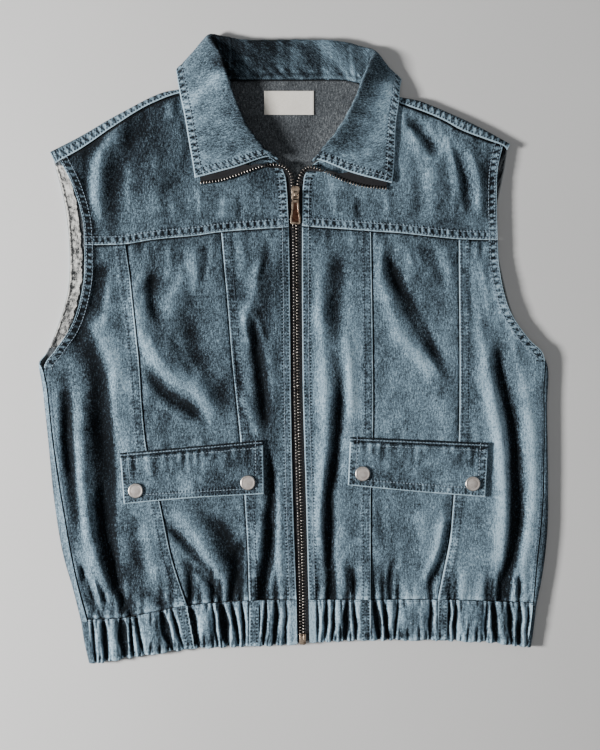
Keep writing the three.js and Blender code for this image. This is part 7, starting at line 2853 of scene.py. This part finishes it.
    def _slider(self) -> None:
        """Make the slider: two waisted plates, the wedge between them and the bail."""
        x, y = float(zip_centre(self.SLIDER_Y)), self.SLIDER_Y
        half, low, high = self.SLIDER_WIDTH / 2, y - self.SLIDER_LENGTH / 2, y + self.SLIDER_LENGTH / 2
        rows = ((low, half - 1.2), (low + 1.0, half - 0.45), (low + 4.0, half - 0.7), (y, half - 0.7),
                (high - 4.0, half - 0.1), (high - 2.6, half), (high - 1.0, half - 0.7), (high, half - 2.2))
        outline = [(x + w, v) for v, w in rows] + [(x - w, v) for v, w in reversed(rows)]
        upper = self.CHAIN_TOP + GAP
        lower = self.CHAIN_TOP - self.CHAIN_DEPTH - GAP - self.SLIDER_PLATE
        arch = self._bail_outline()

        def build(made: bmesh.types.BMesh) -> None:
            """Plates, wedge and bail.

            Args:
                made: The mesh to add to.
            """
            self._prism(made, outline, upper, upper + self.SLIDER_PLATE)
            self._prism(made, outline, lower, lower + self.SLIDER_PLATE)
            wedge = [(x - 1, high - 3.6), (x + 1, high - 3.6), (x + 1, high - 0.2), (x - 1, high - 0.2)]
            self._prism(made, wedge, lower + 0.2, upper + self.SLIDER_PLATE - 0.2)
            start = len(made.verts)
            self._prism(made, arch, -self.BAIL_WIDTH / 2, self.BAIL_WIDTH / 2)
            made.verts.ensure_lookup_table()
            for vertex in made.verts[start:]:
                v, z, across = vertex.co
                vertex.co = (x * MM + across, v, z)

        piece = self._solid("zip_slider_body", build, (self.sheets.finishes.brass,), 0.28)
        declare(piece, ROOT, "zip_metal", "zip_slider")

    def _bail_outline(self) -> list[tuple[float, float]]:
        """Side view of the bail's arch, as y and z."""
        foot = self.CHAIN_TOP + GAP + self.SLIDER_PLATE - 0.4
        outer = self.BAIL_INNER + self.BAIL_WALL
        top, y = self.BAIL_TOP, self.BAIL_Y
        inner_side = [(y - self.BAIL_INNER, foot), (y - self.BAIL_INNER, top - 0.6),
                      (y - self.BAIL_INNER + 0.6, top), (y + self.BAIL_INNER - 0.6, top),
                      (y + self.BAIL_INNER, top - 0.6), (y + self.BAIL_INNER, foot)]
        outer_side = [(y + outer, foot), (y + outer, top - 0.2), (y + outer - 0.5, top + 0.6),
                      (y + outer - 1.2, top + 0.98), (y - outer + 1.2, top + 0.98),
                      (y - outer + 0.5, top + 0.6), (y - outer, top - 0.2), (y - outer, foot)]
        return inner_side + outer_side

    def _pull(self) -> None:
        """Make the pull tab: a bright frame round a dark sunken panel."""
        neck = self.PULL_EYE_WIDTH / 2 + 1.3
        half, length, thick = self.PULL_WIDTH / 2, self.PULL_LENGTH, self.PULL_THICK / 2
        bar, eye = self.PULL_BAR, self.PULL_EYE
        right = [(neck - 0.5, bar), (neck, 0.2), (neck, -bar - eye - 1), (half - 1.2, -length * 0.55),
                 (half, -length + 7), (half, -length + 1.6), (half - 0.5, -length + 0.45),
                 (half - 1.6, -length)]
        hole = [(self.PULL_EYE_WIDTH / 2, -bar), (self.PULL_EYE_WIDTH / 2, -bar - eye)]
        panel = [(1.6, -bar - eye - 2.6), (half - 2.4, -length * 0.6), (half - 1.6, -length + 6.5),
                 (half - 1.6, -length + 2.2)]

        def place(x: float, y: float, z: float) -> tuple[float, float, float]:
            """A point of the tab, turned by its tilt and put on its bar.

            Args:
                x: Places across, in millimetres.
                y: Places up.
                z: Height.

            Returns:
                The point, in metres.
            """
            tilt = math.radians(self.PULL_TILT)
            turned_y = y * math.cos(tilt) - z * math.sin(tilt)
            turned_z = y * math.sin(tilt) + z * math.cos(tilt)
            centre = float(zip_centre(self.BAIL_Y))
            return ((centre + x) * MM, (self.BAIL_Y + turned_y) * MM, (self.BAIL_AXIS + turned_z) * MM)

        def build(made: bmesh.types.BMesh) -> None:
            """Half outlines joined into a plate with an eye and a sunken panel on each face.

            Args:
                made: The mesh to add to.
            """
            for face_z, sign in ((thick, 1.0), (-thick, -1.0)):
                self._pull_face(made, place, right, hole, panel, face_z, sign)
            ring = [*right, *[(-x, y) for x, y in reversed(right)]]
            inside = [*hole, *[(-x, y) for x, y in reversed(hole)]]
            for loop in (ring, inside):
                low = [made.verts.new(place(x, y, -thick)) for x, y in loop]
                high = [made.verts.new(place(x, y, thick)) for x, y in loop]
                for k in range(len(loop)):
                    n = (k + 1) % len(loop)
                    made.faces.new((low[k], low[n], high[n], high[k]))

        piece = self._solid("zip_pull_tab", build,
                            (self.sheets.finishes.brass, self.sheets.finishes.pull_dark), 0.2)
        declare(piece, PULL_BODY, "zip_metal", "zip_pull")

    @staticmethod
    def _pull_face(made: bmesh.types.BMesh, place: Callable, right: Sequence, hole: Sequence,
                   panel: Sequence, z: float, sign: float) -> None:
        """Add one face of the pull tab, with its sunken panel.

        Args:
            made: The mesh in the making.
            place: Puts a point of the tab in its real place.
            right: Right half of the outline, from the top down.
            hole: Right half of the eye, from the top down.
            panel: Right half of the sunken panel, from the top down.
            z: Height of the face.
            sign: 1 for the upper face and -1 for the lower one.
        """
        deep = z - 0.35 * sign

        def both(points: Sequence, height: float) -> tuple[list, list]:
            """Vertices of a half outline and of its mirror image."""
            return ([made.verts.new(place(x, y, height)) for x, y in points],
                    [made.verts.new(place(-x, y, height)) for x, y in points])

        edge, hole_side, rim, sunk = (both(right, z), both(hole, z), both(panel, z), both(panel, deep))
        for half in (0, 1):
            e, h, r, s = edge[half], hole_side[half], rim[half], sunk[half]
            made.faces.new((e[0], e[1], h[0]))
            made.faces.new((e[1], e[2], h[1], h[0]))
            made.faces.new((e[2], e[3], r[1], r[0], h[1]))
            made.faces.new((e[3], e[4], r[2], r[1]))
            made.faces.new((e[4], e[5], r[3], r[2]))
            made.faces.new((e[5], e[6], e[7], r[3]))
            for k in range(3):
                made.faces.new((r[k], r[k + 1], s[k + 1], s[k]))
        made.faces.new((edge[0][0], hole_side[0][0], hole_side[1][0], edge[1][0]))
        made.faces.new((hole_side[0][1], rim[0][0], rim[1][0], hole_side[1][1]))
        made.faces.new((edge[0][7], rim[0][3], rim[1][3], edge[1][7]))
        for k in (0, 3):
            made.faces.new((rim[0][k], sunk[0][k], sunk[1][k], rim[1][k]))
        for k in range(3):
            face = made.faces.new((sunk[0][k], sunk[0][k + 1], sunk[1][k + 1], sunk[1][k]))
            face.material_index = 1

    def _box(self) -> None:
        """Make the box at the zip's foot."""
        x, y = float(zip_centre(self.BOX_Y)), self.BOX_Y
        half, reach = self.BOX_WIDTH / 2, self.BOX_LENGTH / 2
        middle = self.CHAIN_TOP - self.CHAIN_DEPTH / 2
        outline = [(x - half, y - reach + 0.8), (x - half + 0.8, y - reach), (x + half - 0.8, y - reach),
                   (x + half, y - reach + 0.8), (x + half, y + reach), (x + 0.35, y + reach),
                   (x + 0.35, y + reach - 5), (x - 0.35, y + reach - 5), (x - 0.35, y + reach),
                   (x - half, y + reach)]

        def build(made: bmesh.types.BMesh) -> None:
            """One block, slit between the two halves of the chain."""
            self._prism(made, outline, middle - self.BOX_HEIGHT / 2, middle + self.BOX_HEIGHT / 2)

        piece = self._solid("zip_box_foot", build, (self.sheets.finishes.brass,), 0.35)
        declare(piece, ROOT, "zip_metal", "zip_box")

    def build(self) -> None:
        """Make the whole zip."""
        for side in Side:
            self._tape(side)
            self._teeth(side)
        self._slider()
        self._pull()
        self._box()


@dataclass(frozen=True)
class Snap:
    """A snap cap: a shallow dished disc with a rolled rim."""

    node: str
    x: float
    y: float

    PROFILE = ((0.0, 0.0), (6.6, 0.0), (7.3, 0.25), (7.5, 0.7), (7.45, 1.15), (7.1, 1.6), (6.6, 1.85),
               (6.1, 1.8), (5.7, 1.62), (4.6, 1.75), (3.0, 1.95), (1.4, 2.06), (0.0, 2.1))
    SEGMENTS = 56

    def build(self, finishes: Finishes) -> None:
        """Args:
            finishes: The vest's finishes.
        """
        low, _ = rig.box(self.node)
        made = bmesh.new()
        rings = []
        for radius, rise in self.PROFILE:
            if radius == 0:
                rings.append([made.verts.new((self.x * MM, self.y * MM, low.z + rise * MM))])
                continue
            ring = []
            for k in range(self.SEGMENTS):
                angle = 2 * math.pi * k / self.SEGMENTS
                ring.append(made.verts.new(((self.x + radius * math.cos(angle)) * MM,
                                            (self.y + radius * math.sin(angle)) * MM, low.z + rise * MM)))
            rings.append(ring)
        for inner, outer in zip(rings, rings[1:]):
            for k in range(self.SEGMENTS):
                n = (k + 1) % self.SEGMENTS
                corners = [inner[k % len(inner)], inner[n % len(inner)], outer[n % len(outer)],
                           outer[k % len(outer)]]
                made.faces.new(list(dict.fromkeys(corners)))
        bmesh.ops.recalc_face_normals(made, faces=made.faces)
        mesh = bpy.data.meshes.new(self.node + "_cap")
        made.to_mesh(mesh)
        made.free()
        mesh.materials.append(finishes.nickel)
        mesh.polygons.foreach_set("use_smooth", np.ones(len(mesh.polygons), bool))
        piece = bpy.data.objects.new(self.node + "_cap", mesh)
        bpy.context.scene.collection.objects.link(piece)
        declare(piece, ROOT, "snap_metal", self.node)


SNAPS = (
    Snap("snap_left_outer", -158, -140.5),
    Snap("snap_left_inner", -46, -132.5),
    Snap("snap_right_inner", 68.5, -123.5),
    Snap("snap_right_outer", 178.5, -133.5),
)


@dataclass
class Studio:
    """The floor, the lights and the camera."""

    camera_at: tuple[float, float, float] = (0.006, -0.025, 1.21)
    lens: float = 57.6
    floor_size: float = 6.0
    lights: tuple = field(default_factory=lambda: (
        ("key", (-1.8, -0.2, 0.95), 104.0, 0.34, (1.0, 1.0, 0.99)),
        ("fill", (1.2, 1.2, 1.7), 4.0, 1.6, (0.95, 0.98, 1.0)),
        ("top", (0.0, -0.1, 2.6), 10.0, 2.2, (1.0, 1.0, 1.0)),
    ))

    def build(self) -> None:
        """Make the floor, the lights and the camera."""
        self._floor()
        for name, place, power, size, colour in self.lights:
            lamp = bpy.data.lights.new(name, "AREA")
            lamp.energy, lamp.size, lamp.color = power, size, colour
            holder = bpy.data.objects.new(name, lamp)
            holder.location = place
            holder.rotation_euler = (Vector((0, 0, 0)) - Vector(place)).to_track_quat("-Z", "Y").to_euler()
            bpy.context.scene.collection.objects.link(holder)
        world = bpy.data.worlds.new("studio")
        world.use_nodes = True
        world.node_tree.nodes["Background"].inputs["Color"].default_value = (0.9, 0.95, 1.0, 1.0)
        world.node_tree.nodes["Background"].inputs["Strength"].default_value = 0.11
        bpy.context.scene.world = world
        camera = bpy.data.cameras.new("camera")
        camera.lens = self.lens
        camera.sensor_width = 36.0
        holder = bpy.data.objects.new("camera", camera)
        holder.location = self.camera_at
        bpy.context.scene.collection.objects.link(holder)
        bpy.context.scene.camera = holder

    def _floor(self) -> None:
        """Make the plain pale floor."""
        half = self.floor_size / 2
        mesh = bpy.data.meshes.new("floor")
        mesh.from_pydata([(-half, -half, 0), (half, -half, 0), (half, half, 0), (-half, half, 0)], [],
                         [(0, 1, 2, 3)])
        sheet = NodeSheet("floor_pale")
        tint = sheet.noise(sheet.object_place(), 3.0, 3.0, 0.5)
        pale = sheet.ramp(tint, ((0.3, (0.60, 0.59, 0.58)), (0.7, (0.64, 0.63, 0.62))))
        sheet.shade(Base_Color=pale, Roughness=0.85)
        mesh.materials.append(sheet.material)
        floor = bpy.data.objects.new("floor", mesh)
        bpy.context.scene.collection.objects.link(floor)
        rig.stage(floor)


def main() -> None:
    """Build the studio and every sub-assembly, and report each piece."""
    logging.basicConfig(level=logging.INFO, format="%(name)s %(message)s")
    Studio().build()
    finishes = Finishes()
    sheets = Sheets(finishes)
    back = Back(sheets)
    back.build()
    back.build_waistband()
    Front(sheets).build()
    for side in Side:
        sheets.add(Waistband(side).cloth(), held="gathered", rests_on=["back_waistband"], fullness=1.25,
                   front=True)
    Collar(sheets).build()
    PocketFlaps(sheets).build()
    NeckLabel(sheets).build()
    ArmholeFacing(sheets).build()
    tree = StitchTree("parts_along_paths")
    Stitching(sheets, tree).build()
    Zip(sheets, tree).build()
    for snap in SNAPS:
        snap.build(finishes)
    low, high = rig.bounds()
    sizes = {"cad": [list(CAD_BOX[0]), list(CAD_BOX[1])], "visual": [list(low), list(high)]}
    with open("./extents.json", "w") as out:
        json.dump(sizes, out)


if __name__ == "__main__":
    main()
